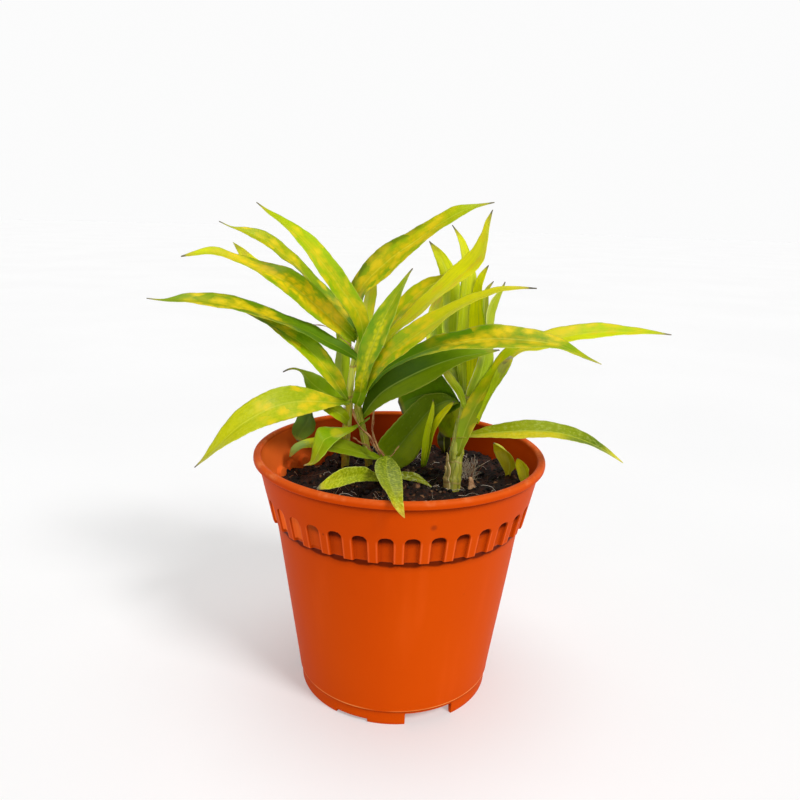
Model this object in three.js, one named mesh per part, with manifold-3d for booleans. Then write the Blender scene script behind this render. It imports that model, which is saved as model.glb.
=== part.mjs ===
// Potted dracaena: a young gold-spotted dracaena with several thin stems in a moulded terracotta-orange plastic nursery pot.
// Units are millimetres, +Z is up, -Y is the front. The origin is under the middle of the whole plant's outline, at the level
// that the pot's feet stand on. The dimensions below are taken from the pot's axis, which stands at POT_X, POT_Y.
import * as THREE from "three";
import { mergeVertices } from "three/addons/utils/BufferGeometryUtils.js";
import Module from "manifold-3d";

// ---- driving dimensions ----
const POT_X = -5.5; // the pot's axis, seen from the middle of the whole outline
const POT_Y = 2.3;
const GAP = 0.3; // clearance between touching pieces
const SEGMENTS = 36; // facets round the pot, one to each flute

const RIM_OUTER_R = 75; // rolled rim, outside (a six inch nursery pot)
const RIM_INNER_R = 71;
const RIM_TOP_Z = 128.3;
const RIM_LOW_Z = 124.9;
const WALL = 1.5; // moulded wall
const NECK_R = 72.6; // outside, just under the rim
const BAND_R = 66.34; // outside, at the lower edge of the fluted band
const BAND_Z = 95.46; // lower edge of the fluted band
const BODY_TOP_R = 64.0; // outside, just under the band
const BODY_LOW_R = 51.78; // outside, at the seam over the foot ring
const SEAM_Z = 8.16; // seam over the foot ring
const FOOT_R = 50.58; // foot ring, outside
const FOOT_INNER_R = 48.6;
const FLOOR_Z = 6.2; // underside of the pot's floor
const FLOOR_T = 2.0;

const FLUTES = 36; // sunk flutes round the band
const FLUTE_PHASE = 5.888; // degrees, azimuth of one flute's centre from -Y
const FLUTE_HALF_W = 3.42;
const FLUTE_TOP_Z = 109.1; // crown of the flute's arch
const FLUTE_SHOULDER_Z = 107.0;
const FLUTE_DEPTH = 1.9;

const DRAIN_HOLES = 6;
const DRAIN_HOLE_R = 5;
const DRAIN_RING_R = 31;

const SOIL_Z = 108.8; // level of the potting mix at the pot's axis
const SOIL_RISE_X = 0.045; // the mix is banked a little up to the right
const SOIL_DIP = 4.6, SOIL_DIP_X = -50, SOIL_DIP_Y = 42, SOIL_DIP_R = 13; // a hollow by the wall, at the back left
const SOCKET_DEPTH = 9; // how far the stems go down into the mix

const LEAF_T = 0.55; // leaf blade thickness
const LEAF_FOLD = 0.12; // depth of the keel along the midrib, as a share of the blade's width
const LEAF_STEPS = 9; // rings along a blade

// Stems, from the mix upward. r0 and r1 are the radii at the foot and at the head.
const STEMS = [
  { name: "stem_left_front", r0: 2.3, r1: 1.6, path: [[-30.8, 30, 108.6], [-30.5, 29.3, 118], [-30, 28.7, 127.4], [-29.2, 27.9, 136.7], [-28.7, 26.1, 146], [-27.9, 25.1, 155.4], [-26.7, 25, 164.7], [-24.9, 25.7, 173.9], [-22.1, 27, 182.8]] },
  { name: "stem_left_back", r0: 2.2, r1: 1.6, path: [[-16.9, 25, 107.8], [-17.9, 25, 116.2], [-19.4, 25, 124.5], [-21.3, 24.9, 132.8], [-23, 23.9, 141], [-23.5, 21.9, 149.2], [-22.1, 20, 157.2], [-18.8, 20, 165.1], [-15.2, 22, 172.5]] },
  { name: "stem_short_front", r0: 1.7, r1: 1.3, path: [[-8.5, 9, 109.2], [-8.4, 8.8, 110.5], [-8.3, 8.5, 111.8], [-8.2, 8.3, 113.1], [-8.1, 8.1, 114.4], [-8, 7.8, 115.7], [-7.9, 7.5, 117], [-7.8, 7.3, 118.3], [-7.7, 7, 119.6]] },
  { name: "stem_right", r0: 3.9, r1: 2.2, path: [[27.6, -10, 109.8], [28, -9.4, 115.9], [28.5, -8.6, 121.9], [29.1, -7.5, 128], [29.9, -6.2, 133.9], [30.8, -4.5, 139.7], [31.8, -2.6, 145.5], [32.6, -0.7, 151.2], [33.3, 1, 157.1]] },
  { name: "stem_small_shoot", r0: 1.3, r1: 1.0, path: [[13.4, 23, 110.1], [13.4, 22.8, 111.7], [13.4, 22.5, 113.3], [13.5, 22.3, 115], [13.6, 22, 116.6], [13.8, 21.8, 118.2], [14, 21.5, 119.9], [14.2, 21.3, 121.5], [14.5, 21, 123.1]] },
];

// Dry leaf remains between the stems.
const TWIGS = [
  { name: "dry_twig_1", r0: 0.75, r1: 0.9, path: [[-25.9, 19, 143.5], [-24, 18.2, 137.9], [-20.8, 16.3, 133.7], [-16.9, 14.1, 129.7], [-13.6, 12.8, 125.1], [-10.5, 12, 120.1]] },
  { name: "dry_twig_2", r0: 0.7, r1: 0.9, path: [[-14.5, 19, 143.3], [-14.9, 18.1, 137.8], [-14.9, 16.7, 132.6], [-14.2, 14.8, 127.9], [-11.5, 12.3, 123.8], [-8, 10, 120.3]] },
  { name: "dry_twig_3", r0: 0.6, r1: 0.7, path: [[-25.6, 18, 127.4], [-23.3, 17.3, 126.5], [-20.9, 16.7, 125.4], [-18.7, 16.2, 124.1], [-16.6, 15.8, 122.7], [-14.5, 15.5, 121.1]] },
  { name: "dry_twig_4", r0: 0.45, r1: 0.6, path: [[-0.4, 12, 125.5], [-1.2, 11.6, 124.2], [-2.2, 11.1, 123], [-3.2, 10.6, 121.8], [-4.2, 10.1, 120.7], [-5.3, 9.5, 119.7]] },
  { name: "dry_twig_5", r0: 0.7, r1: 0.35, path: [[-26.6, 31, 173.2], [-30.1, 33.7, 176.9], [-34.2, 35.7, 180.3], [-39, 37, 183.3], [-44.2, 38, 185.6], [-50, 38, 185.8]] },
];

// Leaf blades, from the base to the tip. Each row is the middle of the blade and the vector from there to its edge.
const LEAVES = [
  { name: "base_leaf_over_rim", tone: "g", stem: "stem_short_front", rows: [[-6.6, 7, 120.9, 1.6, -0, -0.1], [-6.7, -2.2, 121.1, 4.8, -0, -0.4], [-6.2, -12.4, 121.8, 6.1, -0, -0.4], [-5.5, -23.2, 123, 6.4, -0, -0.3], [-4.6, -34.4, 124.4, 6.2, -0, -0.3], [-3.8, -45.7, 126.1, 5.5, -0, -0.3], [-2.8, -56.8, 127.9, 4.7, -0, -0.3], [-1.8, -67.4, 129.8, 3.8, -0, -0.3], [-1, -74.5, 130.3, 3, -0, -0.3], [-0.2, -77.8, 129.4, 2.5, -0, -0.2], [0.7, -79.1, 127.7, 2, -0, -0.1], [1.7, -79.6, 125.8, 1.2, -0, -0.1], [2.9, -79.8, 123.9, 0.2, -0, 0]] },
  { name: "left_leaf_front_upright", tone: "g", stem: "stem_left_back", rows: [[-22.1, 15, 151.1, -2.3, 0.5, 0.1], [-21.2, 8.6, 159, -3.2, 1.5, -0.2], [-19.9, 5.3, 166, -3.8, 2.8, -0.3], [-18.7, 3.1, 172.6, -4.5, 3.6, 0.2], [-16.8, 1.2, 178.7, -5.2, 3.7, 0.7], [-14.4, -0.4, 184.6, -5.7, 3.7, 0.9], [-12.4, -1.8, 190.4, -5.9, 3.7, 0], [-10.1, -3, 196.1, -5.8, 3.7, -0.9], [-7.6, -4.2, 201.5, -5, 3.7, -1.3], [-4.9, -5.4, 206.8, -3.7, 3.6, -1], [-2.1, -6.5, 211.9, -2.4, 2.9, -0.7], [0.7, -7.3, 216.9, -1.1, 1.9, -0.3], [3.7, -7.7, 221.6, -0.1, 0.5, 0.1]] },
  { name: "left_leaf_low_yellow", tone: "g", stem: "stem_left_front", rows: [[-29.8, 20, 146.5, -0.3, -2.9, -0.4], [-37.1, 14.7, 148.2, 1, -3.6, -2.1], [-44.3, 9.6, 149.8, 1.1, -3.9, -4.5], [-51.2, 4.6, 151, 1.7, -3.7, -6.5], [-57.9, -0.3, 151.1, 1.4, -3.8, -7.8], [-64.3, -5, 150.2, 2.4, -4.5, -7.4], [-70.2, -9.6, 148.2, 3.3, -5.5, -6.2], [-75.8, -13.9, 145.6, 3.7, -6.3, -4.8], [-80.9, -18, 142.4, 3.8, -6.5, -3.5], [-85.4, -21.7, 138.4, 3.4, -6, -2.1], [-89.8, -24.8, 133.9, 2.4, -4.8, -0.6], [-94.2, -27, 129.2, 1.3, -2.1, 0.1], [-99.5, -27.9, 124.4, 0.1, -0.6, -0]] },
  { name: "left_leaf_upper_long", tone: "g", stem: "stem_left_front", rows: [[-21.1, 20, 179.7, -1.5, -0.7, -1], [-21.4, 17.4, 188.3, -3.4, -1.2, -1.1], [-23.6, 14.9, 196.1, -4.1, -2.3, -1.7], [-27.7, 12.6, 203.1, -3.8, -3.6, -2.4], [-32.2, 10.3, 209.3, -3.6, -4.5, -3], [-36.3, 8.3, 215.8, -3.5, -5, -3], [-40.7, 6.4, 221.8, -3.4, -5.4, -2.7], [-45.1, 4.7, 227.7, -2.7, -5.5, -2.7], [-49.9, 3.2, 233.1, -1.7, -5.4, -2.5], [-55.1, 1.9, 237.9, -1.3, -4.8, -1.7], [-60.8, 0.8, 242, -0.7, -3.7, -1.1], [-66.8, 0.1, 245.8, -0.1, -1.9, -0.7], [-72.3, -0.2, 250.2, 0.1, -0.3, -0.1]] },
  { name: "left_leaf_far_reach", tone: "g", stem: "stem_left_front", rows: [[-23.8, 22, 170.6, -0.9, -2.2, -0.7], [-31.9, 18, 176.6, -1.9, -3.2, -1.6], [-40.4, 14.3, 181.6, -1.8, -4.7, -1.8], [-48.4, 10.6, 186.8, -1.8, -6, -1.4], [-56.7, 7.2, 190.8, -1.4, -7, -1.1], [-65.1, 3.9, 194.1, -0.9, -7, -1.2], [-73.3, 0.9, 197.6, -0.4, -7.5, -1.7], [-81.5, -2, 200.4, -0.1, -7.2, -2.2], [-89.9, -4.6, 202.2, 0.2, -6.5, -2.5], [-98.3, -6.9, 203.5, 0.7, -5.6, -2.3], [-106.8, -8.8, 203.8, 0.8, -4.2, -1.6], [-115.5, -10.1, 203, 0.4, -1.4, -0.4], [-124.3, -10.6, 203.8, 0.1, -0.4, -0.1]] },
  { name: "left_leaf_long_crossing", tone: "g", stem: "stem_left_back", rows: [[-23.1, 14, 149.1, -2.9, 0.8, 1.1], [-19.5, 9.3, 159.8, -3.3, 2.3, 0.8], [-13.7, 2.1, 169.7, -2.9, 4.2, 1.6], [-7.2, -5.6, 178.4, -2.4, 5.4, 2.6], [-0.1, -12.4, 185.7, -2.3, 6.1, 3.8], [6.9, -17.9, 192.3, -2.3, 6.7, 3.3], [13.8, -22.1, 198.2, -2.2, 7.2, 2], [20.7, -25.2, 203.7, -1.8, 6.5, 1.1], [27.8, -27.4, 208.3, -1.1, 4.8, 1], [35.5, -29, 211.8, -0.7, 4.1, 1], [43.2, -30.1, 214.8, -0.1, 3, 0.9], [51.4, -30.8, 215.8, 0.2, 1.6, 0.5], [59.7, -31, 216, 0.1, 0.4, 0.1]] },
  { name: "left_leaf_plain_yellow", tone: "g", stem: "stem_left_back", rows: [[-12.6, 20, 177.3, -1.2, 2.6, 0.6], [-7.3, 16.1, 184.3, -1.1, 3.7, 0.7], [-1.6, 12.5, 190.7, -1.7, 5.1, 0.8], [4.2, 9.1, 196.5, -2.1, 6.4, 1.1], [9.7, 6, 202.3, -2.3, 7, 1.2], [15.1, 3.2, 208, -2.3, 7.4, 1.3], [20.6, 0.8, 213.3, -2.4, 7.3, 1.8], [26, -1.2, 218.5, -2.4, 6.8, 2.6], [31.5, -3, 223.4, -2.4, 6, 3.3], [35.7, -4.4, 229.3, -2, 4.9, 3.1], [37.9, -5.5, 236.1, -1.2, 3.6, 2.6], [38.8, -6.3, 243.2, -0.8, 2.1, 1.5], [40.5, -6.6, 249.9, -0, 0.3, 0.1]] },
  { name: "left_leaf_long_spotted", tone: "g", stem: "stem_left_back", rows: [[-18.9, 20, 154.9, -1.5, 2.5, 0.8], [-11.1, 11.4, 165.6, -1.7, 3.9, 0.9], [-1.9, 3.4, 173.7, -1.2, 5, 0.9], [7.6, -3.9, 180, -0.7, 6.6, 1.8], [17, -10.4, 185.2, -0.8, 7.2, 2.7], [26.7, -16, 188.2, -0.2, 7.3, 3.1], [36.2, -20.9, 190.8, 0.2, 7, 4.3], [45.6, -25.1, 192.2, 0.3, 6.7, 4.5], [54.9, -28.7, 192.5, 0.7, 6.3, 3.8], [64.1, -31.6, 192.2, 1.1, 5.6, 2.8], [73.2, -33.8, 190.6, 1.7, 4.3, 1.5], [81.8, -35.2, 186.5, 1.2, 2.1, 0.3], [90.8, -35.8, 183, 0.1, 0.3, 0.1]] },
  { name: "left_leaf_top_spotted", tone: "g", stem: "stem_left_front", rows: [[-22, 26, 176.5, -1.2, 2.5, -0.5], [-24.8, 25.8, 186.2, -2.5, 3.6, -0.8], [-25.4, 25.9, 196.1, -3.5, 4.6, 0.2], [-24.4, 25.4, 206.1, -4, 5.2, 1.9], [-18.9, 24.9, 214, -4.3, 5, 4.1], [-11.9, 24.3, 220.8, -3.9, 5, 5.6], [-4.6, 23.6, 227.2, -3, 5.5, 5.4], [3.2, 22.8, 232.7, -2.1, 6.1, 4.1], [10.8, 21.8, 238.3, -1.6, 6, 3.5], [18.4, 20.8, 243.8, -1.2, 5.2, 3.2], [26.4, 19.8, 248.4, -0.9, 3.9, 2.7], [35.1, 19, 251.5, -0.3, 2.4, 1], [44.1, 18.7, 253.7, 0, 0.4, 0.1]] },
  { name: "left_leaf_shaded_to_right", tone: "d", stem: "stem_left_back", rows: [[-20.2, 24, 139.5, -1.2, 1.7, 1.2], [-16.1, 20.2, 146.7, -3.1, 1.9, 2.7], [-11.4, 16.6, 153, -4.5, 2.5, 3.7], [-5.8, 13, 158.2, -4.7, 3, 5.2], [-0, 9.6, 162.6, -4.7, 3.4, 6], [5.8, 6.5, 166.6, -4.5, 4, 6.2], [11.7, 3.8, 170.3, -4.2, 4.9, 5.7], [17.5, 1.3, 173.6, -3.8, 5.7, 4.6], [23.4, -0.8, 176.4, -3.2, 6, 3.2], [29.5, -2.9, 178.7, -2.5, 5.5, 1.9], [35.6, -4.9, 180.2, -1.9, 4.3, 1.1], [41.8, -5.9, 181.5, -1.1, 2.5, 0.6], [48, -6, 182.8, -0.1, 0.9, 0.1]] },
  { name: "left_leaf_low_folded", tone: "g", stem: "stem_left_back", rows: [[-18.7, 24, 136, -0.2, -1.8, -0.2], [-21.6, 20.6, 134.6, -0, -1.6, -0.2], [-24.7, 17.6, 133.4, 0.4, -2.3, -0.3], [-27.8, 14.7, 132.6, 1.1, -3.8, -0.3], [-31.1, 11.8, 132.2, 2, -6.1, -0.4], [-34.5, 9, 132.1, 3, -6.4, -1.3], [-37.7, 6.2, 131.6, 3.6, -5.8, -2.5], [-40.2, 3.4, 130.5, 3.6, -5.2, -3.5], [-41.6, 0.8, 127.7, 3.2, -4.7, -3.1], [-42.9, -1.7, 125.1, 2.6, -4.3, -2.3], [-44.1, -3.7, 122.2, 1.7, -3.5, -1.1], [-45.8, -5.2, 120, 0.8, -2.2, -0.1], [-49.5, -5.8, 119.1, 0.1, -0.5, -0]] },
  { name: "left_leaf_under_shade", tone: "g", stem: "stem_left_front", rows: [[-30.3, 22, 149.6, -1.2, -2.1, -0.4], [-33.4, 19.9, 155.2, -2.9, -2.7, -0.3], [-36.6, 18.2, 160.7, -4.4, -3.6, -0.2], [-40, 16.6, 165.8, -4.5, -4.6, -0.4], [-43.5, 15.1, 170.7, -5.2, -5, -0.2], [-47.2, 13.6, 175.2, -5.8, -5.2, -0.2], [-51.3, 12.3, 179.4, -5.6, -5.3, -0.4], [-55.8, 11, 183, -5, -5.5, -0.5], [-60.4, 9.9, 186.1, -4.1, -5.4, -0.4], [-65.1, 8.9, 189.1, -3.1, -4.8, -0.1], [-70, 8.1, 191.7, -2.1, -3.7, -0.1], [-75.1, 7.6, 193.9, -1.1, -2.2, -0.2], [-80.3, 7.4, 195.8, 0.1, -0.7, -0.2]] },
  { name: "left_leaf_spotted_wide", tone: "g", stem: "stem_left_front", rows: [[-26.9, 22, 182.2, -0.7, -1.4, -1.7], [-33, 19, 188.7, -1, -1.7, -4.3], [-39.4, 16.6, 194.5, -1.9, -3, -5], [-45.6, 14.3, 200.3, -2.5, -4.5, -5.1], [-51.7, 12.2, 206.1, -2.6, -5.8, -5], [-58.2, 10.5, 211, -2.5, -6.8, -4.4], [-65.1, 9.2, 215.3, -2.8, -7.6, -3], [-72.6, 8.1, 218.3, -1.3, -8, -1.8], [-80.2, 7.1, 221.1, -0.9, -6.2, -1.2], [-87.6, 6.2, 223.9, -0.2, -4.2, -1.1], [-95.2, 5.5, 226, 0.6, -4.8, -1.8], [-103.3, 5.1, 224.9, 0.2, -2.8, -1.2], [-111.4, 4.9, 223.1, 0.2, -0.6, -0.2]] },
  { name: "left_leaf_upper_mid", tone: "g", stem: "stem_left_front", rows: [[-26.3, 24, 186.4, -0.9, -1.7, -0.8], [-31.3, 24.5, 192.4, -1.6, -2.6, -1.2], [-36.4, 24.5, 198.2, -2.2, -3.7, -1.3], [-41.8, 24.5, 203.8, -2.5, -4.7, -1.4], [-47.4, 24.7, 209, -2.2, -5.4, -1.6], [-52.1, 24.7, 215, -1.4, -5.6, -0.9], [-57.3, 24.4, 220.3, -1.1, -5.8, -1.3], [-63.2, 24, 224.9, -1.2, -5.8, -2.2], [-69, 23.6, 229.6, -1, -5.2, -2.5], [-75.4, 23.3, 233.3, -0.7, -4.4, -2.3], [-82.3, 23, 235.8, -0.1, -3.4, -1.6], [-89.6, 22.8, 237.5, 0.3, -1, -0.4], [-96.4, 22.7, 240.4, 0.1, -0.4, -0.1]] },
  { name: "right_leaf_low_arching", tone: "g", stem: "stem_right", rows: [[31.7, -8, 138.4, 0.4, 2.3, 0.3], [38.6, -9.3, 139.9, 0.4, 3.1, 0.9], [45.4, -10.7, 141.5, 0.1, 4, 1.9], [52.2, -12.1, 142.8, 0.4, 4.8, 2.6], [59, -13.4, 143.9, 0.8, 5.2, 3.1], [65.7, -14.7, 144.6, 1.1, 5.6, 2.9], [72.5, -15.8, 144.9, 1.4, 5.9, 2.6], [79.1, -17, 144.6, 1.8, 6, 2], [85.7, -18, 143.2, 2.3, 5.7, 1.4], [92.2, -19, 141.2, 2.3, 5, 0.8], [98.5, -19.7, 138.4, 1.8, 3.7, 0.3], [104.5, -20.3, 134.8, 1.1, 1.9, -0], [110.5, -20.5, 130.8, 0.1, 0.4, -0]] },
  { name: "right_leaf_far_reach", tone: "g", stem: "stem_right", rows: [[29.9, -11, 130.8, -1.6, 1.7, -0.6], [32.8, -9.3, 142, -3.4, 2.3, 0.3], [36.8, -8.5, 153, -4.7, 3.5, -0.6], [42.1, -8, 163.4, -3.7, 5.3, -1], [47.7, -5.6, 173.2, -2.1, 6.7, -0.6], [55.1, -3.5, 181.5, -2.2, 7.2, 0], [66, -1.9, 185.4, -1.1, 7.2, 2.4], [77.1, -0.6, 188.9, 0.3, 6.8, 3.1], [88.3, 0.5, 191.5, 0.8, 6.2, 3], [100, 1.5, 192.6, 0.9, 5.3, 2.8], [111.8, 2.2, 192.9, 0.8, 4, 1.7], [123.6, 2.7, 192.5, 0.7, 2.5, 0.7], [135.3, 2.9, 191.6, 0.1, 0.4, 0.1]] },
  { name: "base_leaf_front_left", tone: "g", stem: "stem_short_front", rows: [[-7.1, 6, 110, -0.2, -1.7, -1.2], [-10.1, 1.4, 110.6, 0.4, -2.9, -1.1], [-13, -3.1, 112.7, 0.2, -4.3, -0.9], [-15.9, -7.8, 115.1, 0, -5.2, -1.3], [-18.7, -12.5, 117.4, 0.1, -5.7, -1.8], [-21.5, -17.3, 119, 0.2, -5.9, -1.9], [-24.1, -22.2, 120.3, 0.2, -5.8, -2.3], [-26.6, -27.2, 121.4, 0.4, -5.5, -2.5], [-29, -32.1, 122.2, 0.5, -5, -2.5], [-31.2, -36.8, 122.7, 0.7, -4.2, -2.1], [-33.3, -40.9, 122.8, 0.8, -3.1, -1.6], [-35.5, -43.8, 122.6, 0.6, -1.8, -0.9], [-37.9, -45, 121.8, 0.2, -0.6, -0.1]] },
  { name: "base_leaf_front_right", tone: "g", stem: "stem_short_front", rows: [[-6.9, 5, 111.5, -0, 0.6, 1.1], [-4.6, 4.4, 111.6, -0.1, 1.4, 0.7], [-2.4, 3.6, 111.8, -0.1, 2.3, 0.5], [-0.2, 2.8, 112, -0.1, 2.8, 0.6], [2, 1.9, 112.3, -0, 3, 0.9], [4.2, 0.8, 112.5, -0, 3.1, 1.2], [6.4, -0.5, 112.7, -0, 3.1, 1.4], [8.5, -1.9, 112.9, 0.1, 3, 1.2], [10.5, -3.5, 112.7, 0.3, 2.9, 0.8], [12.4, -5.1, 112.1, 0.5, 2.6, 0.2], [14.2, -6.6, 111.5, 0.6, 1.8, -0.1], [16, -7.7, 110.8, 0.4, 1.1, -0.1], [17.9, -8.2, 109.8, 0, 0.5, 0.1]] },
  { name: "right_leaf_broad_shaded", tone: "d", stem: "stem_right", rows: [[28.7, 6, 152.8, 0.4, -2.6, -0.7], [24.4, 12, 151.5, 1.5, -2.8, -3.4], [20.2, 17.1, 148.3, 2.4, -2.9, -5.2], [16.5, 21.1, 144.7, 3.3, -2.9, -6.9], [13.2, 23.6, 140.2, 4.1, -2.7, -7.4], [10.3, 25, 135.8, 5.1, -2, -7.9], [7.4, 25.8, 131.4, 6.1, -1, -8.1], [4.4, 26.2, 127.2, 7, -0.3, -8.1], [1.4, 26.2, 122.9, 7.4, -0, -8.4], [-2, 26.1, 119, 7.6, -0, -8], [-5.2, 26, 115.2, 7, -0, -6.7], [-6.6, 25.8, 110.1, 4.3, -0, -4.5], [-5.6, 25.7, 104.9, 0.6, -0, -0.6]] },
  { name: "right_leaf_upright_dark", tone: "d", stem: "stem_right", rows: [[33.7, 3, 147, -0.9, -1.8, 0.5], [32.6, 5, 154.5, -2.4, -2.7, 0.8], [30.3, 6.5, 161.8, -3.6, -3.5, 1.3], [27.8, 10.5, 168.4, -4.2, -4.3, 1.6], [25.9, 14.9, 175.3, -4.5, -4.8, 1.4], [24.9, 19.2, 182.5, -4.6, -5.2, 1.1], [24.3, 23.5, 189.8, -4.6, -5.2, 0.7], [24.6, 27.7, 197.3, -4.7, -4.9, 0.3], [24.9, 31.8, 204.9, -4.8, -3.9, -0.3], [24.4, 35.6, 212.6, -4.7, -2.5, -1], [21.8, 38.2, 219.8, -4, -1.1, -0.8], [17.8, 39.6, 226.8, -2.7, -0.3, -0.5], [12.6, 40.1, 233, -0.2, -0.1, -0]] },
  { name: "right_leaf_upright_light", tone: "y", stem: "stem_right", rows: [[33.1, 0, 148.9, -1.2, -2.1, 0.5], [32.7, 4.6, 156.1, -2.4, -2.8, 0.6], [32.2, 7.4, 163.9, -3.3, -3.8, 0.8], [31.8, 11.5, 171.5, -3.9, -4.6, 0.8], [31.6, 14.4, 179.4, -4.3, -5.1, 0.8], [31.3, 16.4, 187.4, -4.6, -5.3, 0.7], [31.5, 18, 195.5, -4.7, -5.4, 0.5], [32, 19.6, 203.6, -4.6, -5.1, 0.2], [32.9, 21.2, 211.7, -4.6, -4.6, -0.2], [32.6, 23, 219.7, -3.9, -3.9, -0.4], [31, 24.6, 227.6, -2.6, -3, -0.2], [28.3, 25.9, 235.2, -1.6, -1.7, -0.1], [23.8, 26.4, 241.9, -0.1, -0.4, 0]] },
  { name: "right_leaf_upright_yellow", tone: "y", stem: "stem_right", rows: [[35.1, 5, 153, -0.6, 1.8, -0.5], [36.1, 3.7, 159.4, -1.9, 2.8, -0.7], [36.8, 4.6, 165.3, -2.8, 3.7, -0.9], [37.2, 6.8, 170.9, -3.2, 4.4, -1], [37.5, 9.2, 176.6, -3.6, 4.9, -1.1], [38.1, 10.9, 182.4, -4, 5, -1], [38.7, 12.3, 188.3, -4.2, 5.2, -0.9], [38.5, 13.9, 194.1, -3.6, 5.2, -0.9], [38.2, 15.6, 199.9, -2.8, 5, -0.7], [38.5, 17.3, 205.7, -2.5, 4.3, -0.1], [38.5, 18.8, 211.6, -1.9, 3.1, -0.1], [40.3, 19.9, 217.2, -1.5, 1.7, 0.2], [43.2, 20.4, 222.3, -0.1, 0.5, 0.1]] },
  { name: "right_leaf_edge_on", tone: "g", stem: "stem_right", rows: [[34.3, 3, 150.8, -1.6, -0.4, 0.6], [35.7, 1, 156.9, -2.8, -0.8, 0.7], [37.6, -0.6, 162.6, -4, -1.5, 1], [39.9, -0.5, 167.8, -4.6, -2.4, 1.4], [41.3, 1.1, 173, -4.5, -3.4, 1.8], [42.4, 2.8, 178.3, -4, -4.3, 2], [42.8, 4.2, 183.7, -3.3, -4.9, 1.8], [43, 5.4, 189.2, -2.8, -5.1, 1.4], [43.3, 6.7, 194.7, -2.5, -4.6, 1.1], [44.1, 7.8, 200.1, -2.6, -3.9, 0.8], [45.8, 8.7, 205.3, -2.5, -2.7, 0.2], [48.4, 9.4, 210.1, -1.5, -1.5, 0.1], [50.8, 9.6, 215, -0.2, -0.5, 0.2]] },
  { name: "right_leaf_short_torn", tone: "g", stem: "stem_right", rows: [[38.7, -12, 148.2, -0.9, 1.4, 0.1], [39.6, -13.8, 151.6, -0.7, 2.2, -0.3], [40.6, -14.8, 154.6, -0.7, 2.4, -0.4], [41.6, -15.3, 157.6, -0.8, 2.6, -0.4], [42.7, -15.7, 160.4, -0.9, 3, -0.5], [43.8, -16.1, 163.3, -1.1, 3.6, -0.6], [44.9, -16.2, 166.1, -1.3, 4.3, -0.7], [46.2, -15.6, 168.6, -1.7, 4.1, -0.7], [47.5, -14.7, 171.1, -2.1, 3.4, -0.6], [48.8, -14, 173.7, -2.5, 2.4, -0.3], [50, -13.3, 176.2, -2.6, 1.1, -0.1], [51.4, -12.9, 178.8, -2.2, 0.3, 0.1], [53.2, -12.7, 181.1, -0.8, 0, 0.2]] },
  { name: "right_leaf_dry_strip", tone: "y", stem: "stem_right", rows: [[31.6, -5, 154.9, -1.2, -0.1, -0.5], [31.1, -4.6, 156.4, -1.5, -0.5, -0.5], [30.4, -4.2, 157.8, -1.7, -1, -0.5], [29.8, -3.8, 159.2, -1.8, -1.6, -0.4], [29, -3.3, 160.5, -1.9, -1.9, -0.4], [28.1, -2.9, 161.8, -2, -2, -0.5], [27.1, -2.5, 163, -1.9, -2.1, -0.6], [26.1, -2.1, 164.2, -1.9, -1.9, -0.7], [25.2, -1.7, 165.5, -1.8, -1.5, -0.7], [24.3, -1.3, 166.7, -1.9, -0.9, -0.8], [23.4, -0.9, 168, -1.8, -0.3, -0.9], [22.6, -0.5, 169.3, -1.6, -0.1, -0.8], [21.8, -0.2, 170.7, -1.2, -0, -0.6]] },
  { name: "right_leaf_upright_inner", tone: "y", stem: "stem_right", rows: [[33.2, 4, 148.3, -0.9, -1.8, 0.5], [31.6, 7.1, 154.1, -2.1, -4, 1.1], [29.6, 10.3, 159.8, -3.3, -6.3, 1.8], [27, 13.9, 165.2, -4.5, -8.1, 2.4], [23.7, 17.9, 170.4, -5.5, -8.7, 2.4], [20.2, 22.2, 175.4, -6.4, -8.7, 2], [18.7, 26.6, 181.2, -7.2, -8.4, 1.4], [18.4, 30.9, 187.4, -7.3, -8, 1], [18.9, 34.9, 193.8, -6.7, -7.3, 0.8], [20.2, 38.5, 200.2, -5.8, -6.2, 0.6], [22.4, 41.5, 206.5, -4, -4.7, 0.4], [24.4, 43.5, 212.9, -2.3, -2.8, -0.3], [24.8, 44.4, 219.7, -0.2, -0.5, 0]] },
  { name: "shoot_leaf_upright", tone: "y", stem: "stem_small_shoot", rows: [[13.2, 20, 112.9, -1.1, 0.3, -0.2], [13.5, 18.6, 116.5, -1.4, 1, -0.3], [13.8, 17.4, 120.1, -1.6, 1.7, -0.4], [14.1, 16.8, 123.4, -1.7, 2.3, -0.5], [14.4, 16.9, 126.5, -1.7, 2.6, -0.6], [14.7, 17, 129.5, -1.6, 2.9, -0.7], [15.1, 17, 132.6, -1.5, 2.9, -0.7], [15.6, 16.7, 135.7, -1.5, 2.9, -0.6], [16.2, 16.4, 138.8, -1.5, 2.6, -0.5], [16.7, 16.2, 141.8, -1.3, 2.2, -0.4], [17.1, 16, 144.9, -1, 1.6, -0.4], [17.3, 15.8, 148, -0.6, 0.9, -0.3], [17.2, 15.7, 151, -0.1, 0.3, -0.1]] },
  { name: "shoot_leaf_leaning", tone: "y", stem: "stem_small_shoot", rows: [[14.6, 21, 113.2, -0.8, 0.9, -0.3], [15.2, 19, 117.2, -0.9, 1.4, -0.7], [15.7, 17.5, 121, -1, 2, -0.9], [16.3, 16.6, 124.5, -1.1, 2.5, -1.2], [16.8, 16.4, 127.9, -1.2, 2.9, -1.3], [17.4, 16.3, 131.1, -1.3, 3, -1.3], [18.2, 15.9, 134.4, -1.4, 3, -1], [19.3, 14.9, 137.7, -1.6, 2.8, -0.5], [20.6, 13.6, 141, -1.6, 2.4, -0.1], [22.3, 11.6, 144.2, -1.6, 1.9, 0.1], [23.9, 8.9, 147.4, -1.4, 1.1, 0.3], [25.7, 6.1, 150.6, -1, 0.5, 0.4], [27.7, 5, 153.1, -0.1, 0.1, 0.1]] },
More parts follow.
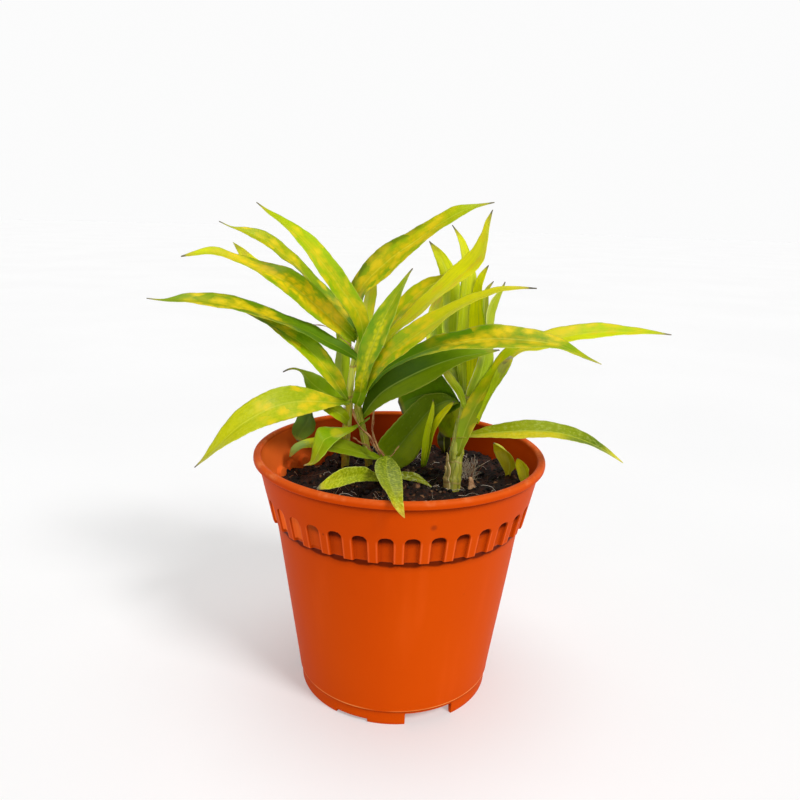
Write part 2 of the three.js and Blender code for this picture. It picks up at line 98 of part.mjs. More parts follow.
  { name: "base_leaf_back_left", tone: "g", stem: "stem_short_front", rows: [[-10.5, 22, 114.7, -0.2, -2.1, -0.1], [-14.8, 19.5, 116.7, -0.4, -3.2, -0.9], [-19, 17.8, 118.6, -0.3, -4.2, -1.5], [-23.3, 17.6, 119.9, -0.2, -5, -1.9], [-27.7, 18.4, 120.8, -0.4, -5.5, -2.2], [-32.2, 19, 121.6, -0.3, -5.8, -2.3], [-36.6, 19.1, 122.3, -0.2, -6, -2.1], [-41, 18.8, 123, 0.1, -6, -1.7], [-45.5, 18.2, 123.5, 0.4, -5.7, -1.3], [-49.9, 17.5, 123.4, 0.8, -4.8, -1.1], [-54.1, 16.8, 122.4, 1.2, -3.4, -0.9], [-57.7, 16.2, 119.9, 1.4, -1.7, -0.9], [-60.1, 16, 115.9, 0.3, -0.5, 0]] },
  { name: "left_leaf_back_curled", tone: "g", stem: "stem_left_front", rows: [[-31.1, 26, 144.9, -0.7, -1.8, -0.7], [-34, 25.5, 146.6, -1.1, -2.3, -2.1], [-37.2, 27.8, 147.7, -1.6, -2.8, -3.1], [-40.7, 33.2, 147.8, -2.2, -3.2, -4], [-44.1, 36.7, 148.7, -2.9, -3.4, -4.5], [-47, 37.8, 150.2, -3.2, -3.8, -4.4], [-49.6, 38, 152.4, -3, -4.7, -3.4], [-52, 38.2, 154.9, -2.2, -5.5, -2], [-54.4, 38.7, 157.4, -0.8, -5.2, -0.6], [-57.1, 39.3, 159.3, -0.1, -2, -0.4], [-60.5, 40, 160.2, 0.2, -1.4, -0.3], [-63.9, 40.5, 159.7, 0.3, -1.1, -0.2], [-67.3, 40.6, 158.1, 0.1, -0.7, -0.1]] },
  { name: "left_leaf_curled_in_pot", tone: "g", stem: "stem_left_front", rows: [[-31.7, 26, 144.6, -0.1, -2.1, -0.3], [-34.4, 20.9, 146.4, -0, -3.1, -0.9], [-37.5, 19.8, 146.5, 0.2, -4.2, -1], [-40.8, 21.5, 145.4, 0.5, -5.2, -1.1], [-44.3, 23.4, 144.3, 0.6, -5.7, -1.3], [-48, 25.1, 143.1, 0.6, -5.8, -1.4], [-49.9, 27, 140.9, 1.9, -5.2, -2], [-50.6, 28.4, 136.8, 4, -3.8, -3.1], [-52, 28.8, 133.4, 4.9, -2, -3.1], [-53.2, 28.3, 130.4, 5.3, -0.7, -2.7], [-55.1, 27.4, 127.8, 4.9, -0.1, -2.4], [-56.5, 26.6, 125.1, 3.8, -0, -1.6], [-57.2, 26.1, 121.9, 0.3, -0, -0.1]] },
  { name: "right_leaf_shaded_back", tone: "d", stem: "stem_right", rows: [[30.3, 6, 152, 0.5, -1.8, -1.7], [28.4, 10.3, 153.1, 1.2, -0.9, -5.5], [26.3, 14.1, 153.6, 1.7, -0.2, -8.6], [23.8, 17.6, 153.5, 1.8, -0, -11.2], [20.9, 20.6, 153, 1.6, -0, -13.1], [18.1, 23.2, 152, 1.8, -0, -13.6], [15.3, 25.4, 151, 2.1, -0, -13.8], [12.4, 27.2, 150.2, 2.5, -0, -13.8], [9.6, 28.8, 149, 2.7, -0, -12.7], [6.8, 30, 147.6, 2.9, -0, -11], [4, 30.9, 146, 3, -0, -9.3], [1.6, 31.5, 144.2, 2.6, -0, -6.9], [-0.5, 31.8, 141.7, 1.2, -0, -3.1]] },
  { name: "right_leaf_back_hanging", tone: "d", stem: "stem_right", rows: [[31.2, 8, 150.7, 0.8, -0.7, -1.7], [30.1, 16.1, 148.5, 2.1, -0.2, -4.2], [29.5, 23.6, 145.4, 3, -0, -5.7], [29.3, 30.5, 141.9, 3.7, -0, -6.5], [29.2, 36.5, 138.4, 4.2, -0, -6.9], [28.9, 41.4, 135.3, 4.7, -0, -7.2], [28.6, 44.9, 132.4, 5.1, -0, -7.3], [28.2, 47.1, 130, 5.3, -0, -7], [27.7, 48.4, 127.9, 5.1, -0, -6.4], [26.9, 49, 125.9, 4.5, -0, -5.5], [26.1, 49.6, 124, 3.7, -0, -4.1], [25.4, 50.1, 122, 2.6, -0, -2.4], [24.7, 50.3, 120.1, 0.8, -0, -0.6]] },
  { name: "left_leaf_upright_shaded", tone: "d", stem: "stem_left_front", rows: [[-30.9, 30, 147.9, -1.3, -1.6, 0.4], [-32.1, 32.3, 152, -2.1, -2.3, 0.5], [-32.9, 33.6, 156.4, -2.7, -3.3, 0.7], [-33.4, 34.6, 160.9, -3.2, -4, 0.8], [-33.7, 35.7, 165.5, -3.6, -4.5, 0.8], [-33.3, 36.8, 170, -3.5, -4.8, 0.8], [-33.1, 37.9, 174.5, -3.6, -4.8, 0.8], [-33.2, 39, 179, -4, -4.4, 0.6], [-33.5, 40, 183.6, -4.1, -3.5, 0.1], [-33.6, 41, 188.1, -4.2, -2.3, -0.4], [-34.3, 41.7, 192.6, -3.5, -1.1, -0.6], [-34.9, 42.3, 197.1, -2.2, -0.3, -0.4], [-35.3, 42.5, 201.7, -0.3, -0.1, -0]] },
  { name: "left_leaf_behind_spotted", tone: "g", stem: "stem_left_front", rows: [[-12.3, 28, 176.9, -0.6, 1.8, 0.2], [-10.4, 29.4, 181.4, -1.1, 3, 0.3], [-8.3, 30.6, 185.7, -1.6, 4.3, 0.5], [-6, 31.6, 190, -2.1, 5, 1.1], [-3.4, 32.5, 194.2, -2.4, 5.4, 1.8], [-0.4, 33, 198.1, -2.8, 5.5, 2.1], [3.1, 33.3, 201.7, -3, 5.5, 2.3], [6.7, 33.2, 205.1, -2.9, 5.2, 2.2], [10.5, 32.8, 208.2, -2.6, 4.7, 2.1], [14.7, 32, 210.9, -2.2, 3.9, 2.5], [19.1, 31.3, 213, -1.7, 2.8, 1.9], [23.4, 31.3, 215.1, -1, 1.5, 1.1], [27.5, 31.5, 217.8, -0.2, 0.5, 0.2]] },
  { name: "left_leaf_behind_upright", tone: "g", stem: "stem_left_front", rows: [[-19.3, 32, 176.6, -0.7, -1.8, 0.3], [-19.9, 33.8, 180.4, -1.6, -2.5, 0.8], [-20.2, 35.5, 184.2, -2.1, -3.4, 1.2], [-20.2, 37.1, 188.1, -2.4, -4.1, 1.5], [-20.1, 38.8, 192, -2.6, -4.6, 1.6], [-20, 40.3, 195.9, -2.9, -4.8, 1.6], [-19.5, 41.9, 199.8, -2.9, -4.9, 1.4], [-19, 43.3, 203.8, -2.8, -4.8, 1.2], [-18.6, 44.7, 207.7, -2.5, -4.4, 1.2], [-18.2, 45.9, 211.7, -2.1, -3.8, 1.1], [-17.9, 46.9, 215.7, -1.3, -2.9, 0.8], [-17.6, 47.7, 219.7, -0.6, -1.7, 0.5], [-17.2, 48, 223.7, -0.1, -0.4, 0]] },
  { name: "left_leaf_hidden_tip", tone: "g", stem: "stem_left_front", rows: [[-28.4, 28, 182.5, -0.7, -0.7, -1], [-34.4, 29.8, 185.6, -1.1, -1.6, -1.3], [-40, 31.6, 189.2, -1.1, -2.6, -1.3], [-45.4, 33.3, 193.3, -0.9, -3.5, -1], [-50.7, 34.9, 197.4, -0.9, -4, -1], [-56.1, 36.4, 201.5, -1.1, -4.1, -1.4], [-61.7, 37.7, 205.3, -1.2, -4, -1.7], [-67.5, 39, 208.9, -1.4, -3.7, -1.9], [-73.3, 40.1, 212.5, -1.6, -3.1, -1.8], [-79.2, 41.1, 216, -2, -2, -1.8], [-84.8, 41.9, 219.7, -2.3, -0.8, -1.8], [-89.5, 42.4, 224.4, -1.5, -0.2, -1.5], [-94.1, 42.6, 229.1, 0, -0.1, -0.1]] },
  { name: "right_leaf_thin_tip", tone: "g", stem: "stem_right", rows: [[35.7, 8, 155.7, -0.9, -1.2, 0.5], [38, 11.3, 159.9, -0.8, -1.7, 0.6], [39.6, 13.5, 164.5, -0.9, -1.8, 0.6], [40.5, 15.5, 169.2, -1.3, -2.5, 0.8], [41.2, 17.6, 174.2, -1.8, -3.3, 0.8], [41.8, 19.8, 179.1, -2, -3.5, 0.8], [42.3, 21.9, 184, -2.2, -3.4, 0.8], [42.7, 24, 189, -2.2, -3.3, 0.7], [42.9, 26, 194, -2.2, -2.9, 0.6], [43.1, 27.8, 199, -2.2, -2.3, 0.5], [43.3, 29.3, 204.2, -1.8, -1.6, 0.6], [44.4, 30.4, 209.2, -1.1, -0.8, 0.6], [47.5, 30.9, 213.3, -0.2, -0.2, 0.1]] },
  { name: "left_leaf_short_back", tone: "d", stem: "stem_left_front", rows: [[-28.7, 28, 132.6, -1.1, -0.1, -1.5], [-29.6, 25, 135.1, -1.2, -0.5, -2.2], [-30.6, 22.9, 137.2, -1.2, -1.2, -2.6], [-31.8, 21.1, 139, -1.2, -1.9, -2.8], [-33.2, 20.4, 140.2, -1.1, -2.5, -2.8], [-34.7, 20, 141.3, -1.1, -2.9, -2.7], [-36.3, 19, 142.6, -1.1, -3.1, -2.6], [-37.9, 19.8, 143.2, -1, -3.1, -2.4], [-39.9, 22.6, 143.3, -0.9, -2.8, -2.3], [-41.8, 25.6, 143.4, -0.7, -2.2, -2.2], [-43.8, 28.3, 143.5, -0.5, -1.4, -2], [-45.7, 30.5, 143.8, -0.3, -0.6, -1.5], [-47.5, 31.8, 144.3, 0, -0.1, -0.8]] },
  { name: "seedling_leaf", tone: "y", stem: "", rows: [[26.6, 50, 112.2, -2.1, 0, -0.1], [26.4, 50, 113.7, -3, 0, -0], [26.3, 50.2, 115.1, -3.7, 0, 0.1], [26.2, 50.7, 116.4, -4.1, 0, 0.1], [26.2, 51.4, 117.7, -4.1, 0.2, 0.2], [26.2, 52.2, 118.9, -3.9, 0.7, 0.1], [26.3, 52.8, 120.2, -3.4, 1.6, -0.1], [26.4, 53.1, 121.6, -2.9, 2.1, -0.1], [26.5, 52.9, 123.1, -2.4, 2.3, -0.1], [26.6, 52.5, 124.7, -1.9, 2.1, 0.1], [26.8, 52, 126.3, -1.3, 1.6, 0.2], [26.8, 51.7, 127.8, -0.7, 0.9, 0.2], [26.7, 51.5, 129.4, -0.1, 0.3, -0.1]] },
  { name: "rim_leaf_inner", tone: "g", stem: "", rows: [[58.6, 6, 114.2, -1.3, 0.1, -0.7], [58.9, 6.5, 115.7, -2.1, 0.6, -0.4], [58.9, 7, 117.2, -2.6, 1.2, -0.4], [58.7, 7.5, 118.7, -3, 1.8, -0.5], [58.2, 8, 120.1, -3.1, 2.3, -0.6], [57.6, 8.5, 121.5, -3.1, 2.5, -0.7], [56.9, 9, 122.8, -3.1, 2.7, -0.9], [56.2, 9.5, 124.1, -2.9, 2.8, -0.9], [55.2, 10, 125.3, -2.4, 2.7, -0.9], [54.1, 10.4, 126.4, -1.9, 2.4, -0.8], [53, 10.8, 127.3, -1.4, 1.8, -0.7], [51.7, 11.1, 128.2, -0.9, 1, -0.4], [50.3, 11.2, 129.1, -0.2, 0.3, -0.1]] },
  { name: "rim_leaf_outer", tone: "g", stem: "", rows: [[65.1, -12, 114.2, -0.9, 0.3, -0.4], [65.1, -11.4, 115.3, -1.2, 0.9, -0.8], [65.1, -10.8, 116.4, -1.3, 1.6, -1.2], [65, -10.2, 117.5, -1.5, 2.1, -1.4], [64.8, -9.7, 118.6, -1.7, 2.3, -1.4], [64.5, -9.1, 119.7, -1.9, 2.4, -1.2], [64.3, -8.5, 120.8, -2.1, 2.3, -1], [64, -7.9, 121.8, -2.2, 2.1, -0.8], [63.4, -7.4, 122.8, -2.2, 1.8, -0.6], [62.9, -6.8, 123.8, -2, 1.4, -0.4], [62.3, -6.4, 124.8, -1.6, 0.9, -0.3], [61.6, -6.1, 125.8, -1, 0.4, -0.1], [60.8, -6, 126.8, -0.2, 0.1, -0.1]] },
];

const TONES = {
  g: { color: 0x93b012, roughness: 0.42 },
  y: { color: 0xbcc61a, roughness: 0.42 },
  d: { color: 0x40640c, roughness: 0.45 },
};

const wasm = await Module();
wasm.setup();

function toSolid(geometry) {
  let g = geometry.index ? geometry.toNonIndexed() : geometry.clone();
  g.deleteAttribute("normal");
  g.deleteAttribute("uv");
  g = mergeVertices(g, 1e-4);
  const tri = new Uint32Array(g.index.array);
  const keep = [];
  for (let i = 0; i < tri.length; i += 3)
    if (tri[i] !== tri[i + 1] && tri[i + 1] !== tri[i + 2] && tri[i] !== tri[i + 2]) keep.push(tri[i], tri[i + 1], tri[i + 2]);
  let solid = new wasm.Manifold(new wasm.Mesh({ numProp: 3, vertProperties: g.attributes.position.array, triVerts: new Uint32Array(keep) }));
  if (solid.volume() < 0) {
    for (let i = 0; i < keep.length; i += 3) [keep[i + 1], keep[i + 2]] = [keep[i + 2], keep[i + 1]];
    solid = new wasm.Manifold(new wasm.Mesh({ numProp: 3, vertProperties: g.attributes.position.array, triVerts: new Uint32Array(keep) }));
  }
  return solid;
}

function toGeometry(solid) {
  const m = solid.getMesh();
  const p = new Float32Array((m.vertProperties.length / m.numProp) * 3);
  for (let i = 0; i < p.length / 3; i++) for (let c = 0; c < 3; c++) p[3 * i + c] = m.vertProperties[i * m.numProp + c];
  const g = new THREE.BufferGeometry();
  g.setAttribute("position", new THREE.BufferAttribute(p, 3));
  g.setIndex(Array.from(m.triVerts));
  const flat = g.toNonIndexed();
  flat.computeVertexNormals();
  return flat;
}

function largest(solid) {
  const parts = solid.decompose();
  let best = parts[0];
  for (const s of parts) if (s.volume() > best.volume()) best = s;
  return best;
}

// ---- pot ----
function lathe(points, segments) {
  // the facets' corners stand at the middle of the ribs between the flutes
  const g = new THREE.LatheGeometry(points.map(([r, z]) => new THREE.Vector2(r, z)), segments);
  g.rotateX(Math.PI / 2);
  g.rotateZ(THREE.MathUtils.degToRad(FLUTE_PHASE + 180 / FLUTES));
  return g;
}

const bandR = (z) => BAND_R + ((NECK_R - BAND_R) * (z - BAND_Z)) / (RIM_LOW_Z - BAND_Z); // outside of the band and neck
const bodyR = (z) => BODY_LOW_R + ((BODY_TOP_R - BODY_LOW_R) * (z - SEAM_Z)) / (BAND_Z - SEAM_Z);

function fluteOutline(grow, bottom, arched = true) {
  const w = FLUTE_HALF_W + grow;
  const s = new THREE.Shape();
  s.moveTo(-w, bottom);
  s.lineTo(w, bottom);
  if (!arched) {
    s.lineTo(w, FLUTE_TOP_Z + grow);
    s.lineTo(-w, FLUTE_TOP_Z + grow);
    return s;
  }
  s.lineTo(w, FLUTE_SHOULDER_Z);
  for (const a of [45, 90, 135, 180])
    s.lineTo(w * Math.cos((a * Math.PI) / 180), FLUTE_SHOULDER_Z + (FLUTE_TOP_Z + grow - FLUTE_SHOULDER_Z) * Math.sin((a * Math.PI) / 180));
  return s;
}

// A prism through the wall at one flute, leaning as the band leans; r is measured at the band's lower edge.
function flutePrism(index, rInner, rOuter, grow, bottom, arched = true) {
  const g = new THREE.ExtrudeGeometry(fluteOutline(grow, bottom, arched), { depth: rOuter - rInner, bevelEnabled: false });
  // outline x -> tangent, outline y -> up, depth -> outward
  g.rotateX(Math.PI / 2);
  const pos = g.attributes.position;
  const slope = (NECK_R - BAND_R) / (RIM_LOW_Z - BAND_Z);
  const azimuth = THREE.MathUtils.degToRad(FLUTE_PHASE + (index * 360) / FLUTES);
  for (let i = 0; i < pos.count; i++) {
    const t = pos.getX(i), depth = -pos.getY(i), z = pos.getZ(i);
    const r = rInner + depth + slope * (z - BAND_Z);
    pos.setXYZ(i, r * Math.sin(azimuth) + t * Math.cos(azimuth), -r * Math.cos(azimuth) + t * Math.sin(azimuth), z);
  }
  return g;
}

function wedge(a0, a1, z0, z1) {
  // a block that cuts the foot ring from azimuth a0 to a1 (degrees from -Y, positive towards +X)
  const s = new THREE.Shape();
  const steps = Math.max(2, Math.ceil(Math.abs(a1 - a0) / 8));
  const at = (a, r) => [r * Math.sin(THREE.MathUtils.degToRad(a)), -r * Math.cos(THREE.MathUtils.degToRad(a))];
  s.moveTo(...at(a0, FOOT_INNER_R - 3));
  for (let i = 0; i <= steps; i++) s.lineTo(...at(a0 + ((a1 - a0) * i) / steps, BODY_LOW_R + 4));
  for (let i = steps; i >= 1; i--) s.lineTo(...at(a0 + ((a1 - a0) * i) / steps, FOOT_INNER_R - 3));
  const g = new THREE.ExtrudeGeometry(s, { depth: z1 - z0, bevelEnabled: false });
  g.translate(0, 0, z0);
  return g;
}

const innerNeckR = bandR(RIM_LOW_Z) - WALL;
const LEDGE_Z = BAND_Z + WALL;
const potProfile = [
  [0, FLOOR_Z],
  [FOOT_INNER_R - 0.2, FLOOR_Z],
  [FOOT_INNER_R, 0],
  [FOOT_R, 0],
  [FOOT_R + 0.3, SEAM_Z],
  [BODY_LOW_R, SEAM_Z + 0.25],
  [BODY_TOP_R, BAND_Z - 0.15],
  [BAND_R, BAND_Z],
  [bandR(RIM_LOW_Z), RIM_LOW_Z],
  [RIM_OUTER_R - 0.5, RIM_LOW_Z],
  [RIM_OUTER_R, RIM_LOW_Z + 0.7],
  [RIM_OUTER_R - 0.1, RIM_TOP_Z - 1.1],
  [RIM_OUTER_R - 1.1, RIM_TOP_Z],
  [RIM_INNER_R + 1.2, RIM_TOP_Z],
  [RIM_INNER_R, RIM_TOP_Z - 1.2],
  [innerNeckR, RIM_LOW_Z],
  [bandR(LEDGE_Z) - WALL, LEDGE_Z + 0.2],
  [BODY_TOP_R - WALL, LEDGE_Z],
  [BODY_LOW_R - WALL, FLOOR_Z + FLOOR_T],
  [0, FLOOR_Z + FLOOR_T],
];
let pot = toSolid(lathe(potProfile, SEGMENTS));
const bumpInner = BAND_R - FLUTE_DEPTH - WALL;
for (let i = 0; i < FLUTES; i++) pot = pot.add(toSolid(flutePrism(i, bumpInner, BAND_R - 0.6, WALL * 0.8, LEDGE_Z - 0.7)));
for (let i = 0; i < FLUTES; i++) pot = pot.subtract(toSolid(flutePrism(i, BAND_R - FLUTE_DEPTH, BAND_R + 4, 0, BAND_Z - 3)));
for (let k = 0; k < 3; k++) {
  pot = pot.subtract(toSolid(wedge(7.5 + 120 * k, 36.5 + 120 * k, -1, FLOOR_Z))); // open notch in the foot ring
  pot = pot.subtract(toSolid(wedge(-34 + 120 * k, -14 + 120 * k, -1, 1.6))); // shallow step between two pads
}
for (let k = 0; k < DRAIN_HOLES; k++) {
  const a = (k * 2 * Math.PI) / DRAIN_HOLES + 0.3;
  const g = new THREE.CylinderGeometry(DRAIN_HOLE_R, DRAIN_HOLE_R, 8, 16);
  g.rotateX(Math.PI / 2);
  g.translate(DRAIN_RING_R * Math.cos(a), DRAIN_RING_R * Math.sin(a), FLOOR_Z + 1);
  pot = pot.subtract(toSolid(g));
}
pot = largest(pot);

// ---- round members along a path ----
function rodGeometry(path, r0, r1, { sides = 8, steps = 10, grow = 0, extra = 0 } = {}) {
  const pts = path.map((p) => new THREE.Vector3(...p));
  if (extra) {
    const d = pts[0].clone().sub(pts[1]).normalize();
    pts.unshift(pts[0].clone().addScaledVector(d, extra));
  }
  const curve = new THREE.CatmullRomCurve3(pts, false, "centripetal");
  const ring = new THREE.Shape();
  for (let i = 0; i < sides; i++) {
    const a = (i * 2 * Math.PI) / sides;
    if (i === 0) ring.moveTo(Math.cos(a), Math.sin(a));
    else ring.lineTo(Math.cos(a), Math.sin(a));
  }
  const g = new THREE.ExtrudeGeometry(ring, { steps, extrudePath: curve, bevelEnabled: false });
  // taper: scale each ring about the curve
  const pos = g.attributes.position;
  const centres = curve.getSpacedPoints(steps);
  const v = new THREE.Vector3();
  for (let i = 0; i < pos.count; i++) {
    v.fromBufferAttribute(pos, i);
    let best = 0, bestD = Infinity;
    for (let k = 0; k <= steps; k++) {
      const d = centres[k].distanceToSquared(v);
      if (Math.abs(d - 1) < bestD) { bestD = Math.abs(d - 1); best = k; }
    }
    const r = r0 + ((r1 - r0) * best) / steps + grow;
    v.sub(centres[best]).multiplyScalar(r).add(centres[best]);
    pos.setXYZ(i, v.x, v.y, v.z);
  }
  return g;
}

// ---- leaves ----
function splineRows(rows, steps) {
  const c = new THREE.CatmullRomCurve3(rows.map((r) => new THREE.Vector3(r[0], r[1], r[2])), false, "catmullrom", 0.5);
  const h = new THREE.CatmullRomCurve3(rows.map((r) => new THREE.Vector3(r[3], r[4], r[5])), false, "catmullrom", 0.5);
  const out = [];
  for (let i = 0; i <= steps; i++) out.push({ c: c.getPoint(i / steps), h: h.getPoint(i / steps), t: c.getTangent(i / steps) });
  return out;
}

function leafGeometry(rows, grow = 0) {
  const g = new THREE.BoxGeometry(1, 1, 1, 2, LEAF_STEPS, 1);
  // the two faces of the blade split along the same diagonals, so a twisted blade keeps its thickness
  const index = g.index.array, under = g.groups[5];
  for (let i = under.start; i < under.start + under.count; i += 6) {
    const a = index[i], b = index[i + 1], c = index[i + 4], d = index[i + 5];
    index.set([a, b, c, a, c, d], i);
  }
  const S = splineRows(rows, LEAF_STEPS);
  for (const s of S) {
    s.n = new THREE.Vector3().crossVectors(s.t, s.h).normalize();
    const w = Math.max(s.h.length(), 0.25) + grow;
    s.h.setLength(w);
  }
  const pos = g.attributes.position;
  const v = new THREE.Vector3();
  for (let i = 0; i < pos.count; i++) {
    const s = S[Math.round((pos.getY(i) + 0.5) * LEAF_STEPS)];
    const across = pos.getX(i) * 2;
    const half = s.h.length();
    v.copy(s.c).addScaledVector(s.h, across);
    const lift = (Math.abs(across) > 0.5 ? LEAF_FOLD : -LEAF_FOLD) * half * 1.0;
    v.addScaledVector(s.n, lift + pos.getZ(i) * (LEAF_T + 2 * grow));
    const end = pos.getY(i) > 0.49 ? grow : pos.getY(i) < -0.49 ? -grow : 0;
    v.addScaledVector(s.t, end);
    pos.setXYZ(i, v.x, v.y, v.z);
  }
  return g;
}

// ---- potting mix ----
const soilTop = (x, y) =>
  SOIL_Z + SOIL_RISE_X * x - SOIL_DIP * Math.exp(-((x - SOIL_DIP_X) ** 2 + (y - SOIL_DIP_Y) ** 2) / (2 * SOIL_DIP_R ** 2)) + 0.9 * Math.sin(x * 0.21 + 1.3) * Math.cos(y * 0.17 - 0.4) + 0.5 * Math.sin(x * 0.5 - y * 0.43);

function soilGeometry(grow = 0) {
  const top = 4, around = SEGMENTS;
  const wallR = (z) => (z > LEDGE_Z + 0.5 ? bandR(z) - WALL : BODY_TOP_R - WALL + (bodyR(z) - BODY_TOP_R)) - GAP - 0.25;
  const pts = [[0, FLOOR_Z + FLOOR_T + GAP], [wallR(FLOOR_Z + FLOOR_T + GAP) - 0.3, FLOOR_Z + FLOOR_T + GAP], [wallR(LEDGE_Z - 0.2), LEDGE_Z + 0.35], [wallR(LEDGE_Z + 0.6) , LEDGE_Z + 0.65], [wallR(100), 100]];
  for (let i = 0; i <= top; i++) pts.push([(wallR(104) * (top - i)) / top, 104]);
  const g = lathe(pts, around);
  const pos = g.attributes.position;
  for (let i = 0; i < pos.count; i++) {
    if (Math.abs(pos.getZ(i) - 104) > 1e-3) continue;
    const x = pos.getX(i), y = pos.getY(i), r = Math.hypot(x, y);
    const z = Math.max(soilTop(x, y), 100.6) + grow;
    const k = r > 1e-6 && r > wallR(104) - 0.5 ? wallR(z) / r : 1;
    pos.setXYZ(i, x * k, y * k, z);
  }
  return g;
}

let soil = toSolid(soilGeometry());
for (let i = 0; i < FLUTES; i++) soil = soil.subtract(toSolid(flutePrism(i, bumpInner - GAP, BAND_R + 4, WALL * 0.8 + GAP, LEDGE_Z - 3, false)));
const soilFat = toSolid(soilGeometry(GAP));

// ---- assembly ----
const group = new THREE.Group();
const placed = [];
function boxesMeet(a, b) {
  for (let i = 0; i < 3; i++) if (a.min[i] > b.max[i] + 0.4 || b.min[i] > a.max[i] + 0.4) return false;
  return true;
}
function addPiece(name, solid, fat, material) {
  const geometry = toGeometry(solid);
  geometry.translate(POT_X, POT_Y, 0);
  const mesh = new THREE.Mesh(geometry, new THREE.MeshStandardMaterial({ metalness: 0, ...material }));
  mesh.name = name;
  group.add(mesh);
  if (fat) placed.push({ name, fat, box: fat.boundingBox() });
}
function clear(solid) {
  for (const p of placed) {
    if (!boxesMeet(p.box, solid.boundingBox())) continue;
    if (solid.intersect(p.fat).volume() < 1e-4) continue;
    solid = largest(solid.subtract(p.fat));
  }
  return solid;
}

const stemMaterial = { color: 0x8ea83a, roughness: 0.5 };
const stemSolids = STEMS.map((s) => {
  const o = { sides: 8, steps: 9, extra: SOCKET_DEPTH };
  if (s.name === "stem_right") o.sides = 10;
  return { ...s, solid: toSolid(rodGeometry(s.path, s.r0, s.r1, o)), fat: toSolid(rodGeometry(s.path, s.r0, s.r1, { ...o, grow: GAP, extra: SOCKET_DEPTH + GAP })) };
});
for (const s of stemSolids) soil = soil.subtract(s.fat);
soil = largest(soil);

addPiece("pot", pot, null, { color: 0xd0501c, roughness: 0.38 });
addPiece("potting_mix", soil, null, { color: 0x1c120e, roughness: 0.95 });
for (const s of stemSolids) {
  const solid = clear(s.solid);
  addPiece(s.name, solid, s.fat, stemMaterial);
}
placed.push({ name: "potting_mix", fat: soilFat, box: soilFat.boundingBox() });
for (const t of TWIGS) {
  const solid = clear(toSolid(rodGeometry(t.path, t.r0, t.r1, { sides: 6, steps: 6 })));
  addPiece(t.name, solid, toSolid(rodGeometry(t.path, t.r0, t.r1, { sides: 6, steps: 6, grow: GAP })), { color: 0xb09060, roughness: 0.8 });
}
for (const l of LEAVES) {
  const solid = clear(toSolid(leafGeometry(l.rows)));
  addPiece(l.name, solid, toSolid(leafGeometry(l.rows, GAP)), TONES[l.tone]);
}

export default group;
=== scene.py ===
import math

import bpy
import numpy as np
from mathutils import Matrix, Vector
from mathutils.geometry import delaunay_2d_cdt


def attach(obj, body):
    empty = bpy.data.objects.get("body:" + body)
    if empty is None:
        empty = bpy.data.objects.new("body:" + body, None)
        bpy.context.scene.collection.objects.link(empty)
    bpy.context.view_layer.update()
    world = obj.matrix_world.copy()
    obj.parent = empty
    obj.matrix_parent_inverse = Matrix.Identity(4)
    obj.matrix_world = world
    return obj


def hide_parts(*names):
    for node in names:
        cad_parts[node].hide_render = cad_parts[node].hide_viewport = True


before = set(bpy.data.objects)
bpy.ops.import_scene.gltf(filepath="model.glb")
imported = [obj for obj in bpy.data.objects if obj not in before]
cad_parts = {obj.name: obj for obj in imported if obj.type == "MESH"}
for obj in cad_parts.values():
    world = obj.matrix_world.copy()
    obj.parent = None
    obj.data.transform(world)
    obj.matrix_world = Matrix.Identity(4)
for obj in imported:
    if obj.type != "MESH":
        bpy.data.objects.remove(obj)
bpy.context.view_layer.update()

MM = 0.001
POT_X, POT_Y = -5.5, 2.3  # the pot's axis in the shared frame, mm

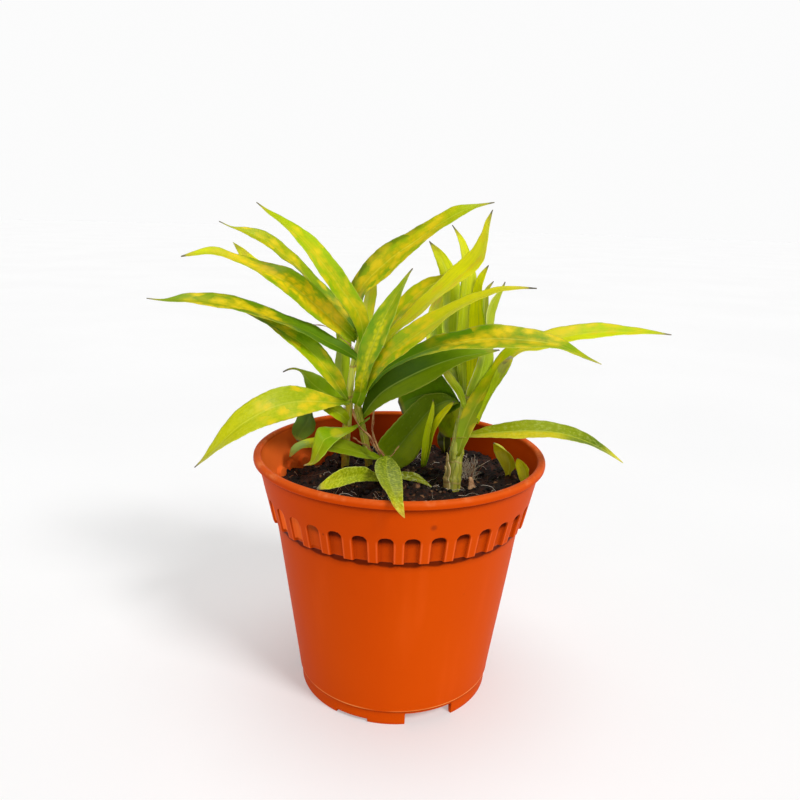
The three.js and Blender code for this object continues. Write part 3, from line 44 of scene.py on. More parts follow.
# ---------------------------------------------------------------------------------------------------------------------
# The plant, in mm from the pot's axis. A leaf row is the middle of the blade and the vector from there to its edge.
# ---------------------------------------------------------------------------------------------------------------------
LEAVES = {
    "L01": {"node": "left_leaf_upper_long", "piece": "left_leaf_upper_long_blade", "fold": 0.12, "seed": 1, "rows": [[-21.1, 20, 179.7, -1.54, -0.73, -0.99], [-21.4, 17.4, 188.3, -3.35, -1.19, -1.07], [-23.6, 14.9, 196.1, -4.08, -2.34, -1.66], [-27.7, 12.6, 203.1, -3.83, -3.59, -2.44], [-32.2, 10.3, 209.3, -3.65, -4.45, -2.99], [-36.3, 8.3, 215.8, -3.52, -4.99, -2.95], [-40.7, 6.4, 221.8, -3.44, -5.36, -2.74], [-45.1, 4.7, 227.7, -2.66, -5.55, -2.68], [-49.9, 3.2, 233.1, -1.68, -5.43, -2.46], [-55.1, 1.9, 237.9, -1.26, -4.83, -1.67], [-60.8, 0.8, 242, -0.72, -3.72, -1.07], [-66.8, 0.1, 245.8, -0.1, -1.9, -0.68], [-72.3, -0.2, 250.2, 0.07, -0.35, -0.12]]},
    "L02": {"node": "left_leaf_upper_mid", "piece": "left_leaf_upper_mid_blade", "fold": 0.12, "seed": 2, "rows": [[-26.3, 24, 186.4, -0.94, -1.7, -0.84], [-31.3, 24.5, 192.4, -1.63, -2.58, -1.19], [-36.4, 24.5, 198.2, -2.17, -3.68, -1.27], [-41.8, 24.5, 203.8, -2.46, -4.66, -1.35], [-47.4, 24.7, 209, -2.25, -5.44, -1.65], [-52.1, 24.7, 215, -1.36, -5.64, -0.9], [-57.3, 24.4, 220.3, -1.1, -5.78, -1.3], [-63.2, 24, 224.9, -1.19, -5.83, -2.16], [-69, 23.6, 229.6, -0.96, -5.22, -2.49], [-75.4, 23.3, 233.3, -0.7, -4.42, -2.34], [-82.3, 23, 235.8, -0.07, -3.38, -1.62], [-89.6, 22.8, 237.5, 0.29, -1.02, -0.39], [-96.4, 22.7, 240.4, 0.09, -0.37, -0.12]]},
    "L03": {"node": "left_leaf_spotted_wide", "piece": "left_leaf_spotted_wide_blade", "fold": 0.12, "seed": 3, "rows": [[-26.9, 22, 182.2, -0.68, -1.39, -1.67], [-33, 19, 188.7, -1.01, -1.71, -4.26], [-39.4, 16.6, 194.5, -1.9, -3, -4.99], [-45.6, 14.3, 200.3, -2.52, -4.55, -5.1], [-51.7, 12.2, 206.1, -2.58, -5.79, -5.05], [-58.2, 10.5, 211, -2.55, -6.78, -4.36], [-65.1, 9.2, 215.3, -2.76, -7.57, -2.95], [-72.6, 8.1, 218.3, -1.33, -7.96, -1.75], [-80.2, 7.1, 221.1, -0.88, -6.2, -1.22], [-87.6, 6.2, 223.9, -0.22, -4.19, -1.15], [-95.2, 5.5, 226, 0.61, -4.85, -1.82], [-103.3, 5.1, 224.9, 0.25, -2.77, -1.18], [-111.4, 4.9, 223.1, 0.18, -0.64, -0.2]]},
    "L04b": {"node": "left_leaf_hidden_tip", "piece": "left_leaf_hidden_tip_blade", "fold": 0.12, "seed": 4, "rows": [[-28.4, 28, 182.5, -0.74, -0.74, -0.99], [-34.4, 29.8, 185.6, -1.06, -1.57, -1.3], [-40, 31.6, 189.2, -1.12, -2.62, -1.3], [-45.4, 33.3, 193.3, -0.95, -3.49, -0.97], [-50.7, 34.9, 197.4, -0.92, -3.96, -1.03], [-56.1, 36.4, 201.5, -1.05, -4.08, -1.45], [-61.7, 37.7, 205.3, -1.2, -3.98, -1.74], [-67.5, 39, 208.9, -1.37, -3.69, -1.86], [-73.3, 40.1, 212.5, -1.59, -3.06, -1.77], [-79.2, 41.1, 216, -2.02, -1.98, -1.77], [-84.8, 41.9, 219.7, -2.31, -0.82, -1.76], [-89.5, 42.4, 224.4, -1.47, -0.19, -1.48], [-94.1, 42.6, 229.1, 0.01, -0.06, -0.13]]},
    "L05": {"node": "left_leaf_far_reach", "piece": "left_leaf_far_reach_blade", "fold": 0.12, "seed": 5, "rows": [[-23.8, 22, 170.6, -0.92, -2.24, -0.68], [-31.9, 18, 176.6, -1.9, -3.22, -1.56], [-40.4, 14.3, 181.6, -1.84, -4.67, -1.77], [-48.4, 10.6, 186.8, -1.79, -6.04, -1.38], [-56.7, 7.2, 190.8, -1.35, -6.98, -1.07], [-65.1, 3.9, 194.1, -0.92, -6.98, -1.25], [-73.3, 0.9, 197.6, -0.42, -7.52, -1.74], [-81.5, -2, 200.4, -0.11, -7.21, -2.24], [-89.9, -4.6, 202.2, 0.22, -6.55, -2.51], [-98.3, -6.9, 203.5, 0.69, -5.56, -2.3], [-106.8, -8.8, 203.8, 0.85, -4.21, -1.61], [-115.5, -10.1, 203, 0.44, -1.43, -0.43], [-124.3, -10.6, 203.8, 0.12, -0.36, -0.08]]},
    "L06": {"node": "left_leaf_under_shade", "piece": "left_leaf_under_shade_blade", "fold": 0.12, "seed": 6, "rows": [[-30.3, 22, 149.6, -1.19, -2.07, -0.36], [-33.4, 19.9, 155.2, -2.93, -2.7, -0.28], [-36.6, 18.2, 160.7, -4.37, -3.65, -0.18], [-40, 16.6, 165.8, -4.48, -4.57, -0.37], [-43.5, 15.1, 170.7, -5.19, -5.05, -0.22], [-47.2, 13.6, 175.2, -5.78, -5.19, -0.16], [-51.3, 12.3, 179.4, -5.64, -5.33, -0.37], [-55.8, 11, 183, -5.05, -5.47, -0.46], [-60.4, 9.9, 186.1, -4.1, -5.37, -0.39], [-65.1, 8.9, 189.1, -3.14, -4.81, -0.11], [-70, 8.1, 191.7, -2.13, -3.7, -0.11], [-75.1, 7.6, 193.9, -1.06, -2.19, -0.21], [-80.3, 7.4, 195.8, 0.14, -0.66, -0.16]]},
    "L07": {"node": "left_leaf_low_yellow", "piece": "left_leaf_low_yellow_blade", "fold": 0.1, "seed": 7, "rows": [[-29.8, 20, 146.5, -0.31, -2.86, -0.39], [-37.1, 14.7, 148.2, 0.97, -3.56, -2.07], [-44.3, 9.6, 149.8, 1.12, -3.85, -4.51], [-51.2, 4.6, 151, 1.74, -3.74, -6.53], [-57.9, -0.3, 151.1, 1.4, -3.79, -7.76], [-64.3, -5, 150.2, 2.44, -4.48, -7.36], [-70.2, -9.6, 148.2, 3.33, -5.52, -6.22], [-75.8, -13.9, 145.6, 3.73, -6.29, -4.78], [-80.9, -18, 142.4, 3.8, -6.46, -3.49], [-85.4, -21.7, 138.4, 3.39, -5.98, -2.06], [-89.8, -24.8, 133.9, 2.36, -4.79, -0.6], [-94.2, -27, 129.2, 1.3, -2.12, 0.14], [-99.5, -27.9, 124.4, 0.15, -0.55, -0.01]]},
    "L08": {"node": "left_leaf_back_curled", "piece": "left_leaf_back_curled_blade", "fold": 0.12, "seed": 8, "rows": [[-31.1, 26, 144.9, -0.67, -1.79, -0.7], [-34, 25.5, 146.6, -1.14, -2.26, -2.06], [-37.2, 27.8, 147.7, -1.62, -2.84, -3.1], [-40.7, 33.2, 147.8, -2.2, -3.2, -3.97], [-44.1, 36.7, 148.7, -2.93, -3.4, -4.45], [-47, 37.8, 150.2, -3.22, -3.83, -4.4], [-49.6, 38, 152.4, -2.96, -4.67, -3.44], [-52, 38.2, 154.9, -2.22, -5.5, -1.99], [-54.4, 38.7, 157.4, -0.85, -5.2, -0.56], [-57.1, 39.3, 159.3, -0.06, -2.03, -0.36], [-60.5, 40, 160.2, 0.21, -1.37, -0.28], [-63.9, 40.5, 159.7, 0.32, -1.11, -0.19], [-67.3, 40.6, 158.1, 0.12, -0.74, -0.13]]},
    "L09": {"node": "left_leaf_low_folded", "piece": "left_leaf_low_folded_blade", "fold": 0.12, "seed": 9, "rows": [[-18.7, 24, 136, -0.18, -1.8, -0.21], [-21.6, 20.6, 134.6, 0, -1.62, -0.21], [-24.7, 17.6, 133.4, 0.41, -2.28, -0.27], [-27.8, 14.7, 132.6, 1.09, -3.77, -0.32], [-31.1, 11.8, 132.2, 2.04, -6.12, -0.39], [-34.5, 9, 132.1, 3.02, -6.39, -1.3], [-37.7, 6.2, 131.6, 3.65, -5.8, -2.54], [-40.2, 3.4, 130.5, 3.65, -5.17, -3.53], [-41.6, 0.8, 127.7, 3.19, -4.73, -3.06], [-42.9, -1.7, 125.1, 2.56, -4.27, -2.29], [-44.1, -3.7, 122.2, 1.74, -3.46, -1.11], [-45.8, -5.2, 120, 0.76, -2.2, -0.13], [-49.5, -5.8, 119.1, 0.07, -0.52, -0.01]]},
    "L10": {"node": "base_leaf_back_left", "piece": "base_leaf_back_left_blade", "fold": 0.12, "seed": 10, "rows": [[-10.5, 22, 114.7, -0.2, -2.13, -0.15], [-14.8, 19.5, 116.7, -0.36, -3.16, -0.91], [-19, 17.8, 118.6, -0.29, -4.17, -1.48], [-23.3, 17.6, 119.9, -0.25, -5, -1.9], [-27.7, 18.4, 120.8, -0.37, -5.52, -2.21], [-32.2, 19, 121.6, -0.33, -5.84, -2.33], [-36.6, 19.1, 122.3, -0.17, -6.04, -2.11], [-41, 18.8, 123, 0.08, -6.04, -1.71], [-45.5, 18.2, 123.5, 0.43, -5.68, -1.26], [-49.9, 17.5, 123.4, 0.82, -4.82, -1.15], [-54.1, 16.8, 122.4, 1.22, -3.41, -0.94], [-57.7, 16.2, 119.9, 1.44, -1.7, -0.88], [-60.1, 16, 115.9, 0.35, -0.48, 0.03]]},
    "L11": {"node": "left_leaf_curled_in_pot", "piece": "left_leaf_curled_in_pot_blade", "fold": 0.12, "seed": 11, "rows": [[-31.7, 26, 144.6, -0.1, -2.09, -0.31], [-34.4, 20.9, 146.4, 0, -3.1, -0.9], [-37.5, 19.8, 146.5, 0.19, -4.22, -0.99], [-40.8, 21.5, 145.4, 0.45, -5.15, -1.08], [-44.3, 23.4, 144.3, 0.64, -5.69, -1.26], [-48, 25.1, 143.1, 0.55, -5.78, -1.44], [-49.9, 27, 140.9, 1.91, -5.19, -2.05], [-50.6, 28.4, 136.8, 3.99, -3.8, -3.15], [-52, 28.8, 133.4, 4.87, -2.02, -3.1], [-53.2, 28.3, 130.4, 5.35, -0.65, -2.7], [-55.1, 27.4, 127.8, 4.89, -0.11, -2.35], [-56.5, 26.6, 125.1, 3.78, -0.01, -1.59], [-57.2, 26.1, 121.9, 0.28, 0, -0.14]]},
    "L12": {"node": "base_leaf_front_left", "piece": "base_leaf_front_left_blade", "fold": 0.12, "seed": 12, "rows": [[-7.1, 6, 110, -0.19, -1.72, -1.22], [-10.1, 1.4, 110.6, 0.37, -2.94, -1.12], [-13, -3.1, 112.7, 0.24, -4.28, -0.94], [-15.9, -7.8, 115.1, 0, -5.22, -1.26], [-18.7, -12.5, 117.4, 0.1, -5.71, -1.75], [-21.5, -17.3, 119, 0.16, -5.89, -1.89], [-24.1, -22.2, 120.3, 0.21, -5.83, -2.26], [-26.6, -27.2, 121.4, 0.38, -5.53, -2.5], [-29, -32.1, 122.2, 0.54, -5, -2.47], [-31.2, -36.8, 122.7, 0.65, -4.22, -2.11], [-33.3, -40.9, 122.8, 0.76, -3.12, -1.59], [-35.5, -43.8, 122.6, 0.62, -1.76, -0.92], [-37.9, -45, 121.8, 0.19, -0.64, -0.11]]},
    "L13": {"node": "base_leaf_over_rim", "piece": "base_leaf_over_rim_blade", "fold": 0.12, "seed": 13, "rows": [[-6.6, 7, 120.9, 1.6, 0, -0.09], [-6.7, -2.2, 121.1, 4.83, 0, -0.38], [-6.2, -12.4, 121.8, 6.14, 0, -0.36], [-5.5, -23.2, 123, 6.43, 0, -0.32], [-4.6, -34.4, 124.4, 6.15, 0, -0.31], [-3.8, -45.7, 126.1, 5.52, 0, -0.31], [-2.8, -56.8, 127.9, 4.66, 0, -0.33], [-1.8, -67.4, 129.8, 3.75, 0, -0.35], [-1, -74.5, 130.3, 2.98, 0, -0.34], [-0.2, -77.8, 129.4, 2.5, 0, -0.24], [0.7, -79.1, 127.7, 1.96, 0, -0.14], [1.7, -79.6, 125.8, 1.17, 0, -0.06], [2.9, -79.8, 123.9, 0.21, 0, 0.01]]},
    "L14": {"node": "base_leaf_front_right", "piece": "base_leaf_front_right_blade", "fold": 0.12, "seed": 14, "rows": [[-6.9, 5, 111.5, -0.04, 0.57, 1.06], [-4.6, 4.4, 111.6, -0.05, 1.41, 0.73], [-2.4, 3.6, 111.8, -0.05, 2.26, 0.51], [-0.2, 2.8, 112, -0.05, 2.8, 0.55], [2, 1.9, 112.3, -0.04, 3.03, 0.92], [4.2, 0.8, 112.5, -0.04, 3.08, 1.2], [6.4, -0.5, 112.7, -0.04, 3.07, 1.35], [8.5, -1.9, 112.9, 0.09, 3.04, 1.24], [10.5, -3.5, 112.7, 0.3, 2.94, 0.8], [12.4, -5.1, 112.1, 0.53, 2.63, 0.16], [14.2, -6.6, 111.5, 0.55, 1.8, -0.07], [16, -7.7, 110.8, 0.37, 1.11, -0.1], [17.9, -8.2, 109.8, 0.01, 0.45, 0.1]]},
    "L15": {"node": "right_leaf_broad_shaded", "piece": "right_leaf_broad_shaded_blade", "fold": 0.12, "seed": 15, "rows": [[28.7, 6, 152.8, 0.38, -2.61, -0.66], [24.4, 12, 151.5, 1.49, -2.78, -3.42], [20.2, 17.1, 148.3, 2.44, -2.92, -5.21], [16.5, 21.1, 144.7, 3.29, -2.92, -6.88], [13.2, 23.6, 140.2, 4.09, -2.71, -7.41], [10.3, 25, 135.8, 5.06, -2.02, -7.88], [7.4, 25.8, 131.4, 6.06, -1.04, -8.12], [4.4, 26.2, 127.2, 6.96, -0.31, -8.14], [1.4, 26.2, 122.9, 7.41, -0.04, -8.38], [-2, 26.1, 119, 7.64, 0, -7.96], [-5.2, 26, 115.2, 7.02, 0, -6.74], [-6.6, 25.8, 110.1, 4.28, 0, -4.55], [-5.6, 25.7, 104.9, 0.58, 0, -0.58]]},
    "L16": {"node": "left_leaf_shaded_to_right", "piece": "left_leaf_shaded_to_right_blade", "fold": 0.12, "seed": 16, "rows": [[-20.2, 24, 139.5, -1.22, 1.71, 1.2], [-16.1, 20.2, 146.7, -3.07, 1.95, 2.72], [-11.4, 16.6, 153, -4.46, 2.45, 3.68], [-5.8, 13, 158.2, -4.68, 2.95, 5.17], [0, 9.6, 162.6, -4.68, 3.39, 6.03], [5.8, 6.5, 166.6, -4.53, 3.99, 6.21], [11.7, 3.8, 170.3, -4.23, 4.86, 5.73], [17.5, 1.3, 173.6, -3.76, 5.67, 4.59], [23.4, -0.8, 176.4, -3.18, 5.98, 3.17], [29.5, -2.9, 178.7, -2.55, 5.53, 1.87], [35.6, -4.9, 180.2, -1.89, 4.26, 1.15], [41.8, -5.9, 181.5, -1.12, 2.48, 0.63], [48, -6, 182.8, -0.14, 0.89, 0.08]]},
    "L17": {"node": "right_leaf_shaded_back", "piece": "right_leaf_shaded_back_blade", "fold": 0.12, "seed": 17, "rows": [[30.3, 6, 152, 0.48, -1.84, -1.66], [28.4, 10.3, 153.1, 1.23, -0.91, -5.52], [26.3, 14.1, 153.6, 1.71, -0.23, -8.6], [23.8, 17.6, 153.5, 1.78, -0.03, -11.15], [20.9, 20.6, 153, 1.64, 0, -13.07], [18.1, 23.2, 152, 1.77, 0, -13.62], [15.3, 25.4, 151, 2.14, 0, -13.85], [12.4, 27.2, 150.2, 2.48, 0, -13.8], [9.6, 28.8, 149, 2.73, 0, -12.72], [6.8, 30, 147.6, 2.87, 0, -11.04], [4, 30.9, 146, 3.04, 0, -9.3], [1.6, 31.5, 144.2, 2.57, 0, -6.93], [-0.5, 31.8, 141.7, 1.21, 0, -3.15]]},
    "L20": {"node": "right_leaf_low_arching", "piece": "right_leaf_low_arching_blade", "fold": 0.12, "seed": 18, "rows": [[31.7, -8, 138.4, 0.41, 2.33, 0.35], [38.6, -9.3, 139.9, 0.36, 3.15, 0.88], [45.4, -10.7, 141.5, 0.1, 4.05, 1.9], [52.2, -12.1, 142.8, 0.4, 4.75, 2.63], [59, -13.4, 143.9, 0.75, 5.23, 3.1], [65.7, -14.7, 144.6, 1.15, 5.62, 2.93], [72.5, -15.8, 144.9, 1.38, 5.92, 2.57], [79.1, -17, 144.6, 1.75, 5.99, 1.96], [85.7, -18, 143.2, 2.26, 5.69, 1.39], [92.2, -19, 141.2, 2.29, 4.96, 0.8], [98.5, -19.7, 138.4, 1.81, 3.71, 0.29], [104.5, -20.3, 134.8, 1.13, 1.88, -0.03], [110.5, -20.5, 130.8, 0.11, 0.39, 0]]},
    "L21": {"node": "right_leaf_far_reach", "piece": "right_leaf_far_reach_blade", "fold": 0.12, "seed": 19, "rows": [[29.9, -11, 130.8, -1.62, 1.72, -0.63], [32.8, -9.3, 142, -3.44, 2.26, 0.32], [36.8, -8.5, 153, -4.72, 3.55, -0.59], [42.1, -8, 163.4, -3.67, 5.32, -0.97], [47.7, -5.6, 173.2, -2.09, 6.69, -0.58], [55.1, -3.5, 181.5, -2.24, 7.2, 0.04], [66, -1.9, 185.4, -1.06, 7.15, 2.36], [77.1, -0.6, 188.9, 0.31, 6.83, 3.14], [88.3, 0.5, 191.5, 0.79, 6.24, 3.02], [100, 1.5, 192.6, 0.88, 5.33, 2.79], [111.8, 2.2, 192.9, 0.75, 4.05, 1.67], [123.6, 2.7, 192.5, 0.7, 2.46, 0.71], [135.3, 2.9, 191.6, 0.14, 0.44, 0.09]]},
    "L22": {"node": "left_leaf_long_spotted", "piece": "left_leaf_long_spotted_blade", "fold": 0.12, "seed": 20, "rows": [[-18.9, 20, 154.9, -1.49, 2.46, 0.75], [-11.1, 11.4, 165.6, -1.68, 3.86, 0.86], [-1.9, 3.4, 173.7, -1.17, 5.04, 0.94], [7.6, -3.9, 180, -0.71, 6.63, 1.79], [17, -10.4, 185.2, -0.79, 7.19, 2.67], [26.7, -16, 188.2, -0.23, 7.28, 3.07], [36.2, -20.9, 190.8, 0.23, 7.03, 4.33], [45.6, -25.1, 192.2, 0.3, 6.69, 4.52], [54.9, -28.7, 192.5, 0.72, 6.28, 3.8], [64.1, -31.6, 192.2, 1.1, 5.57, 2.78], [73.2, -33.8, 190.6, 1.66, 4.34, 1.49], [81.8, -35.2, 186.5, 1.16, 2.09, 0.26], [90.8, -35.8, 183, 0.09, 0.35, 0.05]]},
    "L23": {"node": "left_leaf_long_crossing", "piece": "left_leaf_long_crossing_blade", "fold": 0.12, "seed": 21, "rows": [[-23.1, 14, 149.1, -2.87, 0.76, 1.09], [-19.5, 9.3, 159.8, -3.31, 2.33, 0.83], [-13.7, 2.1, 169.7, -2.9, 4.18, 1.62], [-7.2, -5.6, 178.4, -2.4, 5.4, 2.61], [-0.1, -12.4, 185.7, -2.32, 6.06, 3.78], [6.9, -17.9, 192.3, -2.26, 6.65, 3.32], [13.8, -22.1, 198.2, -2.23, 7.2, 2.02], [20.7, -25.2, 203.7, -1.77, 6.52, 1.13], [27.8, -27.4, 208.3, -1.11, 4.82, 0.98], [35.5, -29, 211.8, -0.66, 4.12, 1.03], [43.2, -30.1, 214.8, -0.15, 2.97, 0.9], [51.4, -30.8, 215.8, 0.17, 1.56, 0.51], [59.7, -31, 216, 0.06, 0.39, 0.1]]},
    "L24": {"node": "left_leaf_plain_yellow", "piece": "left_leaf_plain_yellow_blade", "fold": 0.12, "seed": 22, "rows": [[-12.6, 20, 177.3, -1.17, 2.61, 0.57], [-7.3, 16.1, 184.3, -1.13, 3.73, 0.65], [-1.6, 12.5, 190.7, -1.69, 5.08, 0.77], [4.2, 9.1, 196.5, -2.12, 6.36, 1.07], [9.7, 6, 202.3, -2.28, 7.05, 1.23], [15.1, 3.2, 208, -2.32, 7.37, 1.3], [20.6, 0.8, 213.3, -2.41, 7.3, 1.8], [26, -1.2, 218.5, -2.36, 6.82, 2.63], [31.5, -3, 223.4, -2.39, 5.98, 3.3], [35.7, -4.4, 229.3, -1.96, 4.92, 3.07], [37.9, -5.5, 236.1, -1.18, 3.6, 2.61], [38.8, -6.3, 243.2, -0.81, 2.1, 1.54], [40.5, -6.6, 249.9, -0.04, 0.32, 0.07]]},
    "L25": {"node": "left_leaf_top_spotted", "piece": "left_leaf_top_spotted_blade", "fold": 0.12, "seed": 23, "rows": [[-22, 26, 176.5, -1.22, 2.48, -0.48], [-24.8, 25.8, 186.2, -2.45, 3.6, -0.75], [-25.4, 25.9, 196.1, -3.55, 4.62, 0.22], [-24.4, 25.4, 206.1, -4.01, 5.15, 1.86], [-18.9, 24.9, 214, -4.3, 5.05, 4.07], [-11.9, 24.3, 220.8, -3.92, 4.98, 5.57], [-4.6, 23.6, 227.2, -3.03, 5.49, 5.41], [3.2, 22.8, 232.7, -2.15, 6.1, 4.07], [10.8, 21.8, 238.3, -1.59, 6.05, 3.51], [18.4, 20.8, 243.8, -1.24, 5.24, 3.17], [26.4, 19.8, 248.4, -0.93, 3.92, 2.74], [35.1, 19, 251.5, -0.33, 2.38, 0.96], [44.1, 18.7, 253.7, 0.04, 0.42, 0.15]]},
    "L26": {"node": "left_leaf_front_upright", "piece": "left_leaf_front_upright_blade", "fold": 0.12, "seed": 24, "rows": [[-22.1, 15, 151.1, -2.3, 0.45, 0.09], [-21.2, 8.6, 159, -3.21, 1.47, -0.18], [-19.9, 5.3, 166, -3.79, 2.77, -0.27], [-18.7, 3.1, 172.6, -4.46, 3.56, 0.17], [-16.8, 1.2, 178.7, -5.18, 3.73, 0.73], [-14.4, -0.4, 184.6, -5.73, 3.67, 0.95], [-12.4, -1.8, 190.4, -5.86, 3.68, 0.02], [-10.1, -3, 196.1, -5.76, 3.71, -0.93], [-7.6, -4.2, 201.5, -5.05, 3.73, -1.28], [-4.9, -5.4, 206.8, -3.73, 3.57, -0.98], [-2.1, -6.5, 211.9, -2.41, 2.94, -0.72], [0.7, -7.3, 216.9, -1.1, 1.86, -0.31], [3.7, -7.7, 221.6, -0.12, 0.47, 0.08]]},
    "L27": {"node": "right_leaf_upright_dark", "piece": "right_leaf_upright_dark_blade", "fold": 0.12, "seed": 25, "rows": [[33.7, 3, 147, -0.95, -1.81, 0.47], [32.6, 5, 154.5, -2.43, -2.73, 0.8], [30.3, 6.5, 161.8, -3.61, -3.53, 1.3], [27.8, 10.5, 168.4, -4.21, -4.29, 1.6], [25.9, 14.9, 175.3, -4.54, -4.85, 1.4], [24.9, 19.2, 182.5, -4.59, -5.18, 1.11], [24.3, 23.5, 189.8, -4.59, -5.23, 0.72], [24.6, 27.7, 197.3, -4.69, -4.86, 0.26], [24.9, 31.8, 204.9, -4.79, -3.93, -0.29], [24.4, 35.6, 212.6, -4.7, -2.49, -0.98], [21.8, 38.2, 219.8, -4.02, -1.07, -0.76], [17.8, 39.6, 226.8, -2.7, -0.28, -0.53], [12.6, 40.1, 233, -0.17, -0.1, 0]]},
    "L28": {"node": "right_leaf_upright_light", "piece": "right_leaf_upright_light_blade", "fold": 0.12, "seed": 26, "rows": [[33.1, 0, 148.9, -1.22, -2.07, 0.53], [32.7, 4.6, 156.1, -2.4, -2.82, 0.63], [32.2, 7.4, 163.9, -3.28, -3.78, 0.76], [31.8, 11.5, 171.5, -3.93, -4.59, 0.82], [31.6, 14.4, 179.4, -4.33, -5.1, 0.81], [31.3, 16.4, 187.4, -4.59, -5.34, 0.73], [31.5, 18, 195.5, -4.66, -5.37, 0.48], [32, 19.6, 203.6, -4.6, -5.12, 0.16], [32.9, 21.2, 211.7, -4.61, -4.59, -0.18], [32.6, 23, 219.7, -3.89, -3.9, -0.39], [31, 24.6, 227.6, -2.59, -2.96, -0.19], [28.3, 25.9, 235.2, -1.6, -1.73, -0.06], [23.8, 26.4, 241.9, -0.15, -0.39, 0]]},
    "L29": {"node": "right_leaf_upright_yellow", "piece": "right_leaf_upright_yellow_blade", "fold": 0.12, "seed": 27, "rows": [[35.1, 5, 153, -0.61, 1.82, -0.49], [36.1, 3.7, 159.4, -1.91, 2.79, -0.73], [36.8, 4.6, 165.3, -2.77, 3.67, -0.91], [37.2, 6.8, 170.9, -3.22, 4.43, -1.02], [37.5, 9.2, 176.6, -3.61, 4.88, -1.05], [38.1, 10.9, 182.4, -4.03, 5.05, -1.01], [38.7, 12.3, 188.3, -4.17, 5.15, -0.95], [38.5, 13.9, 194.1, -3.58, 5.21, -0.9], [38.2, 15.6, 199.9, -2.84, 4.99, -0.71], [38.5, 17.3, 205.7, -2.51, 4.29, -0.06], [38.5, 18.8, 211.6, -1.89, 3.11, -0.08], [40.3, 19.9, 217.2, -1.47, 1.69, 0.21], [43.2, 20.4, 222.3, -0.08, 0.51, 0.09]]},
    "L30": {"node": "right_leaf_thin_tip", "piece": "right_leaf_thin_tip_blade", "fold": 0.12, "seed": 28, "rows": [[35.7, 8, 155.7, -0.91, -1.16, 0.53], [38, 11.3, 159.9, -0.84, -1.68, 0.64], [39.6, 13.5, 164.5, -0.92, -1.79, 0.64], [40.5, 15.5, 169.2, -1.33, -2.5, 0.75], [41.2, 17.6, 174.2, -1.77, -3.26, 0.85], [41.8, 19.8, 179.1, -2.03, -3.46, 0.83], [42.3, 21.9, 184, -2.17, -3.44, 0.78], [42.7, 24, 189, -2.23, -3.27, 0.7], [42.9, 26, 194, -2.25, -2.9, 0.58], [43.1, 27.8, 199, -2.19, -2.31, 0.46], [43.3, 29.3, 204.2, -1.77, -1.55, 0.58], [44.4, 30.4, 209.2, -1.07, -0.75, 0.62], [47.5, 30.9, 213.3, -0.17, -0.21, 0.15]]},
    "L31": {"node": "right_leaf_edge_on", "piece": "right_leaf_edge_on_blade", "fold": 0.12, "seed": 29, "rows": [[34.3, 3, 150.8, -1.62, -0.36, 0.58], [35.7, 1, 156.9, -2.84, -0.76, 0.72], [37.6, -0.6, 162.6, -3.97, -1.46, 1.02], [39.9, -0.5, 167.8, -4.64, -2.37, 1.41], [41.3, 1.1, 173, -4.47, -3.42, 1.8], [42.4, 2.8, 178.3, -3.99, -4.33, 2], [42.8, 4.2, 183.7, -3.32, -4.92, 1.77], [43, 5.4, 189.2, -2.81, -5.07, 1.43], [43.3, 6.7, 194.7, -2.5, -4.56, 1.12], [44.1, 7.8, 200.1, -2.59, -3.87, 0.82], [45.8, 8.7, 205.3, -2.51, -2.7, 0.22], [48.4, 9.4, 210.1, -1.48, -1.48, 0.15], [50.8, 9.6, 215, -0.2, -0.5, 0.16]]},
    "L33": {"node": "left_leaf_behind_spotted", "piece": "left_leaf_behind_spotted_blade", "fold": 0.12, "seed": 30, "rows": [[-12.3, 28, 176.9, -0.61, 1.79, 0.21], [-10.4, 29.4, 181.4, -1.15, 3.05, 0.29], [-8.3, 30.6, 185.7, -1.64, 4.27, 0.54], [-6, 31.6, 190, -2.07, 5.04, 1.08], [-3.4, 32.5, 194.2, -2.43, 5.4, 1.76], [-0.4, 33, 198.1, -2.75, 5.5, 2.12], [3.1, 33.3, 201.7, -2.98, 5.45, 2.27], [6.7, 33.2, 205.1, -2.93, 5.24, 2.21], [10.5, 32.8, 208.2, -2.63, 4.73, 2.14], [14.7, 32, 210.9, -2.23, 3.88, 2.45], [19.1, 31.3, 213, -1.69, 2.77, 1.89], [23.4, 31.3, 215.1, -1.02, 1.53, 1.07], [27.5, 31.5, 217.8, -0.24, 0.54, 0.22]]},
    "L34": {"node": "left_leaf_behind_upright", "piece": "left_leaf_behind_upright_blade", "fold": 0.12, "seed": 31, "rows": [[-19.3, 32, 176.6, -0.73, -1.83, 0.3], [-19.9, 33.8, 180.4, -1.55, -2.5, 0.77], [-20.2, 35.5, 184.2, -2.15, -3.35, 1.17], [-20.2, 37.1, 188.1, -2.41, -4.09, 1.46], [-20.1, 38.8, 192, -2.64, -4.56, 1.62], [-20, 40.3, 195.9, -2.89, -4.79, 1.6], [-19.5, 41.9, 199.8, -2.9, -4.88, 1.38], [-19, 43.3, 203.8, -2.76, -4.78, 1.23], [-18.6, 44.7, 207.7, -2.54, -4.44, 1.19], [-18.2, 45.9, 211.7, -2.07, -3.83, 1.05], [-17.9, 46.9, 215.7, -1.28, -2.91, 0.81], [-17.6, 47.7, 219.7, -0.64, -1.74, 0.47], [-17.2, 48, 223.7, -0.12, -0.41, 0.02]]},
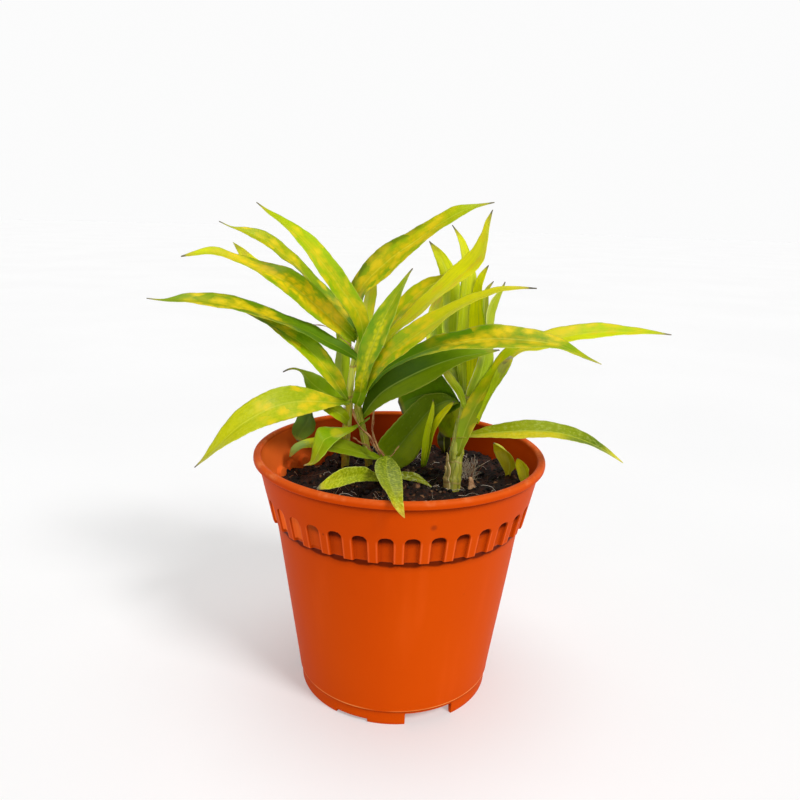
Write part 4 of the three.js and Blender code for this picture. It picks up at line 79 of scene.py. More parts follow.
    "K01": {"node": "shoot_leaf_upright", "piece": "shoot_leaf_upright_blade", "fold": 0.12, "seed": 32, "rows": [[13.2, 20, 112.9, -1.1, 0.34, -0.16], [13.5, 18.6, 116.5, -1.37, 0.97, -0.26], [13.8, 17.4, 120.1, -1.55, 1.7, -0.41], [14.1, 16.8, 123.4, -1.66, 2.27, -0.53], [14.4, 16.9, 126.5, -1.7, 2.64, -0.6], [14.7, 17, 129.5, -1.62, 2.86, -0.65], [15.1, 17, 132.6, -1.52, 2.94, -0.66], [15.6, 16.7, 135.7, -1.52, 2.86, -0.59], [16.2, 16.4, 138.8, -1.5, 2.61, -0.49], [16.7, 16.2, 141.8, -1.3, 2.21, -0.41], [17.1, 16, 144.9, -0.96, 1.63, -0.4], [17.3, 15.8, 148, -0.61, 0.93, -0.28], [17.2, 15.7, 151, -0.12, 0.35, -0.09]]},
    "K02": {"node": "shoot_leaf_leaning", "piece": "shoot_leaf_leaning_blade", "fold": 0.12, "seed": 33, "rows": [[14.6, 21, 113.2, -0.8, 0.86, -0.33], [15.2, 19, 117.2, -0.93, 1.41, -0.65], [15.7, 17.5, 121, -1.04, 2.05, -0.95], [16.3, 16.6, 124.5, -1.14, 2.55, -1.17], [16.8, 16.4, 127.9, -1.21, 2.86, -1.31], [17.4, 16.3, 131.1, -1.3, 3, -1.31], [18.2, 15.9, 134.4, -1.42, 2.99, -1.02], [19.3, 14.9, 137.7, -1.57, 2.8, -0.49], [20.6, 13.6, 141, -1.65, 2.43, -0.11], [22.3, 11.6, 144.2, -1.58, 1.86, 0.13], [23.9, 8.9, 147.4, -1.41, 1.13, 0.32], [25.7, 6.1, 150.6, -1.02, 0.45, 0.38], [27.7, 5, 153.1, -0.13, 0.1, 0.11]]},
    "K03": {"node": "seedling_leaf", "piece": "seedling_leaf_blade", "fold": 0.12, "seed": 34, "rows": [[26.6, 50, 112.2, -2.08, 0, -0.07], [26.4, 50, 113.7, -3.01, 0, -0.01], [26.3, 50.2, 115.1, -3.71, 0, 0.06], [26.2, 50.7, 116.4, -4.1, 0.02, 0.13], [26.2, 51.4, 117.7, -4.13, 0.18, 0.16], [26.2, 52.2, 118.9, -3.86, 0.73, 0.09], [26.3, 52.8, 120.2, -3.41, 1.55, -0.05], [26.4, 53.1, 121.6, -2.92, 2.13, -0.13], [26.5, 52.9, 123.1, -2.43, 2.29, -0.05], [26.6, 52.5, 124.7, -1.85, 2.09, 0.13], [26.8, 52, 126.3, -1.29, 1.61, 0.22], [26.8, 51.7, 127.8, -0.73, 0.93, 0.16], [26.7, 51.5, 129.4, -0.12, 0.35, -0.1]]},
    "B01": {"node": "rim_leaf_inner", "piece": "rim_leaf_inner_blade", "fold": 0.12, "seed": 35, "rows": [[58.6, 6, 114.2, -1.27, 0.15, -0.66], [58.9, 6.5, 115.7, -2.08, 0.58, -0.44], [58.9, 7, 117.2, -2.65, 1.24, -0.4], [58.7, 7.5, 118.7, -2.97, 1.84, -0.45], [58.2, 8, 120.1, -3.11, 2.27, -0.57], [57.6, 8.5, 121.5, -3.14, 2.53, -0.73], [56.9, 9, 122.8, -3.08, 2.71, -0.86], [56.2, 9.5, 124.1, -2.88, 2.79, -0.93], [55.2, 10, 125.3, -2.44, 2.73, -0.94], [54.1, 10.4, 126.4, -1.92, 2.43, -0.85], [53, 10.8, 127.3, -1.44, 1.82, -0.65], [51.7, 11.1, 128.2, -0.89, 1.02, -0.37], [50.3, 11.2, 129.1, -0.22, 0.35, -0.12]]},
    "B02": {"node": "rim_leaf_outer", "piece": "rim_leaf_outer_blade", "fold": 0.12, "seed": 36, "rows": [[65.1, -12, 114.2, -0.93, 0.35, -0.44], [65.1, -11.4, 115.3, -1.16, 0.94, -0.85], [65.1, -10.8, 116.4, -1.34, 1.59, -1.19], [65, -10.2, 117.5, -1.52, 2.07, -1.39], [64.8, -9.7, 118.6, -1.69, 2.32, -1.4], [64.5, -9.1, 119.7, -1.89, 2.39, -1.21], [64.3, -8.5, 120.8, -2.08, 2.32, -0.97], [64, -7.9, 121.8, -2.22, 2.12, -0.77], [63.4, -7.4, 122.8, -2.19, 1.83, -0.6], [62.9, -6.8, 123.8, -1.99, 1.43, -0.43], [62.3, -6.4, 124.8, -1.59, 0.95, -0.26], [61.6, -6.1, 125.8, -1, 0.44, -0.1], [60.8, -6, 126.8, -0.24, 0.12, -0.05]]},
    "L18": {"node": "left_leaf_short_back", "piece": "left_leaf_short_back_blade", "fold": 0.12, "seed": 37, "rows": [[-28.7, 28, 132.6, -1.09, -0.09, -1.46], [-29.6, 25, 135.1, -1.16, -0.45, -2.19], [-30.6, 22.9, 137.2, -1.17, -1.16, -2.63], [-31.8, 21.1, 139, -1.16, -1.92, -2.82], [-33.2, 20.4, 140.2, -1.15, -2.48, -2.83], [-34.7, 20, 141.3, -1.14, -2.85, -2.74], [-36.3, 19, 142.6, -1.1, -3.06, -2.57], [-37.9, 19.8, 143.2, -1.02, -3.06, -2.42], [-39.9, 22.6, 143.3, -0.88, -2.79, -2.33], [-41.8, 25.6, 143.4, -0.71, -2.23, -2.22], [-43.8, 28.3, 143.5, -0.53, -1.4, -1.96], [-45.7, 30.5, 143.8, -0.3, -0.57, -1.53], [-47.5, 31.8, 144.3, 0.02, -0.12, -0.83]]},
    "L19": {"node": "left_leaf_upright_shaded", "piece": "left_leaf_upright_shaded_blade", "fold": 0.12, "seed": 38, "rows": [[-30.9, 30, 147.9, -1.26, -1.58, 0.36], [-32.1, 32.3, 152, -2.1, -2.34, 0.49], [-32.9, 33.6, 156.4, -2.7, -3.28, 0.66], [-33.4, 34.6, 160.9, -3.21, -4.03, 0.76], [-33.7, 35.7, 165.5, -3.64, -4.51, 0.8], [-33.3, 36.8, 170, -3.52, -4.78, 0.8], [-33.1, 37.9, 174.5, -3.64, -4.77, 0.76], [-33.2, 39, 179, -3.96, -4.36, 0.6], [-33.5, 40, 183.6, -4.12, -3.51, 0.09], [-33.6, 41, 188.1, -4.21, -2.32, -0.39], [-34.3, 41.7, 192.6, -3.46, -1.12, -0.57], [-34.9, 42.3, 197.1, -2.25, -0.34, -0.44], [-35.3, 42.5, 201.7, -0.27, -0.05, 0]]},
    "M1": {"node": "right_leaf_short_torn", "piece": "right_leaf_short_torn_blade", "fold": 0.12, "seed": 39, "rows": [[38.7, -12, 148.2, -0.88, 1.36, 0.1], [39.6, -13.8, 151.6, -0.71, 2.22, -0.26], [40.6, -14.8, 154.6, -0.71, 2.37, -0.36], [41.6, -15.3, 157.6, -0.78, 2.56, -0.44], [42.7, -15.7, 160.4, -0.91, 2.97, -0.5], [43.8, -16.1, 163.3, -1.09, 3.61, -0.56], [44.9, -16.2, 166.1, -1.31, 4.31, -0.7], [46.2, -15.6, 168.6, -1.73, 4.09, -0.69], [47.5, -14.7, 171.1, -2.14, 3.42, -0.58], [48.8, -14, 173.7, -2.49, 2.36, -0.33], [50, -13.3, 176.2, -2.6, 1.15, -0.08], [51.4, -12.9, 178.8, -2.23, 0.32, 0.07], [53.2, -12.7, 181.1, -0.78, 0.04, 0.17]]},
    "M2": {"node": "right_leaf_dry_strip", "piece": "right_leaf_dry_strip_blade", "fold": 0.12, "seed": 40, "rows": [[31.6, -5, 154.9, -1.25, -0.1, -0.54], [31.1, -4.6, 156.4, -1.46, -0.45, -0.53], [30.4, -4.2, 157.8, -1.66, -1.04, -0.47], [29.8, -3.8, 159.2, -1.82, -1.58, -0.42], [29, -3.3, 160.5, -1.93, -1.89, -0.43], [28.1, -2.9, 161.8, -1.96, -2.04, -0.49], [27.1, -2.5, 163, -1.93, -2.07, -0.57], [26.1, -2.1, 164.2, -1.87, -1.93, -0.65], [25.2, -1.7, 165.5, -1.84, -1.54, -0.74], [24.3, -1.3, 166.7, -1.85, -0.89, -0.85], [23.4, -0.9, 168, -1.82, -0.31, -0.91], [22.6, -0.5, 169.3, -1.64, -0.05, -0.83], [21.8, -0.2, 170.7, -1.24, 0, -0.61]]},
    "M4": {"node": "right_leaf_back_hanging", "piece": "right_leaf_back_hanging_blade", "fold": 0.12, "seed": 41, "rows": [[31.2, 8, 150.7, 0.83, -0.65, -1.71], [30.1, 16.1, 148.5, 2.11, -0.22, -4.22], [29.5, 23.6, 145.4, 3.02, -0.04, -5.71], [29.3, 30.5, 141.9, 3.69, 0, -6.46], [29.2, 36.5, 138.4, 4.23, 0, -6.89], [28.9, 41.4, 135.3, 4.7, 0, -7.19], [28.6, 44.9, 132.4, 5.1, 0, -7.26], [28.2, 47.1, 130, 5.29, 0, -7], [27.7, 48.4, 127.9, 5.12, 0, -6.39], [26.9, 49, 125.9, 4.52, 0, -5.49], [26.1, 49.6, 124, 3.67, 0, -4.13], [25.4, 50.1, 122, 2.59, 0, -2.39], [24.7, 50.3, 120.1, 0.77, 0, -0.59]]},
    "M7": {"node": "right_leaf_upright_inner", "piece": "right_leaf_upright_inner_blade", "fold": 0.12, "seed": 42, "rows": [[33.2, 4, 148.3, -0.94, -1.82, 0.46], [31.6, 7.1, 154.1, -2.1, -3.97, 1.09], [29.6, 10.3, 159.8, -3.31, -6.29, 1.78], [27, 13.9, 165.2, -4.45, -8.08, 2.39], [23.7, 17.9, 170.4, -5.49, -8.66, 2.39], [20.2, 22.2, 175.4, -6.44, -8.69, 2.04], [18.7, 26.6, 181.2, -7.24, -8.42, 1.41], [18.4, 30.9, 187.4, -7.31, -7.96, 0.96], [18.9, 34.9, 193.8, -6.74, -7.28, 0.78], [20.2, 38.5, 200.2, -5.79, -6.25, 0.57], [22.4, 41.5, 206.5, -3.98, -4.74, 0.41], [24.4, 43.5, 212.9, -2.27, -2.82, -0.34], [24.8, 44.4, 219.7, -0.19, -0.47, 0.03]]},
}
STEMS = {
    "stem_left_front": {"r": [2.3, 1.6], "P": [[-30.8, 30, 108.6], [-30.5, 29.3, 118], [-30, 28.7, 127.4], [-29.2, 27.9, 136.7], [-28.7, 26.1, 146], [-27.9, 25.1, 155.4], [-26.7, 25, 164.7], [-24.9, 25.7, 173.9], [-22.1, 27, 182.8]]},
    "stem_left_back": {"r": [2.2, 1.6], "P": [[-16.9, 25, 107.8], [-17.9, 25, 116.2], [-19.4, 25, 124.5], [-21.3, 24.9, 132.8], [-23, 23.9, 141], [-23.5, 21.9, 149.2], [-22.1, 20, 157.2], [-18.8, 20, 165.1], [-15.2, 22, 172.5]]},
    "stem_short_front": {"r": [1.7, 1.3], "P": [[-8.5, 9, 109.2], [-8.4, 8.8, 110.5], [-8.3, 8.5, 111.8], [-8.2, 8.3, 113.1], [-8.1, 8.1, 114.4], [-8, 7.8, 115.7], [-7.9, 7.5, 117], [-7.8, 7.3, 118.3], [-7.7, 7, 119.6]]},
    "stem_right": {"r": [3.9, 2.2], "P": [[27.6, -10, 109.8], [28, -9.4, 115.9], [28.5, -8.6, 121.9], [29.1, -7.5, 128], [29.9, -6.2, 133.9], [30.8, -4.5, 139.7], [31.8, -2.6, 145.5], [32.6, -0.7, 151.2], [33.3, 1, 157.1]]},
    "stem_small_shoot": {"r": [1.3, 1], "P": [[13.4, 23, 110.1], [13.4, 22.8, 111.7], [13.4, 22.5, 113.3], [13.5, 22.3, 115], [13.6, 22, 116.6], [13.8, 21.8, 118.2], [14, 21.5, 119.9], [14.2, 21.3, 121.5], [14.5, 21, 123.1]]},
}
TWIGS = {
    "dry_twig_1": {"r": [0.75, 0.9], "P": [[-25.9, 19, 143.5], [-24, 18.2, 137.9], [-20.8, 16.3, 133.7], [-16.9, 14.1, 129.7], [-13.6, 12.8, 125.1], [-10.5, 12, 120.1]]},
    "dry_twig_2": {"r": [0.7, 0.9], "P": [[-14.5, 19, 143.3], [-14.9, 18.1, 137.8], [-14.9, 16.7, 132.6], [-14.2, 14.8, 127.9], [-11.5, 12.3, 123.8], [-8, 10, 120.3]]},
    "dry_twig_3": {"r": [0.6, 0.7], "P": [[-25.6, 18, 127.4], [-23.3, 17.3, 126.5], [-20.9, 16.7, 125.4], [-18.7, 16.2, 124.1], [-16.6, 15.8, 122.7], [-14.5, 15.5, 121.1]]},
    "dry_twig_4": {"r": [0.45, 0.6], "P": [[-0.4, 12, 125.5], [-1.2, 11.6, 124.2], [-2.2, 11.1, 123], [-3.2, 10.6, 121.8], [-4.2, 10.1, 120.7], [-5.3, 9.5, 119.7]]},
    "dry_twig_5": {"r": [0.7, 0.35], "P": [[-26.6, 31, 173.2], [-30.1, 33.7, 176.9], [-34.2, 35.7, 180.3], [-39, 37, 183.3], [-44.2, 38, 185.6], [-50, 38, 185.8]]},
}

# ---------------------------------------------------------------------------------------------------------------------
# helpers
# ---------------------------------------------------------------------------------------------------------------------


def lin(r, g, b):
    def f(c):
        c = c / 255.0
        return c / 12.92 if c <= 0.04045 else ((c + 0.055) / 1.055) ** 2.4

    return (f(r), f(g), f(b), 1.0)


def smooth(a, b, x):
    t = np.clip((np.asarray(x, float) - a) / (b - a), 0.0, 1.0)
    return t * t * (3 - 2 * t)


def noise3(p, seed=0):
    """Smooth value noise in -1..1 at points p (n, 3)."""
    p = np.asarray(p, float)
    i = np.floor(p).astype(np.int64)
    f = p - i
    f = f * f * (3 - 2 * f)

    def h(ix, iy, iz):
        n = (ix * 374761393 + iy * 668265263 + iz * 2147483647 + seed * 974634777) & 0xFFFFFFFF
        n = ((n ^ (n >> 13)) * 1274126177) & 0xFFFFFFFF
        n = (n ^ (n >> 16)) & 0xFFFFFFFF
        return n.astype(float) / 2147483647.5 - 1.0

    out = 0
    for dx in (0, 1):
        for dy in (0, 1):
            for dz in (0, 1):
                w = (f[:, 0] if dx else 1 - f[:, 0]) * (f[:, 1] if dy else 1 - f[:, 1]) * (f[:, 2] if dz else 1 - f[:, 2])
                out = out + w * h(i[:, 0] + dx, i[:, 1] + dy, i[:, 2] + dz)
    return out


def fbm(p, octaves=4, seed=0, gain=0.5):
    p = np.asarray(p, float)
    out, a, s = 0, 1.0, 1.0
    for o in range(octaves):
        out = out + a * noise3(p * s, seed + 17 * o)
        a *= gain
        s *= 2.03
    return out


def make_object(name, verts, faces, mats, face_mat=None, uvs=None, smooth_shade=True):
    """verts in mm from the pot's axis. uvs is {layer: per-vertex array (n, 2)} or {layer: (per-corner array, "corner")}."""
    me = bpy.data.meshes.new(name)
    v = np.asarray(verts, float) + np.array([POT_X, POT_Y, 0.0])
    me.from_pydata((v * MM).tolist(), [], faces)
    for m in mats:
        me.materials.append(m)
    if face_mat is not None:
        me.polygons.foreach_set("material_index", np.asarray(face_mat, np.int32))
    if uvs:
        loop_v = np.zeros(len(me.loops), np.int32)
        me.loops.foreach_get("vertex_index", loop_v)
        for layer, data in uvs.items():
            uv = me.uv_layers.new(name=layer)
            uv.data.foreach_set("uv", np.asarray(data, np.float32)[loop_v].ravel())
    me.polygons.foreach_set("use_smooth", [smooth_shade] * len(me.polygons))
    me.validate()
    me.update()
    ob = bpy.data.objects.new(name, me)
    bpy.context.scene.collection.objects.link(ob)
    return ob


def grid_faces(rows, cols, close=False, base=0, flip=False):
    out = []
    for i in range(rows - 1):
        for j in range(cols if close else cols - 1):
            a, b = base + i * cols + j, base + i * cols + (j + 1) % cols
            c, d = b + cols, a + cols
            out.append((a, d, c, b) if flip else (a, b, c, d))
    return out


def catmull(rows, n):
    """Uniform Catmull-Rom through rows (m, k), at n points."""
    r = np.asarray(rows, float)
    m = len(r)
    ext = np.vstack([2 * r[0] - r[1], r, 2 * r[-1] - r[-2]])
    t = np.linspace(0, m - 1, n)
    i = np.minimum(t.astype(int), m - 2)
    f = (t - i)[:, None]
    p0, p1, p2, p3 = ext[i], ext[i + 1], ext[i + 2], ext[i + 3]
    return 0.5 * (2 * p1 + (p2 - p0) * f + (2 * p0 - 5 * p1 + 4 * p2 - p3) * f**2 + (3 * p1 - p0 - 3 * p2 + p3) * f**3)


def tangents(c):
    t = np.gradient(c, axis=0)
    return t / np.maximum(np.linalg.norm(t, axis=1), 1e-9)[:, None]


def frames(c, up=(0.0, 0.0, 1.0)):
    """Parallel-transport frames along a path."""
    t = tangents(c)
    u = np.array(up, float)
    if abs(t[0] @ u) > 0.9:
        u = np.array([1.0, 0.0, 0.0])
    a = u - t[0] * (t[0] @ u)
    a /= np.linalg.norm(a)
    A = [a]
    for k in range(1, len(c)):
        a = A[-1] - t[k] * (A[-1] @ t[k])
        a /= max(np.linalg.norm(a), 1e-9)
        A.append(a)
    A = np.array(A)
    return t, A, np.cross(t, A)


# ---------------------------------------------------------------------------------------------------------------------
# node materials
# ---------------------------------------------------------------------------------------------------------------------


class Mat:
    def __init__(self, name):
        self.m = bpy.data.materials.new(name)
        self.m.use_nodes = True
        self.nt = self.m.node_tree
        self.nt.nodes.clear()
        self.out = self.n("ShaderNodeOutputMaterial")
        self.bsdf = self.n("ShaderNodeBsdfPrincipled")
        self.link(self.bsdf.outputs[0], self.out.inputs["Surface"])

    def n(self, kind, **props):
        node = self.nt.nodes.new(kind)
        for k, v in props.items():
            setattr(node, k, v)
        return node

    def link(self, a, b):
        self.nt.links.new(a, b)

    def put(self, socket, v):
        if isinstance(v, bpy.types.NodeSocket):
            self.link(v, socket)
        else:
            socket.default_value = v

    def math(self, op, a, b=0.0, c=None, clamp=False):
        node = self.n("ShaderNodeMath", operation=op, use_clamp=clamp)
        self.put(node.inputs[0], a)
        if op not in ("ABSOLUTE", "SINE", "COSINE", "SQRT", "FLOOR", "FRACT"):
            self.put(node.inputs[1], b)
        if c is not None:
            self.put(node.inputs[2], c)
        return node.outputs[0]

    def range(self, v, a, b, c=0.0, d=1.0, kind="SMOOTHSTEP"):
        node = self.n("ShaderNodeMapRange", interpolation_type=kind, clamp=True)
        self.put(node.inputs["Value"], v)
        self.put(node.inputs["From Min"], a)
        self.put(node.inputs["From Max"], b)
        self.put(node.inputs["To Min"], c)
        self.put(node.inputs["To Max"], d)
        return node.outputs["Result"]

    def mix(self, f, a, b, blend="MIX"):
        node = self.n("ShaderNodeMix", data_type="RGBA", blend_type=blend, clamp_factor=True)
        self.put(node.inputs[0], f)
        self.put(node.inputs[6], a)
        self.put(node.inputs[7], b)
        return node.outputs[2]

    def ramp(self, v, stops, kind="EASE"):
        node = self.n("ShaderNodeValToRGB")
        node.color_ramp.interpolation = kind
        el = node.color_ramp.elements
        while len(el) > 1:
            el.remove(el[-1])
        first = True
        for pos, col in stops:
            if first:
                e = el[0]
                e.position = pos
                first = False
            else:
                e = el.new(pos)
            e.color = col if isinstance(col, (tuple, list)) else (col, col, col, 1.0)
        self.put(node.inputs[0], v)
        return node.outputs["Color"]

    def noise(self, vec, scale, detail=3.0, rough=0.55, lac=2.0, dist=0.0, out="Fac"):
        node = self.n("ShaderNodeTexNoise", noise_dimensions="3D")
        if vec is not None:
            self.put(node.inputs["Vector"], vec)
        node.inputs["Scale"].default_value = scale
        node.inputs["Detail"].default_value = detail
        node.inputs["Roughness"].default_value = rough
        node.inputs["Lacunarity"].default_value = lac
        node.inputs["Distortion"].default_value = dist
        return node.outputs[out]

    def voronoi(self, vec, scale, feature="F1", out="Distance", rand=1.0, smoothness=0.6, dims="3D"):
        node = self.n("ShaderNodeTexVoronoi", feature=feature, voronoi_dimensions=dims)
        self.put(node.inputs["Vector"], vec)
        node.inputs["Scale"].default_value = scale
        node.inputs["Randomness"].default_value = rand
        if feature == "SMOOTH_F1":
            node.inputs["Smoothness"].default_value = smoothness
        return node.outputs[out]

    def obj(self):
        return self.n("ShaderNodeTexCoord").outputs["Object"]

    def crevice(self, distance, lo, hi, local=True, up=0.0):
        """0 in narrow corners, 1 in the open. up turns the test towards the sky, so that it finds what lies under a ledge."""
        node = self.n("ShaderNodeAmbientOcclusion", samples=8, only_local=local)
        node.inputs["Distance"].default_value = distance
        if up:
            add = self.n("ShaderNodeVectorMath", operation="ADD")
            self.put(add.inputs[0], self.n("ShaderNodeNewGeometry").outputs["Normal"])
            add.inputs[1].default_value = (0.0, 0.0, up)
            norm = self.n("ShaderNodeVectorMath", operation="NORMALIZE")
            self.put(norm.inputs[0], add.outputs[0])
            self.put(node.inputs["Normal"], norm.outputs[0])
        return self.range(node.outputs["AO"], lo, hi)

    def xyz(self, vec):
        node = self.n("ShaderNodeSeparateXYZ")
        self.put(node.inputs[0], vec)
        return node.outputs

    def vec(self, x=0.0, y=0.0, z=0.0):
        node = self.n("ShaderNodeCombineXYZ")
        self.put(node.inputs[0], x)
        self.put(node.inputs[1], y)
        self.put(node.inputs[2], z)
        return node.outputs[0]

    def scale(self, vec, s, offset=(0.0, 0.0, 0.0)):
        node = self.n("ShaderNodeMapping")
        self.put(node.inputs["Vector"], vec)
        node.inputs["Scale"].default_value = s
        node.inputs["Location"].default_value = offset
        return node.outputs[0]

    def uv(self, name):
        return self.n("ShaderNodeUVMap", uv_map=name).outputs[0]

    def bump(self, height, distance, strength=1.0, normal=None):
        node = self.n("ShaderNodeBump")
        node.inputs["Distance"].default_value = distance
        node.inputs["Strength"].default_value = strength
        self.put(node.inputs["Height"], height)
        if normal is not None:
            self.put(node.inputs["Normal"], normal)
        return node.outputs[0]

    def finish(self, color, rough, normal=None, **const):
        self.put(self.bsdf.inputs["Base Color"], color)
        self.put(self.bsdf.inputs["Roughness"], rough)
        if normal is not None:
            self.put(self.bsdf.inputs["Normal"], normal)
        for k, v in const.items():
            self.bsdf.inputs[k.replace("_", " ")].default_value = v
        return self.m


# ---- pot plastic ----
def pot_material():
    k = Mat("moulded_orange_plastic")
    p = k.obj()
    x, y, z = k.xyz(p)[0], k.xyz(p)[1], k.xyz(p)[2]
    broad = k.noise(k.scale(p, (9.0, 9.0, 6.0)), 1.0, 2.0, 0.5)
    flow = k.noise(k.scale(p, (60.0, 60.0, 5.0)), 1.0, 3.0, 0.6)
    fine = k.noise(p, 900.0, 2.0, 0.5)
    base = k.mix(k.range(broad, 0.3, 0.7), lin(199, 66, 0), lin(209, 75, 0))
    base = k.mix(k.math("MULTIPLY", k.range(flow, 0.55, 0.8), 0.22), base, lin(226, 88, 24))
    base = k.mix(k.math("MULTIPLY", k.range(flow, 0.45, 0.2), 0.15), base, lin(184, 48, 4))
    # dust and a little dried mix on the rim, and a few specks below it
    rim = k.range(z, 0.1262, 0.1280)
    dust = k.math("MULTIPLY", k.range(k.noise(p, 160.0, 4.0, 0.65), 0.45, 0.75), rim)
    base = k.mix(k.math("MULTIPLY", rim, 0.40), base, lin(228, 104, 40))
    base = k.mix(k.math("MULTIPLY", dust, 0.4), base, lin(240, 150, 92))
    speck = k.voronoi(p, 170.0)
    pick = k.noise(k.scale(p, (1.0, 1.0, 1.0), (3.1, 1.7, 0.4)), 28.0, 1.0)
    high = k.range(z, 0.06, 0.125)
    grains = k.math("MULTIPLY", k.range(speck, 0.16, 0.08), k.math("MULTIPLY", k.range(pick, 0.60, 0.66), high))
    base = k.mix(k.math("MULTIPLY", grains, 0.55), base, lin(96, 34, 14))
    d = k.n("ShaderNodeVectorMath", operation="DISTANCE")
    k.put(d.inputs[0], p)
    d.inputs[1].default_value = (0.01050, -0.06628, 0.11471)
    k_sp = k.range(d.outputs["Value"], 0.0022, 0.0004)
    base = k.mix(k.math("MULTIPLY", k_sp, 0.5), base, lin(110, 36, 14))
    # grime and shade gather under the rim, under the band's edge and round the arches
    ao = k.crevice(0.0060, 0.30, 0.80, True, 1.0)
    base = k.mix(k.math("SUBTRACT", 1.0, ao), base, k.mix(1.0, base, (0.26, 0.14, 0.08, 1.0), "MULTIPLY"))
    dx = k.math("SUBTRACT", x, POT_X * MM)
    dy = k.math("SUBTRACT", y, POT_Y * MM)
    rr = k.math("SQRT", k.math("ADD", k.math("MULTIPLY", dx, dx), k.math("MULTIPLY", dy, dy)))
    nz = k.xyz(k.n("ShaderNodeNewGeometry").outputs["Normal"])
    facing = k.range(k.math("ADD", k.math("MULTIPLY", nz[0], dx), k.math("MULTIPLY", nz[1], dy)), 0.0, 0.02)
    below = k.math("ADD", z, k.math("MULTIPLY", k.math("SUBTRACT", k.noise(p, 260.0, 2.0, 0.5), 0.5), 0.0012))
    turn = k.math("MULTIPLY", k.math("ARCTAN2", dx, k.math("MULTIPLY", dy, -1.0)), 57.29578)
    off = k.math("ABSOLUTE", k.math("WRAP", k.math("SUBTRACT", turn, 5.888), 5.0, -5.0))
    below = k.math("SUBTRACT", below, k.math("MULTIPLY", k.range(off, 1.5, 5.0), 0.0007))
    under = k.math("MULTIPLY", k.range(below, 0.0918, 0.0932), k.range(z, 0.09552, 0.09544))
    under = k.math("ADD", k.math("MULTIPLY", under, 0.80), k.math("MULTIPLY", k.math("MULTIPLY", k.range(below, 0.0888, 0.0928), k.range(z, 0.09552, 0.09544)), 0.18))
    under = k.math("MULTIPLY", under, facing)
    outer = k.math("ADD", 0.06634, k.math("MULTIPLY", k.math("SUBTRACT", z, 0.09546), 0.21264))
    sunk = k.math("MULTIPLY", k.math("MULTIPLY", k.range(k.math("SUBTRACT", outer, rr), 0.0003, 0.0013), facing), k.range(z, 0.0950, 0.0958))
    crown = k.math("MULTIPLY", k.math("MULTIPLY", sunk, k.range(below, 0.1046, 0.1064)), 0.85)
    base = k.mix(k.math("MULTIPLY", k.math("MAXIMUM", under, crown), 0.95), base, k.mix(1.0, base, (0.20, 0.16, 0.05, 1.0), "MULTIPLY"))
    base = k.mix(k.math("MULTIPLY", sunk, 0.20), base, k.mix(1.0, base, (0.55, 0.55, 0.5, 1.0), "MULTIPLY"))
    worn = k.math("MULTIPLY", k.math("MULTIPLY", k.range(off, 3.05, 3.25), k.range(off, 4.0, 3.4)), k.math("MULTIPLY", k.range(z, 0.0952, 0.0962), k.range(z, 0.1078, 0.1050)))
    base = k.mix(k.math("MULTIPLY", k.math("MULTIPLY", worn, facing), 0.5), base, lin(236, 104, 50))
    # a worn, lighter line along the seam over the foot
    seam = k.math("MULTIPLY", k.math("MULTIPLY", k.range(z, 0.00800, 0.00820), k.range(z, 0.00900, 0.00860)), facing)
    seam = k.math("MULTIPLY", seam, k.range(k.noise(k.scale(p, (30.0, 30.0, 1.0)), 1.0, 2.0, 0.5), 0.30, 0.55))
    base = k.mix(k.math("MULTIPLY", seam, 0.75), base, lin(248, 160, 84))
    # the inside of the neck: cleaner on the open left side, stained behind the stems
    wall = k.math("SUBTRACT", outer, 0.0008)
    inside = k.math("MULTIPLY", k.range(k.math("SUBTRACT", rr, wall), 0.0002, -0.0002), k.range(z, 0.0965, 0.0975))
    inside = k.math("MULTIPLY", inside, k.range(z, 0.1272, 0.1262))
    base = k.mix(k.math("MULTIPLY", k.math("MULTIPLY", inside, k.range(dx, -0.030, -0.055)), 0.85), base, lin(255, 116, 44))
    base = k.mix(k.math("MULTIPLY", k.math("MULTIPLY", inside, k.range(dy, 0.030, 0.058)), 0.75), base, lin(132, 34, 2))
    rough = k.range(broad, 0.3, 0.7, 0.42, 0.5)
    rough = k.math("ADD", rough, k.math("MULTIPLY", dust, 0.2))
    h = k.math("ADD", k.math("MULTIPLY", fine, 0.25), k.math("MULTIPLY", flow, 1.0))
    return k.finish(base, rough, k.bump(h, 0.00012, 0.35), Specular_IOR_Level=0.02)


# ---- potting mix ----
def soil_material():
    k = Mat("potting_mix_dark")
    p = k.obj()
    n1 = k.noise(p, 160.0, 6.0, 0.7)
    n2 = k.noise(p, 520.0, 5.0, 0.7)
    cells = k.voronoi(p, 420.0, out="Color")
    pick = k.xyz(cells)[0]
    base = k.mix(k.range(n1, 0.38, 0.66), lin(19, 8, 4), lin(66, 30, 13))
    base = k.mix(k.math("MULTIPLY", k.range(pick, 0.72, 0.9), 0.7), base, lin(74, 36, 18))
    base = k.mix(k.math("MULTIPLY", k.range(pick, 0.965, 0.975), 0.7), base, lin(158, 112, 74))
    base = k.mix(k.math("MULTIPLY", k.range(n2, 0.55, 0.4), 0.75), base, lin(5, 3, 2))
    ao = k.crevice(0.003, 0.25, 0.80)
    base = k.mix(k.math("MULTIPLY", k.math("SUBTRACT", 1.0, ao), 0.8), base, lin(3, 2, 1))
    rough = k.range(n2, 0.35, 0.7, 0.62, 0.95)
    h = k.math("ADD", k.math("MULTIPLY", n2, 0.7), k.math("MULTIPLY", n1, 1.0))
    return k.finish(base, rough, k.bump(h, 0.0009, 0.9), Specular_IOR_Level=0.35)


